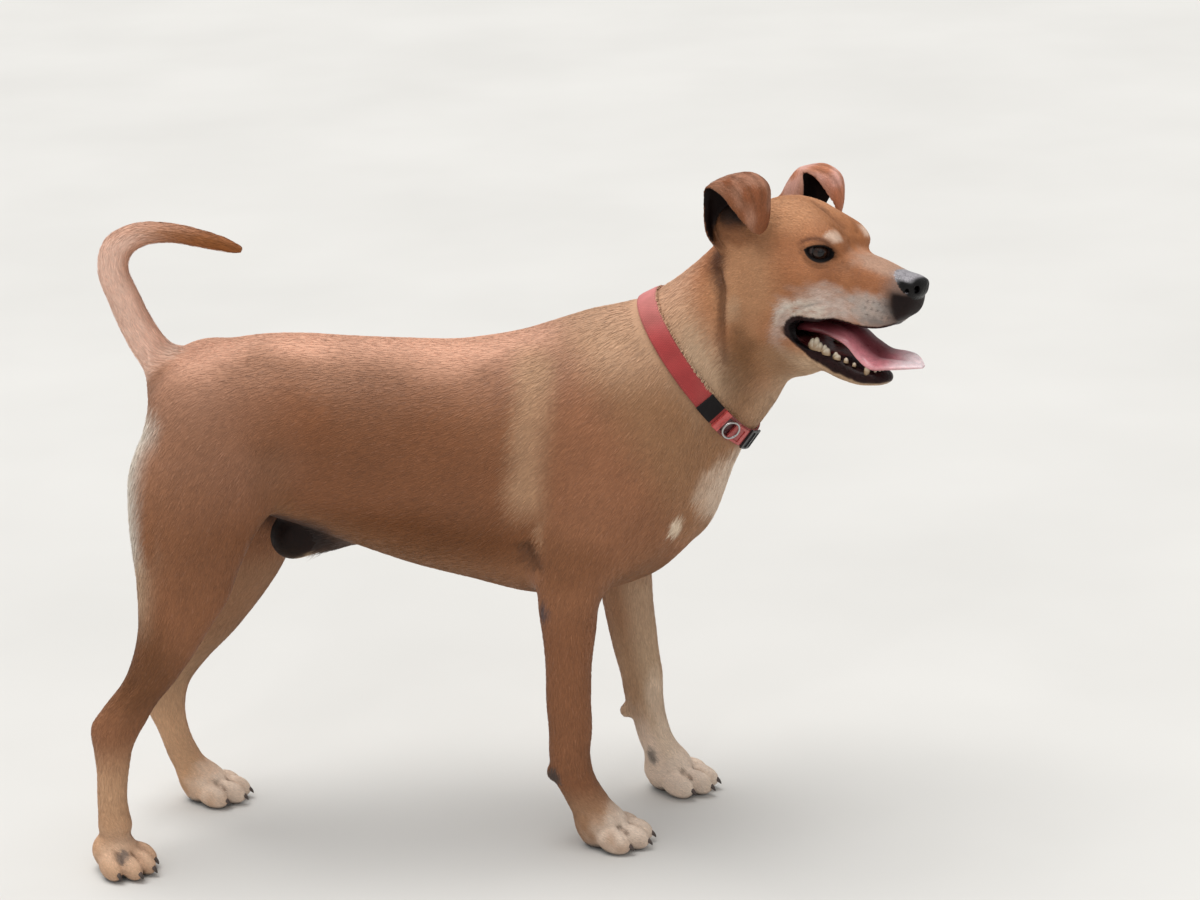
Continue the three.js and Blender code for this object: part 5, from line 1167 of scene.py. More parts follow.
        # painted shade along the fold over the upper lid
        d, t = line_distance(flat, [(-22, 0, 4), (-15, 0, 12), (-4, 0, 16.5), (6, 0, 16), (12, 0, 11), (17, 0, 3)])
        ch = mix(ch, DEEP * (0.62, 0.50, 0.52), 0.80 * smooth(20, 26, A[:, 1]) * np.exp(-(d / 2.3) ** 2) * smooth(0, 0.2, t) * smooth(1, 0.8, t))
        white = blob(A, (22, 38, -52), (38, 24, 19), 0.6, 0.25, 9, 23)
        white = np.maximum(white, 0.8 * blob(A, (62, 28, -50), (34, 18, 19), 0.6, 0.25, 8, 24))
        white = np.maximum(white, 0.90 * blob(A, (-24, 46, -78), (13, 18, 24), 0.6, 0.30, 8, 25))
        d, t = line_distance(A, [(-36, 44, -88), (-38, 40, -104), (-28, 34, -118), (-8, 30, -125)])
        white = np.maximum(white, 0.62 * np.exp(-(d / 7.0) ** 2))
        white = np.maximum(white, 0.7 * blob(A, (20, 42, -36), (22, 16, 10), 0.45, 0.3, 8, 26))
        q = np.column_stack([A[:, 0] / 7.0, A[:, 1] / 3.5, (A[:, 2] + 0.30 * A[:, 0]) / 2.1])
        hs = noise3(q, 1.0, 33)
        white = white * (0.80 + 0.28 * smooth(0.25, 0.7, hs))
        ch = mix(ch, WHITE * (0.97, 0.86, 0.87), 0.84 * white)
        ch = mix(ch, WHITE * (1.05, 1.0, 0.97), 0.6 * blob(A, (2, 44, -60), (32, 20, 12), 0.5, 0.25, 8, 29) * smooth(0.3, 0.6, hs))
        ch = mix(ch, GREY, 0.60 * blob(A, (66, 26, -44), (24, 14, 17), 0.4, 0.4, 5, 27) + 0.25 * white * smooth(0.5, 0.75, hf))
        ch = mix(ch, PALE * (0.98, 0.92, 0.86), 0.80 * smooth(-100, -118, L[:, 2]) * smooth(-70, -40, L[:, 0]))   # chin
        ch = mix(ch, FAWN * (0.60, 0.46, 0.32), 0.75 * blob(A, (-56, 36, -126), (38, 36, 28), 0.5))
        # painted shade along the crease from the ear's base down between the cheek and the neck
        d, t = line_distance(A, [(-118, 58, -22), (-106, 64, -38), (-96, 67, -54), (-92, 68, -76), (-89, 68, -98), (-87, 68, -114), (-82, 60, -142)])
        crease_shade = np.exp(-(d / (3.6 + 2.0 * hb + 10.0 * smooth(0.46, 0.0, t))) ** 2) * smooth(1, 0.85, t)
        # painted shade along the furrow of the forehead and the groove at the inner brow
        d, t = line_distance(A, [(-44, 0, 44), (-24, 0, 37), (-6, 0, 29), (10, 0, 19)])
        ch = mix(ch, DEEP * 0.95, 0.75 * np.exp(-(d / 3.2) ** 2) * smooth(0, 0.1, t) * smooth(1, 0.8, t))
        ch = mix(ch, DEEP * 0.55, 0.6 * blob(A, (-24, 0, 38), (8, 3.5, 5), 0.7))
        d, t = line_distance(A, [(-4, 19, 28), (6, 15, 23), (13, 9, 17)])
        ch = mix(ch, DEEP, 0.45 * np.exp(-(d / 2.8) ** 2) * smooth(0, 0.25, t) * smooth(1, 0.75, t))
        # near black at the ear's opening: dark skin with painted shade of the recess under the flap
        ch = mix(ch, (0.006, 0.003, 0.003), 0.98 * blob(A, (-98, 55, 26), (22, 18, 22), 0.30) * smooth(2, 9, L[:, 2]))
        ch = mix(ch, RUST * (1.0, 0.95, 0.8), 0.7 * blob(A, (-84, 62, 4), (24, 14, 12), 0.5, 0.2, 7))   # ruddy below the opening
        # painted shade in the grooves and painted highlight on the ridges of the folds at the mouth's corner
        for pts, half, height in FOLDS[:5]:                                                                  # corner folds
            d, t = line_distance(A, pts)
            w = np.exp(-(d / (half * 0.85)) ** 2) * smooth(0, 0.2, t) * smooth(1, 0.8, t)
            ch = mix(ch, GREY * 0.70 if height < 0 else WHITE, (0.65 if height < 0 else 0.55) * w)
        for x, z in ((62, -36), (69, -35), (76, -35), (83, -36), (60, -43), (67, -43), (74, -43), (81, -43), (88, -42),
                     (62, -50), (70, -51), (78, -50), (85, -49)):                                            # whisker roots
            w = np.exp(-(np.hypot(A[:, 0] - x, A[:, 2] - z) / 1.25) ** 2) * (A[:, 1] > 8)
            ch = mix(ch, BLACK * 3, 0.85 * w)
        # ears: ruddy outside, nearly black inside: dark skin with painted shade within the fold
        ear = np.zeros(len(h))
        for name in ("ear_right", "ear_left"):
            b = NAMED[name][0]
            i = near(b, Ph, 9)
            if not len(i):
                continue
            dd, k, side = on_sheet(b, Ph[i])
            on = smooth(4.5, 1.5, dd - b["half"][k]) * smooth(0.0, 0.10, b["row"][k])
            inward = side * (1 if name == "ear_left" else -1)
            col = mix(np.repeat(RUST[None] * (1.36, 1.2, 1.2), len(i), 0), PINK * 0.95, 0.5 * smooth(0.3, 0.75, noise3(Ph[i], 12, 31)))
            col = mix(col, DEEP, 0.5 * smooth(0.7, 1.0, np.abs(b["col"][k])) + 0.35 * smooth(0.85, 1.0, b["row"][k]))
            # painted shade in the flap's wrinkles; darker near the sheet's first rows
            col = mix(col, DEEP * 0.55, np.minimum(0.42 * ear_lines(b["row"][k], b["col"][k]) + 0.55 * smooth(0.30, 0.05, b["row"][k]), 0.8))
            w = smooth(-0.1, 0.35, EAR_SIGN * inward)
            # painted light: the left ear much lighter and pinker than the right
            if name == "ear_left":
                col = np.minimum(col * (1.90, 2.30, 3.2), 0.9)
            col = mix(col, np.array([0.006, 0.003, 0.003]), 0.99 * w)
            bare[h[i]] = np.maximum(bare[h[i]], 0.9 * w * on)
            ch[i] = ch[i] + (col - ch[i]) * on[:, None]
            ear[i] = np.maximum(ear[i], on)
            # painted shade on the head around the ear's root
            root = np.exp(-(np.linalg.norm(A[i] - (-106, 52, 4), axis=1) / 15) ** 2) * (1 - on)
            ch[i] = mix(ch[i], DEEP * 0.55, 0.8 * root)
        # lids
        for s in (-1, 1):
            i = np.nonzero(np.linalg.norm(L - (EYE[0], s * EYE[1], EYE[2]), axis=1) < 34)[0]
            if len(i):
                d, _ = lids(Ph[i], s)
                rr = np.linalg.norm(L[i] - (EYE[0], s * EYE[1], EYE[2]), axis=1)
                w = smooth(1.6, 0.6, d + 0.5 * (hf[i] - 0.5)) * smooth(21, 17.5, rr)
                ch[i] = mix(ch[i], DEEP * 0.62, 0.55 * smooth(8, 2.5, d) * smooth(27, 19, rr))
                ch[i] = mix(ch[i], BLACK * 0.5, w)
                bare[h[i]] = np.maximum(bare[h[i]], w)
        # nose and the black in front of the lip
        d = distance(("nosepad",), Ph, 25)
        nose = smooth(2.3, 0.9, d)
        front = smooth(79, 91, L[:, 0] + 0.12 * (L[:, 2] + 35) + 5 * (hb - 0.5)) * smooth(-16, -24, L[:, 2])
        ch = mix(ch, SLATE * 1.5, 0.60 * blob(A, (74, 24, -58), (18, 14, 7), 0.6, 0.4, 5))
        ch = mix(ch, SLATE * 1.2, 0.72 * smooth(64, 93, L[:, 0] + 7 * (hb - 0.5)) * smooth(2, -8, L[:, 2]))
        ch = mix(ch, BLACK * (0.60, 0.42, 0.42), 0.98 * front)
        ch = mix(ch, BLACK * 0.30, nose)
        # painted reflection: pale blue-grey where the top of the nose faces up
        ch = mix(ch, GREY * (0.84, 0.90, 1.06), nose * 0.85 * smooth(0.4, 0.9, Nl[:, 2]) * smooth(106, 99, L[:, 0]))
        m = distance(MOUTH, Ph, 25)
        upper_lip = smooth(7.0, 4.8, m + 1.0 * (hf - 0.5)) * (L[:, 2] > -88)
        zl = np.interp(L[:, 0], [-34, -23, -1, 25, 58, 84], [-92, -101, -114, -121, -126, -121])
        lower_lip = smooth(-1.2, 1.4, L[:, 2] - zl + 2.0 * (hf - 0.5)) * (L[:, 2] < -84) * smooth(-36, -30, L[:, 0])
        lip = np.maximum(upper_lip, lower_lip) * (m < 24)
        ch = mix(ch, LIP * (0.62, 0.20, 0.26), 0.99 * lip)
        inner = smooth(2.2, 0.9, m)
        deep = inner * smooth(26, 20, A[:, 1]) * smooth(-36, -20, L[:, 0])
        ch = mix(ch, LIP * 0.3, 0.97 * inner)
        ch = mix(ch, GUM * (0.42, 0.26, 0.28), 0.88 * deep)
        leather[h] = np.where(nose > 0.5, 1, np.where(np.maximum(lip, inner) > 0.5, 2, 0))
        bare[h] = np.maximum(bare[h], np.maximum.reduce([nose, lip, inner, 0.6 * front]))
        wh = smooth(165, 125, r_head[h])
        keep = np.maximum.reduce([wh, leather[h] > 0, ear])
        ch = c[h] + (ch - c[h]) * keep[:, None]
        # painted shade on the throat below the cheek
        ch = mix(ch, DEEP * (0.66, 0.76, 0.62), 0.62 * (1 - ear) * blob(A, (-73, 55, -132), (15, 26, 44), 0.6, 0.25, 12))   # shade of the throat
        c[h] = mix(ch, DEEP * (0.40, 0.32, 0.26), 0.97 * crease_shade * (1 - ear))
    tone = 0.94 + 0.07 * (big - 0.5) * 2 + 0.05 * (mid - 0.5) * 2 + 0.035 * (fine - 0.5) * 2
    c = c * tone[:, None]
    return np.clip(c, 0, 1), np.clip(bare, 0, 1), leather


C, BARE, LEATHER = markings_and_painted_light(V, N)
log("markings_and_painted_light")

# =====================================================================================================
# Meshes and materials
# =====================================================================================================
SCENE = bpy.context.scene


def mesh_of(name, V, T, replaces=(), attrs=None, mats=(), mat_index=None, smooth_all=True, sharp=None, uv=None):
    """A piece from points (already in metres) and triangles, riding on the body."""
    me = bpy.data.meshes.new(name)
    V = np.asarray(V, np.float32)
    T = np.asarray(T, np.int32)
    k = T.shape[1]
    me.vertices.add(len(V))
    me.vertices.foreach_set("co", V.ravel())
    me.loops.add(k * len(T))
    me.loops.foreach_set("vertex_index", T.ravel())
    me.polygons.add(len(T))
    me.polygons.foreach_set("loop_start", np.arange(0, k * len(T), k, dtype=np.int32))
    me.polygons.foreach_set("use_smooth", np.full(len(T), smooth_all))
    me.update(calc_edges=True)
    for m in mats:
        me.materials.append(m)
    if mat_index is not None:
        me.polygons.foreach_set("material_index", np.asarray(mat_index, np.int32))
    for key, val in (attrs or {}).items():
        val = np.asarray(val, np.float32)
        if val.ndim == 1:
            a = me.attributes.new(key, "FLOAT", "POINT")
            a.data.foreach_set("value", val)
        else:
            if val.shape[1] == 3:
                val = np.column_stack([val, np.ones(len(val), np.float32)])
            a = me.color_attributes.new(key, "FLOAT_COLOR", "POINT")
            a.data.foreach_set("color", val.astype(np.float32).ravel())
    if uv is not None:
        for key, val in uv.items():
            layer = me.uv_layers.new(name=key)
            layer.data.foreach_set("uv", np.asarray(val, np.float32)[T.ravel()].ravel())
    if sharp is not None:
        me.set_sharp_from_angle(angle=math.radians(sharp))
    ob = bpy.data.objects.new(name, me)
    SCENE.collection.objects.link(ob)
    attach(ob, "root")
    if replaces:
        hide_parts(*replaces)
    return ob


class Finish:
    """A material with its nodes made one at a time."""

    def __init__(self, name, **sockets):
        self.material = bpy.data.materials.new(name)
        self.material.use_nodes = True
        self.tree = self.material.node_tree
        self.shader = self.tree.nodes["Principled BSDF"]
        for k, v in sockets.items():
            self.shader.inputs[k.replace("_", " ")].default_value = v

    def node(self, kind, **props):
        n = self.tree.nodes.new("ShaderNode" + kind)
        for k, v in props.items():
            setattr(n, k, v)
        return n

    def put(self, socket, value):
        if isinstance(value, bpy.types.NodeSocket):
            self.tree.links.new(value, socket)
        else:
            socket.default_value = value

    def attribute(self, name, out="Color"):
        return self.node("Attribute", attribute_name=name).outputs[out]

    def math(self, op, a, b=0.0, clamp=False):
        n = self.node("Math", operation=op, use_clamp=clamp)
        self.put(n.inputs[0], a)
        self.put(n.inputs[1], b)
        return n.outputs[0]

    def blend(self, fac, a, b):
        n = self.node("Mix", data_type="RGBA")
        self.put(n.inputs["Factor"], fac)
        self.put(n.inputs[6], a)
        self.put(n.inputs[7], b)
        return n.outputs[2]

    def scaled(self, colour, by):
        n = self.node("VectorMath", operation="SCALE")
        self.put(n.inputs[0], colour)
        self.put(n.inputs["Scale"], by)
        return n.outputs[0]

    def space(self, size, turn=(0, 0, 0), coords=None):
        """Object coordinates turned, then divided by the size of the features along each axis."""
        n = self.node("Mapping", vector_type="TEXTURE")
        n.inputs["Rotation"].default_value = turn
        n.inputs["Scale"].default_value = size
        self.put(n.inputs["Vector"], coords or self.node("TexCoord").outputs["Object"])
        return n.outputs[0]

    def noise(self, vec, scale=1.0, detail=2.0, rough=0.5):
        n = self.node("TexNoise")
        self.put(n.inputs["Vector"], vec)
        n.inputs["Scale"].default_value = scale
        n.inputs["Detail"].default_value = detail
        n.inputs["Roughness"].default_value = rough
        return n.outputs[0]

    def cells(self, vec, scale=1.0, feature="F1"):
        n = self.node("TexVoronoi", feature=feature)
        self.put(n.inputs["Vector"], vec)
        n.inputs["Scale"].default_value = scale
        return n.outputs["Distance"]

    def span(self, x, a, b, lo=0.0, hi=1.0):
        n = self.node("MapRange")
        self.put(n.inputs["Value"], x)
        n.inputs["From Min"].default_value = a
        n.inputs["From Max"].default_value = b
        n.inputs["To Min"].default_value = lo
        n.inputs["To Max"].default_value = hi
        return n.outputs[0]

    def bump(self, height, strength, distance, under=None):
        n = self.node("Bump")
        n.inputs["Strength"].default_value = strength
        n.inputs["Distance"].default_value = distance
        self.put(n.inputs["Height"], height)
        if under is not None:
            self.put(n.inputs["Normal"], under)
        return n.outputs[0]

    def out(self, name, value):
        self.put(self.shader.inputs[name], value)
        return self


HEAD_TURN = tuple(Matrix(HM.tolist()).to_euler("XYZ"))
LINES = [(1, 0, 0), (0, 0, 1), (0.7071, 0, 0.7071), (0.7071, 0, -0.7071), tuple(HM[:, 0])]
TURNS = [(0, 0, 0), (0, math.radians(-90), 0), (0, math.radians(-45), 0), (0, math.radians(45), 0), HEAD_TURN]


def lay_weights(D):
    w = np.abs(D @ np.array(LINES).T) ** 8
    w = w / np.maximum(w.sum(1, keepdims=True), 1e-9)
    return w[:, :4]


def streaks(f, along, across, lay, alpha):
    """Noise drawn out along the lie of the coat."""
    total, rest = None, None
    sep = f.node("SeparateColor")
    f.put(sep.inputs[0], lay)
    parts = [sep.outputs[0], sep.outputs[1], sep.outputs[2], alpha]
    for w, turn in zip(parts, TURNS):
        v = f.math("MULTIPLY", w, f.noise(f.space((along, across, across), turn), detail=1.5))
        total = v if total is None else f.math("ADD", total, v)
        rest = w if rest is None else f.math("ADD", rest, w)
    last = f.math("SUBTRACT", 1.0, rest, True)
    return f.math("ADD", total, f.math("MULTIPLY", last, f.noise(f.space((along * 0.5, across, across), TURNS[4]), detail=1.5)))


def coat_finish():
    f = Finish("coat_skin", Roughness=0.62, Sheen_Weight=0.08, Sheen_Roughness=0.45, IOR=1.33)
    f.shader.inputs["Sheen Tint"].default_value = (1.0, 0.86, 0.76, 1)
    lay = f.node("Attribute", attribute_name="lay")
    s1 = streaks(f, 0.011, 0.0011, lay.outputs["Color"], lay.outputs["Alpha"])
    hair = f.attribute("hair", "Fac")
    shade = f.math("ADD", 1.0, f.math("MULTIPLY", hair, f.span(s1, 0.25, 0.75, -0.22, 0.18)))
    f.out("Base Color", f.scaled(f.attribute("tone"), shade))
    f.out("Roughness", f.span(hair, 0.0, 1.0, 0.42, 0.64))
    fine = f.noise(f.space((0.0011, 0.0011, 0.0011)), detail=3)
    h = f.math("ADD", f.math("MULTIPLY", hair, s1), f.math("MULTIPLY", fine, 0.22))
    f.out("Normal", f.bump(h, 0.75, 0.0009))
    return f.material


def nose_finish():
    f = Finish("nose_leather", Roughness=0.36, IOR=1.27, Coat_Weight=0.06, Coat_Roughness=0.22)
    c = f.cells(f.space((0.0017, 0.0017, 0.0017)), 1.0)
    n = f.noise(f.space((0.004, 0.004, 0.004)), detail=4)
    f.out("Base Color", f.scaled(f.attribute("tone"), f.math("ADD", f.span(c, 0.0, 0.7, 1.25, 0.7), f.span(n, 0.3, 0.7, -0.2, 0.2))))
    f.out("Roughness", f.span(n, 0.3, 0.7, 0.30, 0.46))
    f.out("Normal", f.bump(f.math("ADD", f.math("MULTIPLY", f.math("POWER", c, 2.0), -0.8), f.math("MULTIPLY", n, 0.25)), 0.6, 0.0007))
    return f.material


def mouth_finish():
    f = Finish("mouth_lining", Roughness=0.3, IOR=1.17, Coat_Weight=0.07, Coat_Roughness=0.08, Subsurface_Weight=0.02)
    f.shader.inputs["Subsurface Radius"].default_value = (0.003, 0.001, 0.0008)
    n = f.noise(f.space((0.005, 0.003, 0.003), HEAD_TURN), detail=4)
    w = f.noise(f.space((0.0014, 0.0014, 0.0014)), detail=3)
    f.out("Base Color", f.scaled(f.attribute("tone"), f.span(n, 0.3, 0.7, 0.7, 1.35)))
    f.out("Roughness", f.span(n, 0.3, 0.7, 0.2, 0.5))
    f.out("Normal", f.bump(f.math("ADD", n, f.math("MULTIPLY", w, 0.4)), 0.7, 0.0018))
    return f.material


def bare_finish():
    """Dark skin with little or no hair: lids, lining of the ears, front of the lip, scrotum; the ears' near-black
    lining is partly painted shade.
    """
    f = Finish("bare_skin", Roughness=0.55, IOR=1.2)
    n = f.noise(f.space((0.006, 0.006, 0.006)), detail=4)
    w = f.cells(f.space((0.0013, 0.0013, 0.0013)))
    f.out("Base Color", f.scaled(f.attribute("tone"), f.span(n, 0.3, 0.7, 0.8, 1.3)))
    f.out("Roughness", f.span(n, 0.3, 0.7, 0.45, 0.65))
    f.out("Normal", f.bump(f.math("ADD", n, f.math("MULTIPLY", w, -0.4)), 0.5, 0.0007))
    return f.material


D_LIE = lie(V, N)
HAIR = 1 - BARE
MAT_COAT, MAT_NOSE, MAT_MOUTH, MAT_BARE = coat_finish(), nose_finish(), mouth_finish(), bare_finish()
lay = lay_weights(D_LIE)
face_leather = LEATHER[T].max(1)
face_leather = np.where((face_leather < 0.5) & (BARE[T].mean(1) > 0.5), 3, face_leather)
FLESH = [n for n in frame["nodes"] if not n.startswith(("eye", "tongue", "collar")) and "claw" not in n]
skin_ob = mesh_of("skin", metres(V), T, FLESH, {"tone": C, "lay": lay, "hair": HAIR},
                  (MAT_COAT, MAT_NOSE, MAT_MOUTH, MAT_BARE), face_leather.astype(int))
log("skin object", len(T))


def unwrapped(ob):
    """The skin cut into flat charts by the way its faces look, packed side by side."""
    for o in SCENE.objects:
        o.select_set(False)
    ob.select_set(True)
    bpy.context.view_layer.objects.active = ob
    ob.data.uv_layers.new(name="OFBake")
    bpy.ops.object.mode_set(mode="EDIT")
    bpy.ops.mesh.select_all(action="SELECT")
    bpy.ops.uv.smart_project(angle_limit=math.radians(70), island_margin=0.0015, area_weight=0.0, correct_aspect=False)
    bpy.ops.object.mode_set(mode="OBJECT")
    ob.select_set(False)
    uv = np.empty(6 * len(T), np.float32)
    ob.data.uv_layers["OFBake"].data.foreach_get("uv", uv)
    return uv.reshape(-1, 3, 2)


FACE_UV = unwrapped(skin_ob)
log("unwrapped", FACE_UV.min(), FACE_UV.max())

# =====================================================================================================
# The coat's tufts: thin blades that lie along the skin, small on the face and feet
# =====================================================================================================
COLLAR_AT, COLLAR_N = np.array([345.0, -4.0, 525.0]), unit((0.808, -0.167, 0.564))


def over_strap(P):
    """Where hair on the head's side of the collar lies over the edge of the strap."""
    along = (P - COLLAR_AT) @ COLLAR_N
    return (P[:, 0] > 250) & (P[:, 2] > 480) & (P[:, 0] < 400) & (along > 11.0) & (along < 14.2)


def tuft_plan(P, N):
    """Length, width, lift of a tuft at each place, and how much of the place wants one."""
    n = len(P)
    length, width, lift, want = np.full(n, 11.0), np.full(n, 1.15), np.full(n, 0.42), np.ones(n)
    leg = smooth(300, 230, P[:, 2])
    length = lerp(length, 8.5, leg)
    width = lerp(width, 1.0, leg)
    foot = smooth(90, 50, P[:, 2])
    length, width, lift = lerp(length, 4.6, foot), lerp(width, 0.85, foot), lerp(lift, 0.3, foot)
    r = np.linalg.norm(P - HEAD_C, axis=1)
    face = smooth(170, 118, r)
    length, width, lift = lerp(length, 5.2, face), lerp(width, 0.85, face), lerp(lift, 0.32, face)
    L = to_head(P)
    A = both(L)
    muzzle = smooth(10, 50, L[:, 0]) * (r < 170)
    length, width, lift = lerp(length, 3.0, muzzle), lerp(width, 0.6, muzzle), lerp(lift, 0.22, muzzle)
    brow = smooth(44, 26, np.linalg.norm(A - EYE, axis=1))
    length, width, lift = lerp(length, 3.2, brow), lerp(width, 0.6, brow), lerp(lift, 0.2, brow)
    for name in ("ear_right", "ear_left"):
        b = NAMED[name][0]
        i = near(b, P, 6)
        if len(i):
            d, k, _ = on_sheet(b, P[i])
            w = smooth(4, 2, d - b["half"][k])
            length[i], width[i], lift[i] = lerp(length[i], 4.2, w), lerp(width[i], 0.8, w), lerp(lift[i], 0.22, w)
    # longer and looser: under and behind the tail, the back of the thigh, the nape, the front of the chest
    tail = np.zeros(n)
    b = NAMED["tail"][0]
    i = near(b, P, 12)
    if len(i):
        k, t = along_tail(b, P[i])
        out = (unit(P[i] - lerp(b["C"][k], b["C"][k + 1], t[:, None])) * lerp(b["U"][k], b["U"][k + 1], t[:, None])).sum(1)
        s = (k + t) / (len(b["C"]) - 1)
        w = smooth(9, 3, d_loft(b, P[i])) * smooth(0.05, 0.15, s)
        tail[i] = w
        length[i] = lerp(length[i], 11 + 5 * smooth(0, 0.8, -out) * smooth(1, 0.6, s), w)
        lift[i] = lerp(lift[i], 0.7, w)
    rear = smooth(-0.3, -0.8, N[:, 0]) * smooth(-200, -230, P[:, 0]) * smooth(300, 340, P[:, 2]) * smooth(530, 500, P[:, 2])
    nape = smooth(0.3, 0.8, N[:, 2]) * smooth(200, 260, P[:, 0]) * smooth(520, 560, P[:, 2]) * (1 - face)
    crop = smooth(0.3, 0.8, N[:, 0]) * smooth(320, 345, P[:, 0]) * (P[:, 2] < 500) * (1 - face)
    tip = blob(P, (-86, 6, 320), (26, 18, 9), 0.4)
    for w, ln, lf in ((rear, 15, 1.2), (nape, 13, 0.6), (crop, 13, 0.6), (tip, 16, 5.0)):
        length, lift = lerp(length, ln, w), lerp(lift, lf, w)
    want = 1 / (length * width)
    band = np.abs((P - COLLAR_AT) @ COLLAR_N)
    nk = (P[:, 0] > 250) & (P[:, 2] > 380) & (r > 110)
    want = np.where(nk & (band < 13.5), 0, want)
    length = np.where(nk & ((P - COLLAR_AT) @ COLLAR_N > 0) & (band < 26), 7.0, length)
    want = np.where(over_strap(P), 0.30, want)
    want = np.where(np.linalg.norm(A - EYE, axis=1) < 17.5, 0, want)
    return length, width, lift, want


def tufts():
    want_total = 136000
    bare_face = np.maximum.reduce([BARE[T].max(1), (LEATHER[T].max(1) > 0) * 1.0])
    mid = V[T].mean(1)
    Nf = unit(N[T].mean(1))
    area = np.linalg.norm(face_normals(V, T), axis=1) / 2
    length, width, lift, want = tuft_plan(mid, Nf)
    share = area * want * (bare_face < 0.35)
    floor_face = (mid[:, 2] < 6) & (Nf[:, 2] < -0.3)
    share[floor_face] = 0
    cum = np.cumsum(share)
    # spread evenly: one sample to each equal step of the running total, faces ordered along a curve through space
    order = np.lexsort((np.floor(mid[:, 2] / 6), np.floor(mid[:, 0] / 12)))
    cum = np.cumsum(share[order])
    at = (np.arange(want_total) + RNG.random(want_total)) / want_total * cum[-1]
    f = order[np.searchsorted(cum, at)]
    u, v = RNG.random(want_total), RNG.random(want_total)
    flip = u + v > 1
    u, v = np.where(flip, 1 - u, u), np.where(flip, 1 - v, v)
    w3 = np.stack([1 - u - v, u, v], 1)
    def on(values):
        return (values[T[f]] * w3[:, :, None]).sum(1)
    P, Np, Dp, Cp = on(V), unit(on(N)), unit(on(D_LIE)), on(C)
    UV = (FACE_UV[f] * w3[:, :, None]).sum(1)
    ln, wd, lf, _ = tuft_plan(P, Np)
    ln = ln * (0.75 + 0.5 * RNG.random(len(P)))
    wd = wd * (0.75 + 0.5 * RNG.random(len(P)))
    lf = lf * (0.35 + 1.1 * RNG.random(len(P)) ** 2)
    over, share_over = over_strap(P), RNG.random(len(P))
    lf = np.where(over, 2.3 + 0.8 * share_over, lf)
    ln = np.where(over, 4.6 + 3.2 * RNG.random(len(P)) ** 1.5, ln)
    bend = np.where(over, 0.18, 0.46)
    rise = np.where(over, 2.5 + 0.5 * share_over, lf * 0.55 + 0.10)
    side = unit(np.cross(Np, Dp))
    sway = (RNG.random(len(P)) - 0.5) * 0.34
    Dp = unit(Dp + sway[:, None] * side)
    side = unit(np.cross(Np, Dp))
    tree = BVHTree.FromPolygons(V.tolist(), T.tolist())
    def laid(Q, h):
        out = np.empty_like(Q)
        for i, q in enumerate(Q):
            co, no, _, _ = tree.find_nearest(q)
            out[i] = (co[0] + no[0] * h[i], co[1] + no[1] * h[i], co[2] + no[2] * h[i])
        return out
    root = P - Np * 0.25
    midp = laid(P + Dp * (bend * ln)[:, None], rise)
    tip = laid(P + Dp * ln[:, None], lf)
    left, right = midp + side * (wd / 2)[:, None], midp - side * (wd / 2)[:, None]
    top = midp + Np * (0.06 + 0.09 * wd)[:, None]
    VT = np.stack([root, left, right, top, tip], 1)
    VT[:, :, 2] = np.maximum(VT[:, :, 2], 0.2 + 0.05 * np.arange(5))
    tone = 1 + 0.24 * (RNG.random(len(P)) - 0.5)
    cols = Cp * tone[:, None]
    # a scatter of dark-tipped hairs along the back, and of pale ones on the flank
    back = smooth(0.5, 0.9, Np[:, 2]) * smooth(500, 540, P[:, 2]) * (P[:, 0] < 260)
    fleck = (RNG.random(len(P)) < 0.05 * back)
    cols[fleck] = cols[fleck] * 0.72
    pale = RNG.random(len(P)) < 0.05
    cols[pale] = cols[pale] * 1.10 + 0.012
    CT = np.repeat(cols[:, None], 5, 1)
    CT[:, 0] *= 0.92
    CT[:, 4] = np.minimum(CT[:, 4] * 1.07, 1)
    patch = np.array([[0, -0.5], [-0.5, 0.0], [0.5, 0.0], [0.0, 0.1], [0, 0.5]]) * 0.003
    UT = np.clip(UV[:, None] + patch[None], 0.0, 1.0)
    FT = np.array([[0, 1, 3], [0, 3, 2], [1, 4, 3], [3, 4, 2], [0, 2, 1], [1, 2, 4]])
    # which way round: the ridge's faces look away from the skin
    a, b, c = VT[:, 0], VT[:, 1], VT[:, 3]
    if (np.cross(b - a, c - a) * Np).sum() < 0:
        FT = FT[:, ::-1]
    lay = lay_weights(Dp)
    groups = {"body": (P[:, 0] < 60) & (P[:, 2] > 300), "front": (P[:, 0] >= 60) & (P[:, 2] > 300) & (np.linalg.norm(P - HEAD_C, axis=1) > 140),
              "legs": P[:, 2] <= 300}
    groups["head"] = ~(groups["body"] | groups["front"] | groups["legs"])
    for name, m in groups.items():
        idx = np.nonzero(m)[0]
        for part, ids in enumerate(np.array_split(idx, int(np.ceil(len(idx) * 6 / 190000)))):
            if not len(ids):
                continue
            faces = (np.arange(len(ids))[:, None, None] * 5 + FT[None]).reshape(-1, 3)
            mesh_of("coat_%s_%d" % (name, part + 1), metres(VT[ids].reshape(-1, 3)), faces, (), {
                "tone": CT[ids].reshape(-1, 3)}, (MAT_TUFT,), uv={"OFBake": UT[ids].reshape(-1, 2)}, smooth_all=False)
    log("tufts", len(P), {k: int(m.sum()) for k, m in groups.items()})


def tuft_finish():
    f = Finish("coat_tufts", Roughness=0.56, Sheen_Weight=0.06, Sheen_Roughness=0.4, IOR=1.36)
    f.shader.inputs["Sheen Tint"].default_value = (1.0, 0.86, 0.76, 1)
    n = f.noise(f.space((0.0035, 0.0035, 0.0035)), detail=2)
    f.out("Base Color", f.scaled(f.attribute("tone"), f.span(n, 0.3, 0.7, 0.93, 1.07)))
    f.out("Roughness", f.span(n, 0.3, 0.7, 0.5, 0.64))
    return f.material


MAT_TUFT = tuft_finish()
tufts()

# =====================================================================================================
# Eyes, tongue, teeth, claws and collar
# =====================================================================================================


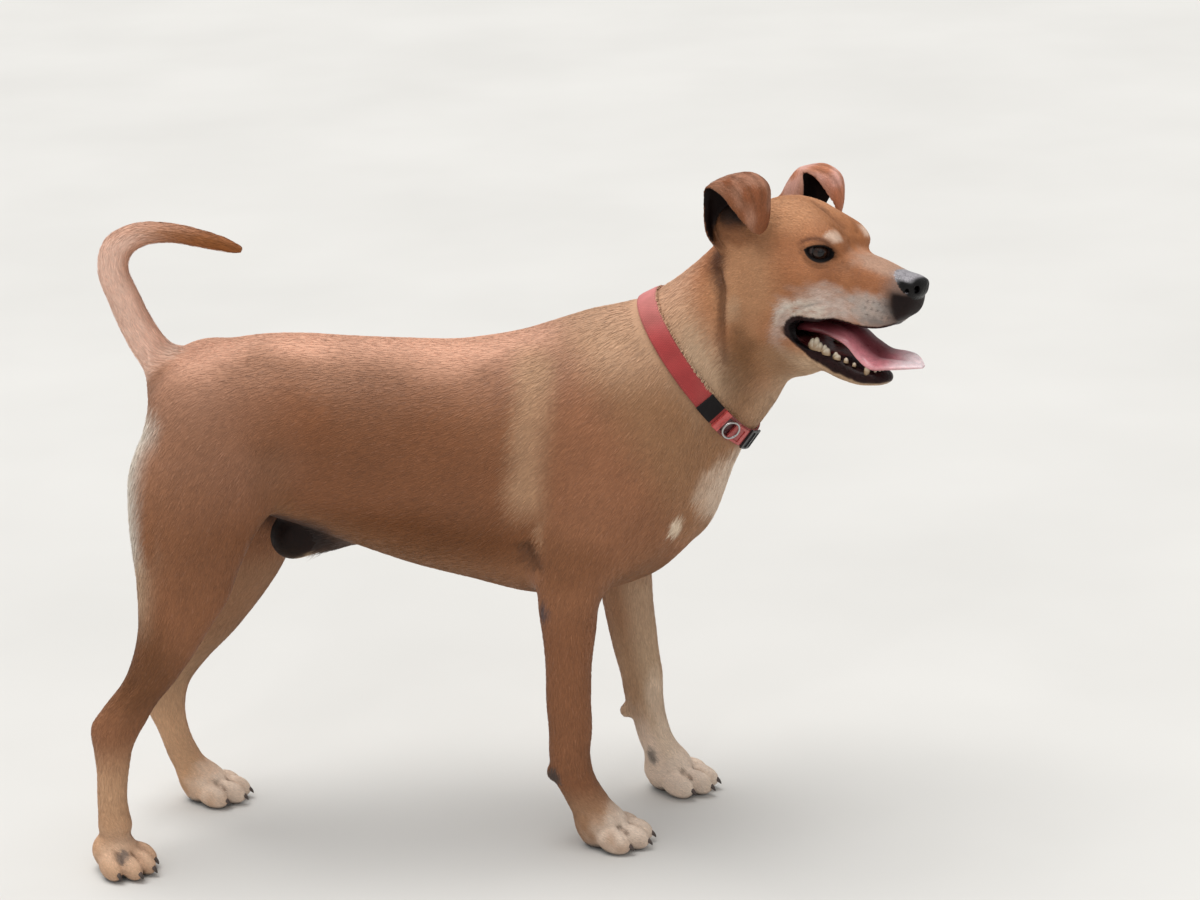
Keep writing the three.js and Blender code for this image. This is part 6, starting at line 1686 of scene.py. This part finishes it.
def tube(loops, closed=False, caps=(True, True)):
    """Triangles between loops of points, with the first and last one closed by a fan."""
    L = np.asarray(loops, float)
    n, k = L.shape[:2]
    V = L.reshape(-1, 3)
    T = []
    for i in range(n if closed else n - 1):
        a0, b0 = i * k, ((i + 1) % n) * k
        j = np.arange(k)
        j2 = (j + 1) % k
        T += [np.column_stack([a0 + j, a0 + j2, b0 + j2]), np.column_stack([a0 + j, b0 + j2, b0 + j])]
    if not closed:
        for end, base, turn in ((0, 0, caps[0]), (n - 1, (n - 1) * k, caps[1])):
            c = len(V)
            V = np.vstack([V, L[end].mean(0)[None]])
            j = np.arange(k)
            j2 = (j + 1) % k
            f = np.column_stack([np.full(k, c), base + j2, base + j])
            T.append(f if end == 0 else f[:, ::-1])
    T = np.vstack(T)
    a, b, c = V[T[:, 0]], V[T[:, 1]], V[T[:, 2]]
    if (a * np.cross(b - V.mean(0), c - V.mean(0))).sum() < 0 and not closed:
        pass
    vol = ((a - V.mean(0)) * np.cross(b - V.mean(0), c - V.mean(0))).sum()
    return V, (T if vol > 0 else T[:, ::-1])


def joined(parts):
    V, T, n = [], [], 0
    for v, t in parts:
        V.append(v)
        T.append(np.asarray(t) + n)
        n += len(v)
    return np.vstack(V), np.vstack(T)


# ------------------------------------------------------------------ eyes
def eye_finish():
    f = Finish("eye", Roughness=0.06, IOR=1.05, Coat_Weight=1.0, Coat_Roughness=0.02, Coat_IOR=1.38)
    n = f.noise(f.space((0.0009, 0.0009, 0.0009)), detail=3)
    f.out("Base Color", f.scaled(f.attribute("tone"), f.span(n, 0.3, 0.7, 0.75, 1.3)))
    f.out("Roughness", f.span(n, 0.3, 0.7, 0.04, 0.09))
    return f.material


MAT_EYE = eye_finish()


def eyeball(s):
    az, el = math.radians(40), math.radians(2)
    g = np.array([math.cos(az) * math.cos(el), s * math.sin(az) * math.cos(el), math.sin(el)])
    side = unit(np.cross((0, 0, 1.0), g))
    up = np.cross(g, side)
    th = np.concatenate([np.linspace(0, 50, 34), np.linspace(53, 110, 16), np.linspace(120, 180, 6)])
    k = 64
    ph = np.linspace(0, 2 * np.pi, k, endpoint=False)
    R = EYE_R - 0.05
    V, col = [], []
    for t in th:
        a = math.radians(t)
        bulge = 0.55 * (0.5 + 0.5 * math.cos(math.pi * min(t / 42, 1)))      # the cornea stands forward
        r = R + bulge - 0.35 * float(smooth(36, 44, t)) * float(smooth(60, 46, t))
        for p in ph:
            V.append(np.array([EYE[0], s * EYE[1], EYE[2]]) + r * (math.cos(a) * g + math.sin(a) * (math.cos(p) * side + math.sin(p) * up)))
            fibre = 0.85 + 0.3 * math.sin(p * 23 + 3 * math.sin(p * 5)) * math.sin(p * 41)
            c = np.array([0.0045, 0.004, 0.0045])
            iris = np.array([0.030, 0.013, 0.008]) * fibre * (1.2 - 0.7 * abs((t - 26) / 14))
            c = lerp(c, iris, float(smooth(14, 17, t)))
            c = lerp(c, np.array([0.012, 0.009, 0.009]), float(smooth(36.5, 41, t)))
            c = lerp(c, np.array([0.060, 0.038, 0.034]), float(smooth(44, 54, t)))
            q = (math.cos(p) * side + math.sin(p) * up) * math.sin(a)
            inner = float(smooth(46, 60, t)) * float(smooth(0.15, 0.6, q[0]))
            c = lerp(c, np.array([0.055, 0.022, 0.020]), inner)
            c = lerp(c, c * 0.45, float(smooth(0.25, 0.62, q[2])))                 # shade of the upper lid
            V[-1] = V[-1]
            col.append(c)
    V = np.array(V)
    n = len(th)
    T = []
    for i in range(n - 1):
        j = np.arange(k)
        j2 = (j + 1) % k
        a0, b0 = i * k, (i + 1) * k
        T += [np.column_stack([a0 + j, b0 + j, b0 + j2]), np.column_stack([a0 + j, b0 + j2, a0 + j2])]
    T = np.vstack(T)
    T = T[np.linalg.norm(face_normals(V, T), axis=1) > 1e-9]
    if ((V[T].mean(1) - (EYE[0], s * EYE[1], EYE[2])) * face_normals(V, T)).sum() < 0:
        T = T[:, ::-1]
    used, inv = np.unique(np.round(V, 6), axis=0, return_inverse=True)
    first = np.zeros(len(used), int)
    first[inv.ravel()[::-1]] = np.arange(len(V))[::-1]
    T = inv.ravel()[T]
    T = T[(T[:, 0] != T[:, 1]) & (T[:, 1] != T[:, 2]) & (T[:, 2] != T[:, 0])]
    name = "eye_right" if s < 0 else "eye_left"
    mesh_of(name + "_ball", metres(from_head(used)), T, (name,), {"tone": np.array(col)[first]}, (MAT_EYE,))


for s in (-1, 1):
    eyeball(s)

# ------------------------------------------------------------------ tongue
TONGUE = [(-34, -88, 14, 5, 6), (-20, -84.5, 17, 6.5, 7), (8, -82, 18.5, 6, 7), (32, -84.5, 19, 5.5, 6.5), (50, -94, 19.5, 5, 5.5),
          (68, -100, 19.5, 4.5, 5), (88, -97, 17.8, 3.6, 4.2), (103, -94.5, 13.5, 2.8, 3.4), (114, -94, 8, 1.9, 2.2), (121.2, -94.6, 2.6, 1.0, 1.2)]


def tongue_finish():
    f = Finish("tongue", Roughness=0.34, IOR=1.4, Coat_Weight=0.45, Coat_Roughness=0.14, Subsurface_Weight=0.12)
    f.shader.inputs["Subsurface Radius"].default_value = (0.004, 0.0014, 0.0012)
    p = f.cells(f.space((0.0011, 0.0011, 0.0011)))
    n = f.noise(f.space((0.006, 0.003, 0.003), HEAD_TURN), detail=4)
    f.out("Base Color", f.scaled(f.attribute("tone"), f.math("ADD", f.span(n, 0.3, 0.7, 0.88, 1.12), f.span(p, 0.0, 0.6, 0.06, -0.10))))
    f.out("Roughness", f.span(n, 0.3, 0.7, 0.26, 0.46))
    f.out("Normal", f.bump(f.math("ADD", f.math("MULTIPLY", p, -0.6), f.math("MULTIPLY", n, 0.5)), 0.5, 0.0006))
    return f.material


def tongue():
    S = curve(TONGUE, 7)
    k = 44
    loops, cols = [], []
    n = len(S)
    for i, (x, z, w, up, dn) in enumerate(S):
        tilt = math.radians(5 if x < 0 else min(25, 5 + 0.36 * x))
        t = np.linspace(0, 2 * np.pi, k, endpoint=False)
        c, sn = np.cos(t), np.sin(t)
        e = 0.82
        sd = w * np.sign(c) * np.abs(c) ** e
        h = (up + dn) / 2
        v = h * np.sign(sn) * np.abs(sn) ** 0.9
        top = sn > 0
        groove = 1.9 * np.exp(-(sd / 2.6) ** 2) * smooth(-34, -5, x) * smooth(121, 96, x)
        cup = 1.2 * (np.abs(sd) / max(w, 1)) ** 2 * smooth(30, 90, x) * smooth(121, 110, x)
        v = np.where(top, v - groove + cup, v * (0.85 + 0.15 * np.abs(c)) + 0.4 * cup)
        wave = 0.5 * math.sin(x * 0.13) * (sd / max(w, 1)) * smooth(20, 60, x)
        v = v + wave
        P = np.column_stack([np.full(k, x) - 0.06 * np.abs(sd) * smooth(60, 110, x), math.cos(tilt) * sd - math.sin(tilt) * v, z + math.sin(tilt) * sd + math.cos(tilt) * v])
        loops.append(from_head(P))
        # the tongue: dark red at the back, near white towards the tip, darker beneath and paler at the edges; painted
        # shade along its groove and over its far half and back, where the palate shades it
        body = lerp(np.array([0.36, 0.075, 0.085]), np.array([0.66, 0.235, 0.27]), float(smooth(-20, 60, x)))
        body = lerp(body, np.array([0.98, 0.82, 0.84]), float(smooth(76, 108, x)) * 0.9)
        col = np.repeat(body[None], k, 0)
        col = mix(col, np.array([0.50, 0.12, 0.15]), 0.55 * np.exp(-(sd / 2.2) ** 2) * top * smooth(110, 80, x))
        col = mix(col, np.array([0.80, 0.40, 0.42]), 0.5 * smooth(0.8, 1.0, np.abs(sd) / max(w, 1)) * smooth(0, 30, x))
        col = mix(col, np.array([0.42, 0.10, 0.12]), 0.5 * (~top) * np.ones(k))
        col = mix(col, np.array([0.115, 0.020, 0.026]), 0.90 * np.clip(smooth(-14, 4, sd) * smooth(92, 64, x) + smooth(34, 4, x), 0, 1))
        cols.append(col)
    V, T = tube(loops)
    C = np.vstack(cols + [cols[0].mean(0)[None], cols[-1].mean(0)[None]])
    mesh_of("tongue_body", metres(V), T, ("tongue",), {"tone": C}, (tongue_finish(),))


tongue()

# ------------------------------------------------------------------ lower teeth, in the lower jaw's gum
# forward, sideways, root height, crown height, half length, half width, how pointed
TEETH = [(-1.0, 22.3, -104, -95.0, 8.6, 3.9, 0.05), (12.6, 21.3, -106, -98.6, 5.6, 3.3, 0.05), (26.0, 19.7, -108, -102.4, 4.6, 2.8, 0.05),
         (-5.0, 22.4, -103, -92.6, 4.4, 3.6, 0.5), (-0.2, 22.2, -103, -90.4, 4.4, 4.0, 0.4), (5.0, 22.0, -104, -94.6, 3.6, 3.4, 0.6),
         (10.6, 21.4, -105, -95.8, 3.0, 3.0, 0.4), (15.0, 21.0, -105, -98.6, 2.7, 2.8, 0.7), (24.4, 19.8, -107, -100.4, 2.9, 2.5, 0.4),
         (28.4, 19.4, -107, -102.6, 2.2, 2.2, 0.7), (37, 18.2, -109, -103.6, 2.9, 2.3, 0.4), (47, 17, -110.5, -106.4, 2.4, 2.1, 0.5),
         (62, 14.4, -116, -103.6, 3.5, 3.0, 0.3),
         (69, 9.4, -116, -108.2, 2.0, 2.3, 0.8), (71.5, 5.6, -116, -108.6, 1.9, 2.1, 0.8), (72.4, 1.9, -116, -108.8, 1.8, 1.8, 0.8)]


def enamel_finish():
    f = Finish("enamel", Roughness=0.2, IOR=1.55, Coat_Weight=0.4, Coat_Roughness=0.1, Subsurface_Weight=0.08)
    f.shader.inputs["Subsurface Radius"].default_value = (0.002, 0.0016, 0.001)
    n = f.noise(f.space((0.004, 0.004, 0.004)), detail=4)
    f.out("Base Color", f.scaled(f.attribute("tone"), f.span(n, 0.3, 0.7, 0.86, 1.08)))
    f.out("Roughness", f.span(n, 0.3, 0.7, 0.14, 0.3))
    f.out("Normal", f.bump(n, 0.2, 0.0006))
    return f.material


def tooth(x, y, z0, z1, l, w, point, s):
    k = 14
    loops, cols = [], []
    for j, t in enumerate((0, 0.3, 0.55, 0.75, 0.9, 0.97, 1.0)):
        shrink = (1 - t ** 2.2) ** 0.5 * (1 - point * 0.25) + 0.02
        r = lerp(1.0, shrink, t ** 0.7) if t < 1 else 0.12
        a = np.linspace(0, 2 * np.pi, k, endpoint=False)
        cusp = 1 + 0.10 * np.cos(2 * a) * (l > 4.5)
        P = np.column_stack([x + l * r * np.cos(a) * cusp - 1.2 * t * (point < 0.3), s * (y + 0) + w * r * np.sin(a), np.full(k, lerp(z0, z1, t)) + (0.9 * np.cos(2 * a) * t * (l > 4.5))])
        loops.append(from_head(P))
        c = lerp(np.array([0.34, 0.22, 0.12]), np.array([0.66, 0.56, 0.42]), float(smooth(0.2, 0.8, t)))
        cols.append(np.repeat(c[None], k, 0))
    V, T = tube(loops)
    return V, T, np.vstack(cols + [cols[0][:1], cols[-1][:1]])


def teeth():
    parts = [tooth(*t, s) for t in TEETH for s in (-1, 1)]
    V, T = joined([(v, t) for v, t, _ in parts])
    mesh_of("teeth", metres(V), T, (), {"tone": np.vstack([c for _, _, c in parts])}, (enamel_finish(),))


teeth()


# ------------------------------------------------------------------ claws
def claw_finish():
    f = Finish("claw", Roughness=0.38, IOR=1.5, Coat_Weight=0.15, Coat_Roughness=0.25)
    n = f.noise(f.space((0.0008, 0.004, 0.004)), detail=3)
    m = f.noise(f.space((0.005, 0.005, 0.005)), detail=3)
    f.out("Base Color", f.scaled(f.attribute("tone"), f.math("ADD", f.span(n, 0.3, 0.7, 0.75, 1.1), f.span(m, 0.3, 0.7, -0.2, 0.25))))
    f.out("Roughness", f.span(m, 0.3, 0.7, 0.3, 0.5))
    f.out("Normal", f.bump(n, 0.3, 0.0004))
    return f.material


MAT_CLAW = claw_finish()
for leg in PAWS:
    for i, (x, ty, sp) in enumerate(TOES):
        c, n = math.cos(math.radians(sp)), math.sin(math.radians(sp))
        loops, cols = [], []
        for a, h, rw, rh in curve([(11, 13, 2.9, 3.6), (16, 12.4, 2.9, 3.5), (19, 10.8, 2.7, 3.2), (21.4, 8.6, 2.1, 2.5), (22.7, 6.8, 1.0, 1.2)], 4):
            t = np.linspace(0, 2 * np.pi, 14, endpoint=False)
            flat = np.where(np.sin(t) < 0, 0.75, 1.0)
            b, hh = rw * np.cos(t), h + rh * np.sin(t) * flat
            loops.append(paw_place(leg, np.column_stack([x + a * c - b * n, ty + a * n + b * c, hh])))
            dark = lerp(np.array([0.16, 0.10, 0.075]), np.array([0.045, 0.032, 0.028]), (a - 11) / 12)
            cols.append(np.repeat(dark[None], 14, 0))
        V, T = tube(loops)
        mesh_of("%s_nail_%d" % (leg, i + 1), metres(V), T, ("%s_claw_%d" % (leg, i + 1),),
                {"tone": np.vstack(cols + [cols[0][:1], cols[-1][:1]])}, (MAT_CLAW,))

# ------------------------------------------------------------------ collar
C1 = unit(np.array([0, -1.0, 0]) - COLLAR_N * np.dot((0, -1.0, 0), COLLAR_N))
C2 = np.cross(COLLAR_N, C1)
W2, THICK, SUNK, TOP = 11.0, 2.8, 1.2, 1.6


def on_neck(deg, along=0.0):
    deg = np.radians(np.atleast_1d(np.asarray(deg, float)))
    d = np.cos(deg)[:, None] * C1 + np.sin(deg)[:, None] * C2
    o = COLLAR_AT + COLLAR_N * along
    a, b = np.full(len(deg), 30.0), np.full(len(deg), 140.0)
    for _ in range(26):
        m = (a + b) / 2
        inside = form(o + d * m[:, None]) < 0
        a, b = np.where(inside, m, a), np.where(inside, b, m)
    return o + d * a[:, None]


def frames(deg):
    p = on_neck(deg)
    along = unit(on_neck(deg, W2) - on_neck(deg, -W2))
    rnd = unit(on_neck(np.asarray(deg) + 4) - on_neck(np.asarray(deg) - 4))
    out = unit(np.cross(rnd, along))
    if (out[0] * C1).sum() * math.cos(math.radians(np.atleast_1d(deg)[0])) + (out[0] * C2).sum() * math.sin(math.radians(np.atleast_1d(deg)[0])) < 0:
        out = -out
    return p, along, rnd, out


def band(deg, shape, closed=False, ease=None):
    """Sweeps a section (across, height) along part of the collar; ease shrinks it towards the ends."""
    p, along, rnd, out = frames(deg)
    shape = np.asarray(shape, float)
    loops = []
    for i in range(len(p)):
        s = shape
        if ease is not None:
            s = shape * ease[i][0] + np.array([0, ease[i][1]])
        loops.append(p[i] + s[:, :1] * along[i] + s[:, 1:] * out[i])
    return tube(loops, closed)


def rounded(half, low, high, r=0.8, n=4):
    pts = []
    for cx, cy, a0 in ((half - r, high - r, 0), (-half + r, high - r, 90), (-half + r, low + r, 180), (half - r, low + r, 270)):
        for j in range(n + 1):
            a = math.radians(a0 + 90 * j / n)
            pts.append((cx + r * math.cos(a), cy + r * math.sin(a)))
    return np.array(pts)


def webbing_finish(name, along, across, weave=0.5, sheen=0.1, ior=1.35):
    f = Finish(name, Roughness=0.82, Sheen_Weight=sheen, Sheen_Roughness=0.5, IOR=ior)
    uv = f.node("UVMap", uv_map="weave").outputs[0]
    sp = f.node("SeparateXYZ")
    f.put(sp.inputs[0], uv)
    u, v = sp.outputs[0], sp.outputs[1]
    # warp threads side by side, crossed by wefts that go over and under
    a = f.math("SINE", f.math("MULTIPLY", v, across * 2 * math.pi))
    b = f.math("SINE", f.math("MULTIPLY", f.math("ADD", u, f.math("MULTIPLY", f.math("FLOOR", f.math("MULTIPLY", v, across)), 0.5 / along)), along * 2 * math.pi))
    ribs = f.math("MULTIPLY", f.math("ADD", f.math("ABSOLUTE", a), f.math("MULTIPLY", b, 0.6)), 0.5)
    n = f.noise(f.space((0.0009, 0.0009, 0.0009)), detail=3)
    big = f.noise(f.space((0.018, 0.018, 0.018)), detail=3)
    # a line of stitches near each edge
    edge = f.math("ABSOLUTE", f.math("SUBTRACT", f.math("ABSOLUTE", f.math("SUBTRACT", v, 0.5)), 0.40))
    on = f.math("MULTIPLY", f.math("LESS_THAN", edge, 0.022), f.math("GREATER_THAN", f.math("SINE", f.math("MULTIPLY", u, along * 0.55 * 2 * math.pi)), -0.35))
    shade = f.math("ADD", f.span(ribs, -0.2, 0.8, 0.74, 1.1), f.math("ADD", f.span(n, 0.3, 0.7, -0.08, 0.08), f.span(big, 0.35, 0.65, -0.07, 0.09)))
    f.out("Base Color", f.scaled(f.attribute("tone"), f.math("ADD", shade, f.math("MULTIPLY", on, 0.20))))
    f.out("Roughness", f.span(n, 0.3, 0.7, 0.74, 0.9))
    f.out("Normal", f.bump(f.math("ADD", ribs, f.math("ADD", f.math("MULTIPLY", on, 0.9), f.math("MULTIPLY", n, 0.3))), weave, 0.0005))
    return f.material


def strap():
    m = 200
    deg = np.arange(m) * 360 / m
    across = np.linspace(1, -1, 13)
    topside = [(W2 * a, TOP - 0.55 * abs(a) ** 6 - 0.10 * (abs(abs(a) - 0.8) < 0.06)) for a in across]
    under = [(-W2 * 0.98, -SUNK), (-W2 * 0.4, -SUNK - 0.1), (W2 * 0.4, -SUNK - 0.1), (W2 * 0.98, -SUNK)]
    shape = np.array(topside + under)
    V, T = band(deg, shape, True)
    k = len(shape)
    u = np.repeat(np.arange(m) / m, k)
    v = np.tile(np.concatenate([(1 - across) / 2, [0.98, 0.7, 0.3, 0.02]]), m)
    # paler and pinker towards the top
    z = V[:, 2]
    paler_top = smooth(560, 625, z)
    col = mix(np.repeat(np.array([[0.41, 0.050, 0.050]]), len(V), 0), np.array([0.64, 0.250, 0.235]), 0.95 * paler_top)
    col = mix(col, np.array([0.20, 0.05, 0.04]), 0.35 * smooth(0.72, 1.0, np.abs(2 * v - 1)))
    col = mix(col, np.array([0.30, 0.12, 0.09]), 0.35 * noise3(V, 14, 41) * smooth(0.4, 0.6, noise3(V, 40, 42)))
    # the loop's last step meets the first: a second set of points there keeps the weave's map whole
    V2, T2 = np.vstack([V, V[:k]]), T.copy()
    last = (T2 >= (m - 1) * k).any(1)
    T2[last] = np.where(T2[last] < k, T2[last] + m * k, T2[last])
    u, v, col = np.append(u, np.ones(k)), np.append(v, v[:k]), np.vstack([col, col[:k]])
    mesh_of("collar_webbing", metres(V2), T2, ("collar_strap",), {"tone": col}, (webbing_finish("webbing", 260, 9),),
            uv={"weave": np.column_stack([u, v])}, sharp=60)


strap()


def plastic_finish(name, rough, spread=0.16):
    f = Finish(name, Roughness=rough, IOR=1.5, Coat_Weight=0.1, Coat_Roughness=0.2)
    n = f.noise(f.space((0.003, 0.003, 0.003)), detail=4)
    g = f.noise(f.space((0.00045, 0.00045, 0.00045)), detail=2)
    scratch = f.noise(f.space((0.0005, 0.006, 0.002), (0.4, 0.3, 0.8)), detail=2)
    f.out("Base Color", f.scaled(f.attribute("tone"), f.math("ADD", f.span(n, 0.3, 0.7, 1 - spread, 1 + spread), f.span(scratch, 0.62, 0.72, 0.0, 0.22))))
    f.out("Roughness", f.math("ADD", f.span(n, 0.3, 0.7, rough - 0.08, rough + 0.08), f.span(scratch, 0.6, 0.7, 0.0, 0.12)))
    f.out("Normal", f.bump(f.math("ADD", g, f.math("MULTIPLY", scratch, 0.5)), 0.18, 0.0003))
    return f.material


def label():
    deg = np.linspace(13.5, 30, 24)
    V, T = band(deg, rounded(W2 + 0.6, TOP + 0.36, TOP + 1.5, 0.5), False)
    k = 20
    col = np.repeat(np.array([[0.006, 0.005, 0.006]]), len(V), 0)
    u = np.append(np.repeat(np.linspace(0, 1, 24), k), [0, 1])
    loc = rounded(W2 + 0.6, 0, 1.1, 0.5)
    v = np.append(np.tile((loc[:, 0] / (W2 + 0.6) + 1) / 2, 24), [0.5, 0.5])
    col = mix(col, np.array([0.026, 0.023, 0.023]), 0.6 * smooth(0.85, 1, np.abs(2 * v - 1)) + 0.5 * smooth(0.85, 1, np.abs(2 * u - 1)))
    mesh_of("collar_patch", metres(V), T, ("collar_label",), {"tone": col}, (webbing_finish("label_weave", 26, 16, 0.5, 0.0, 1.22),),
            uv={"weave": np.column_stack([u, v])}, sharp=50)


label()


def buckle():
    red = plastic_finish("buckle_red", 0.3)
    # the body: two cheeks with a floor between them, and bars across both ends
    parts, cols = [], []
    # one red plastic in lighter and darker copies per part: painted light on the end bars, painted shade on the cheeks,
    # the hollow's floor near black with painted shade
    LIGHT, RED_IN_PAINTED_SHADE = np.array([0.42, 0.065, 0.060]), np.array([0.060, 0.005, 0.007])
    def add(piece, colour, top=None):
        parts.append(piece)
        c = np.repeat(np.asarray(colour)[None], len(piece[0]), 0)
        cols.append(c)
    def arc(a, b, n, across, half, low, high, r):
        sh = rounded(half, low, high, r) + np.array([across, 0])
        return band(np.linspace(a, b, n), sh)
    add(arc(33.2, 49.8, 16, 0, W2 - 1.5, TOP + 0.38, TOP + 1.9, 0.5), RED_IN_PAINTED_SHADE)
    for sgn in (-1, 1):
        add(arc(33.2, 49.8, 16, sgn * (W2 - 0.9), 2.0, TOP + 0.4, TOP + 4.6, 1.0), LIGHT * 0.42)
    add(arc(33.0, 38.4, 8, 0, W2 + 1.0, TOP + 0.5, TOP + 5.0, 1.4), LIGHT * 1.25)
    add(arc(47.4, 50.0, 6, 0, W2 + 1.0, TOP + 0.5, TOP + 4.6, 1.0), LIGHT)
    V, T = joined(parts)
    mesh_of("collar_buckle_body", metres(V), T, ("collar_buckle",), {"tone": np.vstack(cols)}, (red,), sharp=35)
    parts, cols = [], []
    add(arc(50.7, 60.8, 10, 0, W2 - 1.4, TOP + 0.38, TOP + 3.2, 0.9), LIGHT * 0.85)
    for sgn in (-1, 1):
        add(arc(50.6, 58.5, 9, sgn * (W2 - 2.6), 1.5, TOP + 0.6, TOP + 4.4, 0.9), LIGHT)
    add(arc(58.0, 60.9, 5, 0, W2 - 1.1, TOP + 0.5, TOP + 4.2, 1.0), LIGHT * 1.1)
    add(arc(52.5, 55.0, 4, 0, 4.2, TOP + 2.6, TOP + 3.9, 0.6), LIGHT * 0.7)
    V, T = joined(parts)
    mesh_of("collar_buckle_tongue", metres(V), T, ("collar_buckle_catch",), {"tone": np.vstack(cols)}, (red,), sharp=35)
    black = plastic_finish("slider_black", 0.45)
    parts, cols = [], []
    INK = np.array([0.022, 0.021, 0.022])
    for sgn in (-1, 1):
        add(arc(66.2, 79.8, 12, sgn * (W2 - 0.2), 1.2, TOP + 0.4, TOP + 3.0, 0.7), INK)
    for a in (66.0, 72.0, 78.0):
        add(arc(a, a + 2.0, 4, 0, W2 + 0.4, TOP + 0.5, TOP + 3.1, 0.8), INK)
    V, T = joined(parts)
    mesh_of("collar_slide", metres(V), T, ("collar_slider",), {"tone": np.vstack(cols)}, (black,), sharp=35)
    V, T = band(np.linspace(66.5, 79.5, 14), rounded(W2 - 1.6, TOP + 0.36, TOP + 1.7, 0.5))
    loc = rounded(W2 - 1.6, 0, 1.3, 0.5)
    u = np.append(np.repeat(np.linspace(0, 1, 14), len(loc)), [0, 1])
    v = np.append(np.tile((loc[:, 0] / (W2 - 1.6) + 1) / 2, 14), [0.5, 0.5])
    mesh_of("collar_end", metres(V), T, (), {"tone": np.repeat(INK[None] * 1.3, len(V), 0)}, (webbing_finish("end_weave", 22, 9, 0.45, 0.03),),
            uv={"weave": np.column_stack([u, v])}, sharp=50)


buckle()


def ring():
    f = Finish("ring_steel", Metallic=1.0, Roughness=0.24)
    n = f.noise(f.space((0.002, 0.002, 0.002)), detail=5)
    s = f.noise(f.space((0.0003, 0.003, 0.003), (0.3, 0.9, 0.2)), detail=2)
    f.out("Base Color", f.scaled(f.attribute("tone"), f.span(n, 0.3, 0.7, 0.78, 1.05)))
    f.out("Roughness", f.math("ADD", f.span(n, 0.3, 0.7, 0.16, 0.34), f.span(s, 0.6, 0.7, 0.0, 0.15)))
    f.out("Normal", f.bump(f.math("ADD", n, s), 0.12, 0.0003))
    p, along, rnd, out = (a[0] for a in frames([44]))
    x = unit(np.cross(along, out))
    at = p + out * (TOP + 8.9)
    loops = []
    for i in range(72):
        a = i * 2 * math.pi / 72
        c = math.cos(a) * x + math.sin(a) * along
        r = 1.15
        loops.append([at + c * (9.6 + r * math.cos(b)) + out * (r * math.sin(b)) for b in np.linspace(0, 2 * math.pi, 16, endpoint=False)])
    V, T = tube(loops, True)
    mesh_of("collar_loop", metres(V), T, ("collar_ring",), {"tone": np.repeat(np.array([[0.46, 0.45, 0.44]]), len(V), 0)}, (f.material,))


ring()
log("small pieces")

# =====================================================================================================
# Camera, floor and light
# =====================================================================================================


def camera():
    c, s = math.cos(math.radians(18)), math.sin(math.radians(18))
    c2, s2 = math.cos(math.radians(2)), math.sin(math.radians(2))
    f, r0, u0 = np.array([0, c, -s]), np.array([1.0, 0, 0]), np.array([0, s, c])
    r, u = r0 * c2 - u0 * s2, r0 * s2 + u0 * c2
    cam = bpy.data.objects.new("camera", bpy.data.cameras.new("camera"))
    cam.data.lens, cam.data.sensor_width = 105, 36
    m = Matrix(((r[0], u[0], -f[0], 0), (r[1], u[1], -f[1], 0), (r[2], u[2], -f[2], 0), (0, 0, 0, 1)))
    m.translation = Vector(metres((233.964, -3582.441, 1595.044)))
    cam.matrix_world = m
    SCENE.collection.objects.link(cam)
    SCENE.camera = cam


camera()


def floor():
    f = Finish("floor", Roughness=0.9)
    n = f.noise(f.space((0.5, 0.5, 0.5)), detail=3)
    f.out("Base Color", f.blend(f.span(n, 0.3, 0.7), (0.60, 0.595, 0.575, 1), (0.64, 0.635, 0.615, 1)))
    n, R = 24, 9.0
    me = bpy.data.meshes.new("floor")
    V, Fc = [], []
    for i in range(n + 1):
        for j in range(n + 1):
            V.append((-R + 2 * R * i / n, -R + 2 * R * j / n, 0.0))
    for i in range(n):
        for j in range(n):
            a = i * (n + 1) + j
            Fc.append((a, a + n + 1, a + n + 2, a + 1))
    me.from_pydata(V, [], Fc)
    me.materials.append(f.material)
    ob = bpy.data.objects.new("floor", me)
    SCENE.collection.objects.link(ob)


floor()


def area(name, at, to, size, energy, colour=(1, 1, 1)):
    l = bpy.data.lights.new(name, "AREA")
    l.shape, l.size, l.energy, l.color = "DISK", size, energy, colour
    ob = bpy.data.objects.new(name, l)
    ob.location = at
    ob.rotation_euler = (Vector(to) - Vector(at)).to_track_quat("-Z", "Y").to_euler()
    SCENE.collection.objects.link(ob)


lamp = bpy.data.lights.new("key", "SUN")
lamp.energy, lamp.angle, lamp.color = 2.7, math.radians(48), (1.0, 0.985, 0.965)
key = bpy.data.objects.new("key", lamp)
key.rotation_euler = Vector((0.22, -0.06, -1)).to_track_quat("-Z", "Y").to_euler()
SCENE.collection.objects.link(key)
area("fill", (1.2, -3.4, 2.0), (0.1, 0, 0.35), 2.6, 8, (1.0, 0.99, 0.98))
area("glint", (-0.9, -2.7, 2.4), (0.48, -0.11, 0.66), 0.25, 6)
world = bpy.data.worlds.new("studio")
world.use_nodes = True
world.node_tree.nodes["Background"].inputs[0].default_value = (0.93, 0.93, 0.93, 1)
world.node_tree.nodes["Background"].inputs[1].default_value = 0.56
SCENE.world = world
SCENE.view_settings.view_transform = "Standard"

bpy.context.view_layer.update()
log("scene")
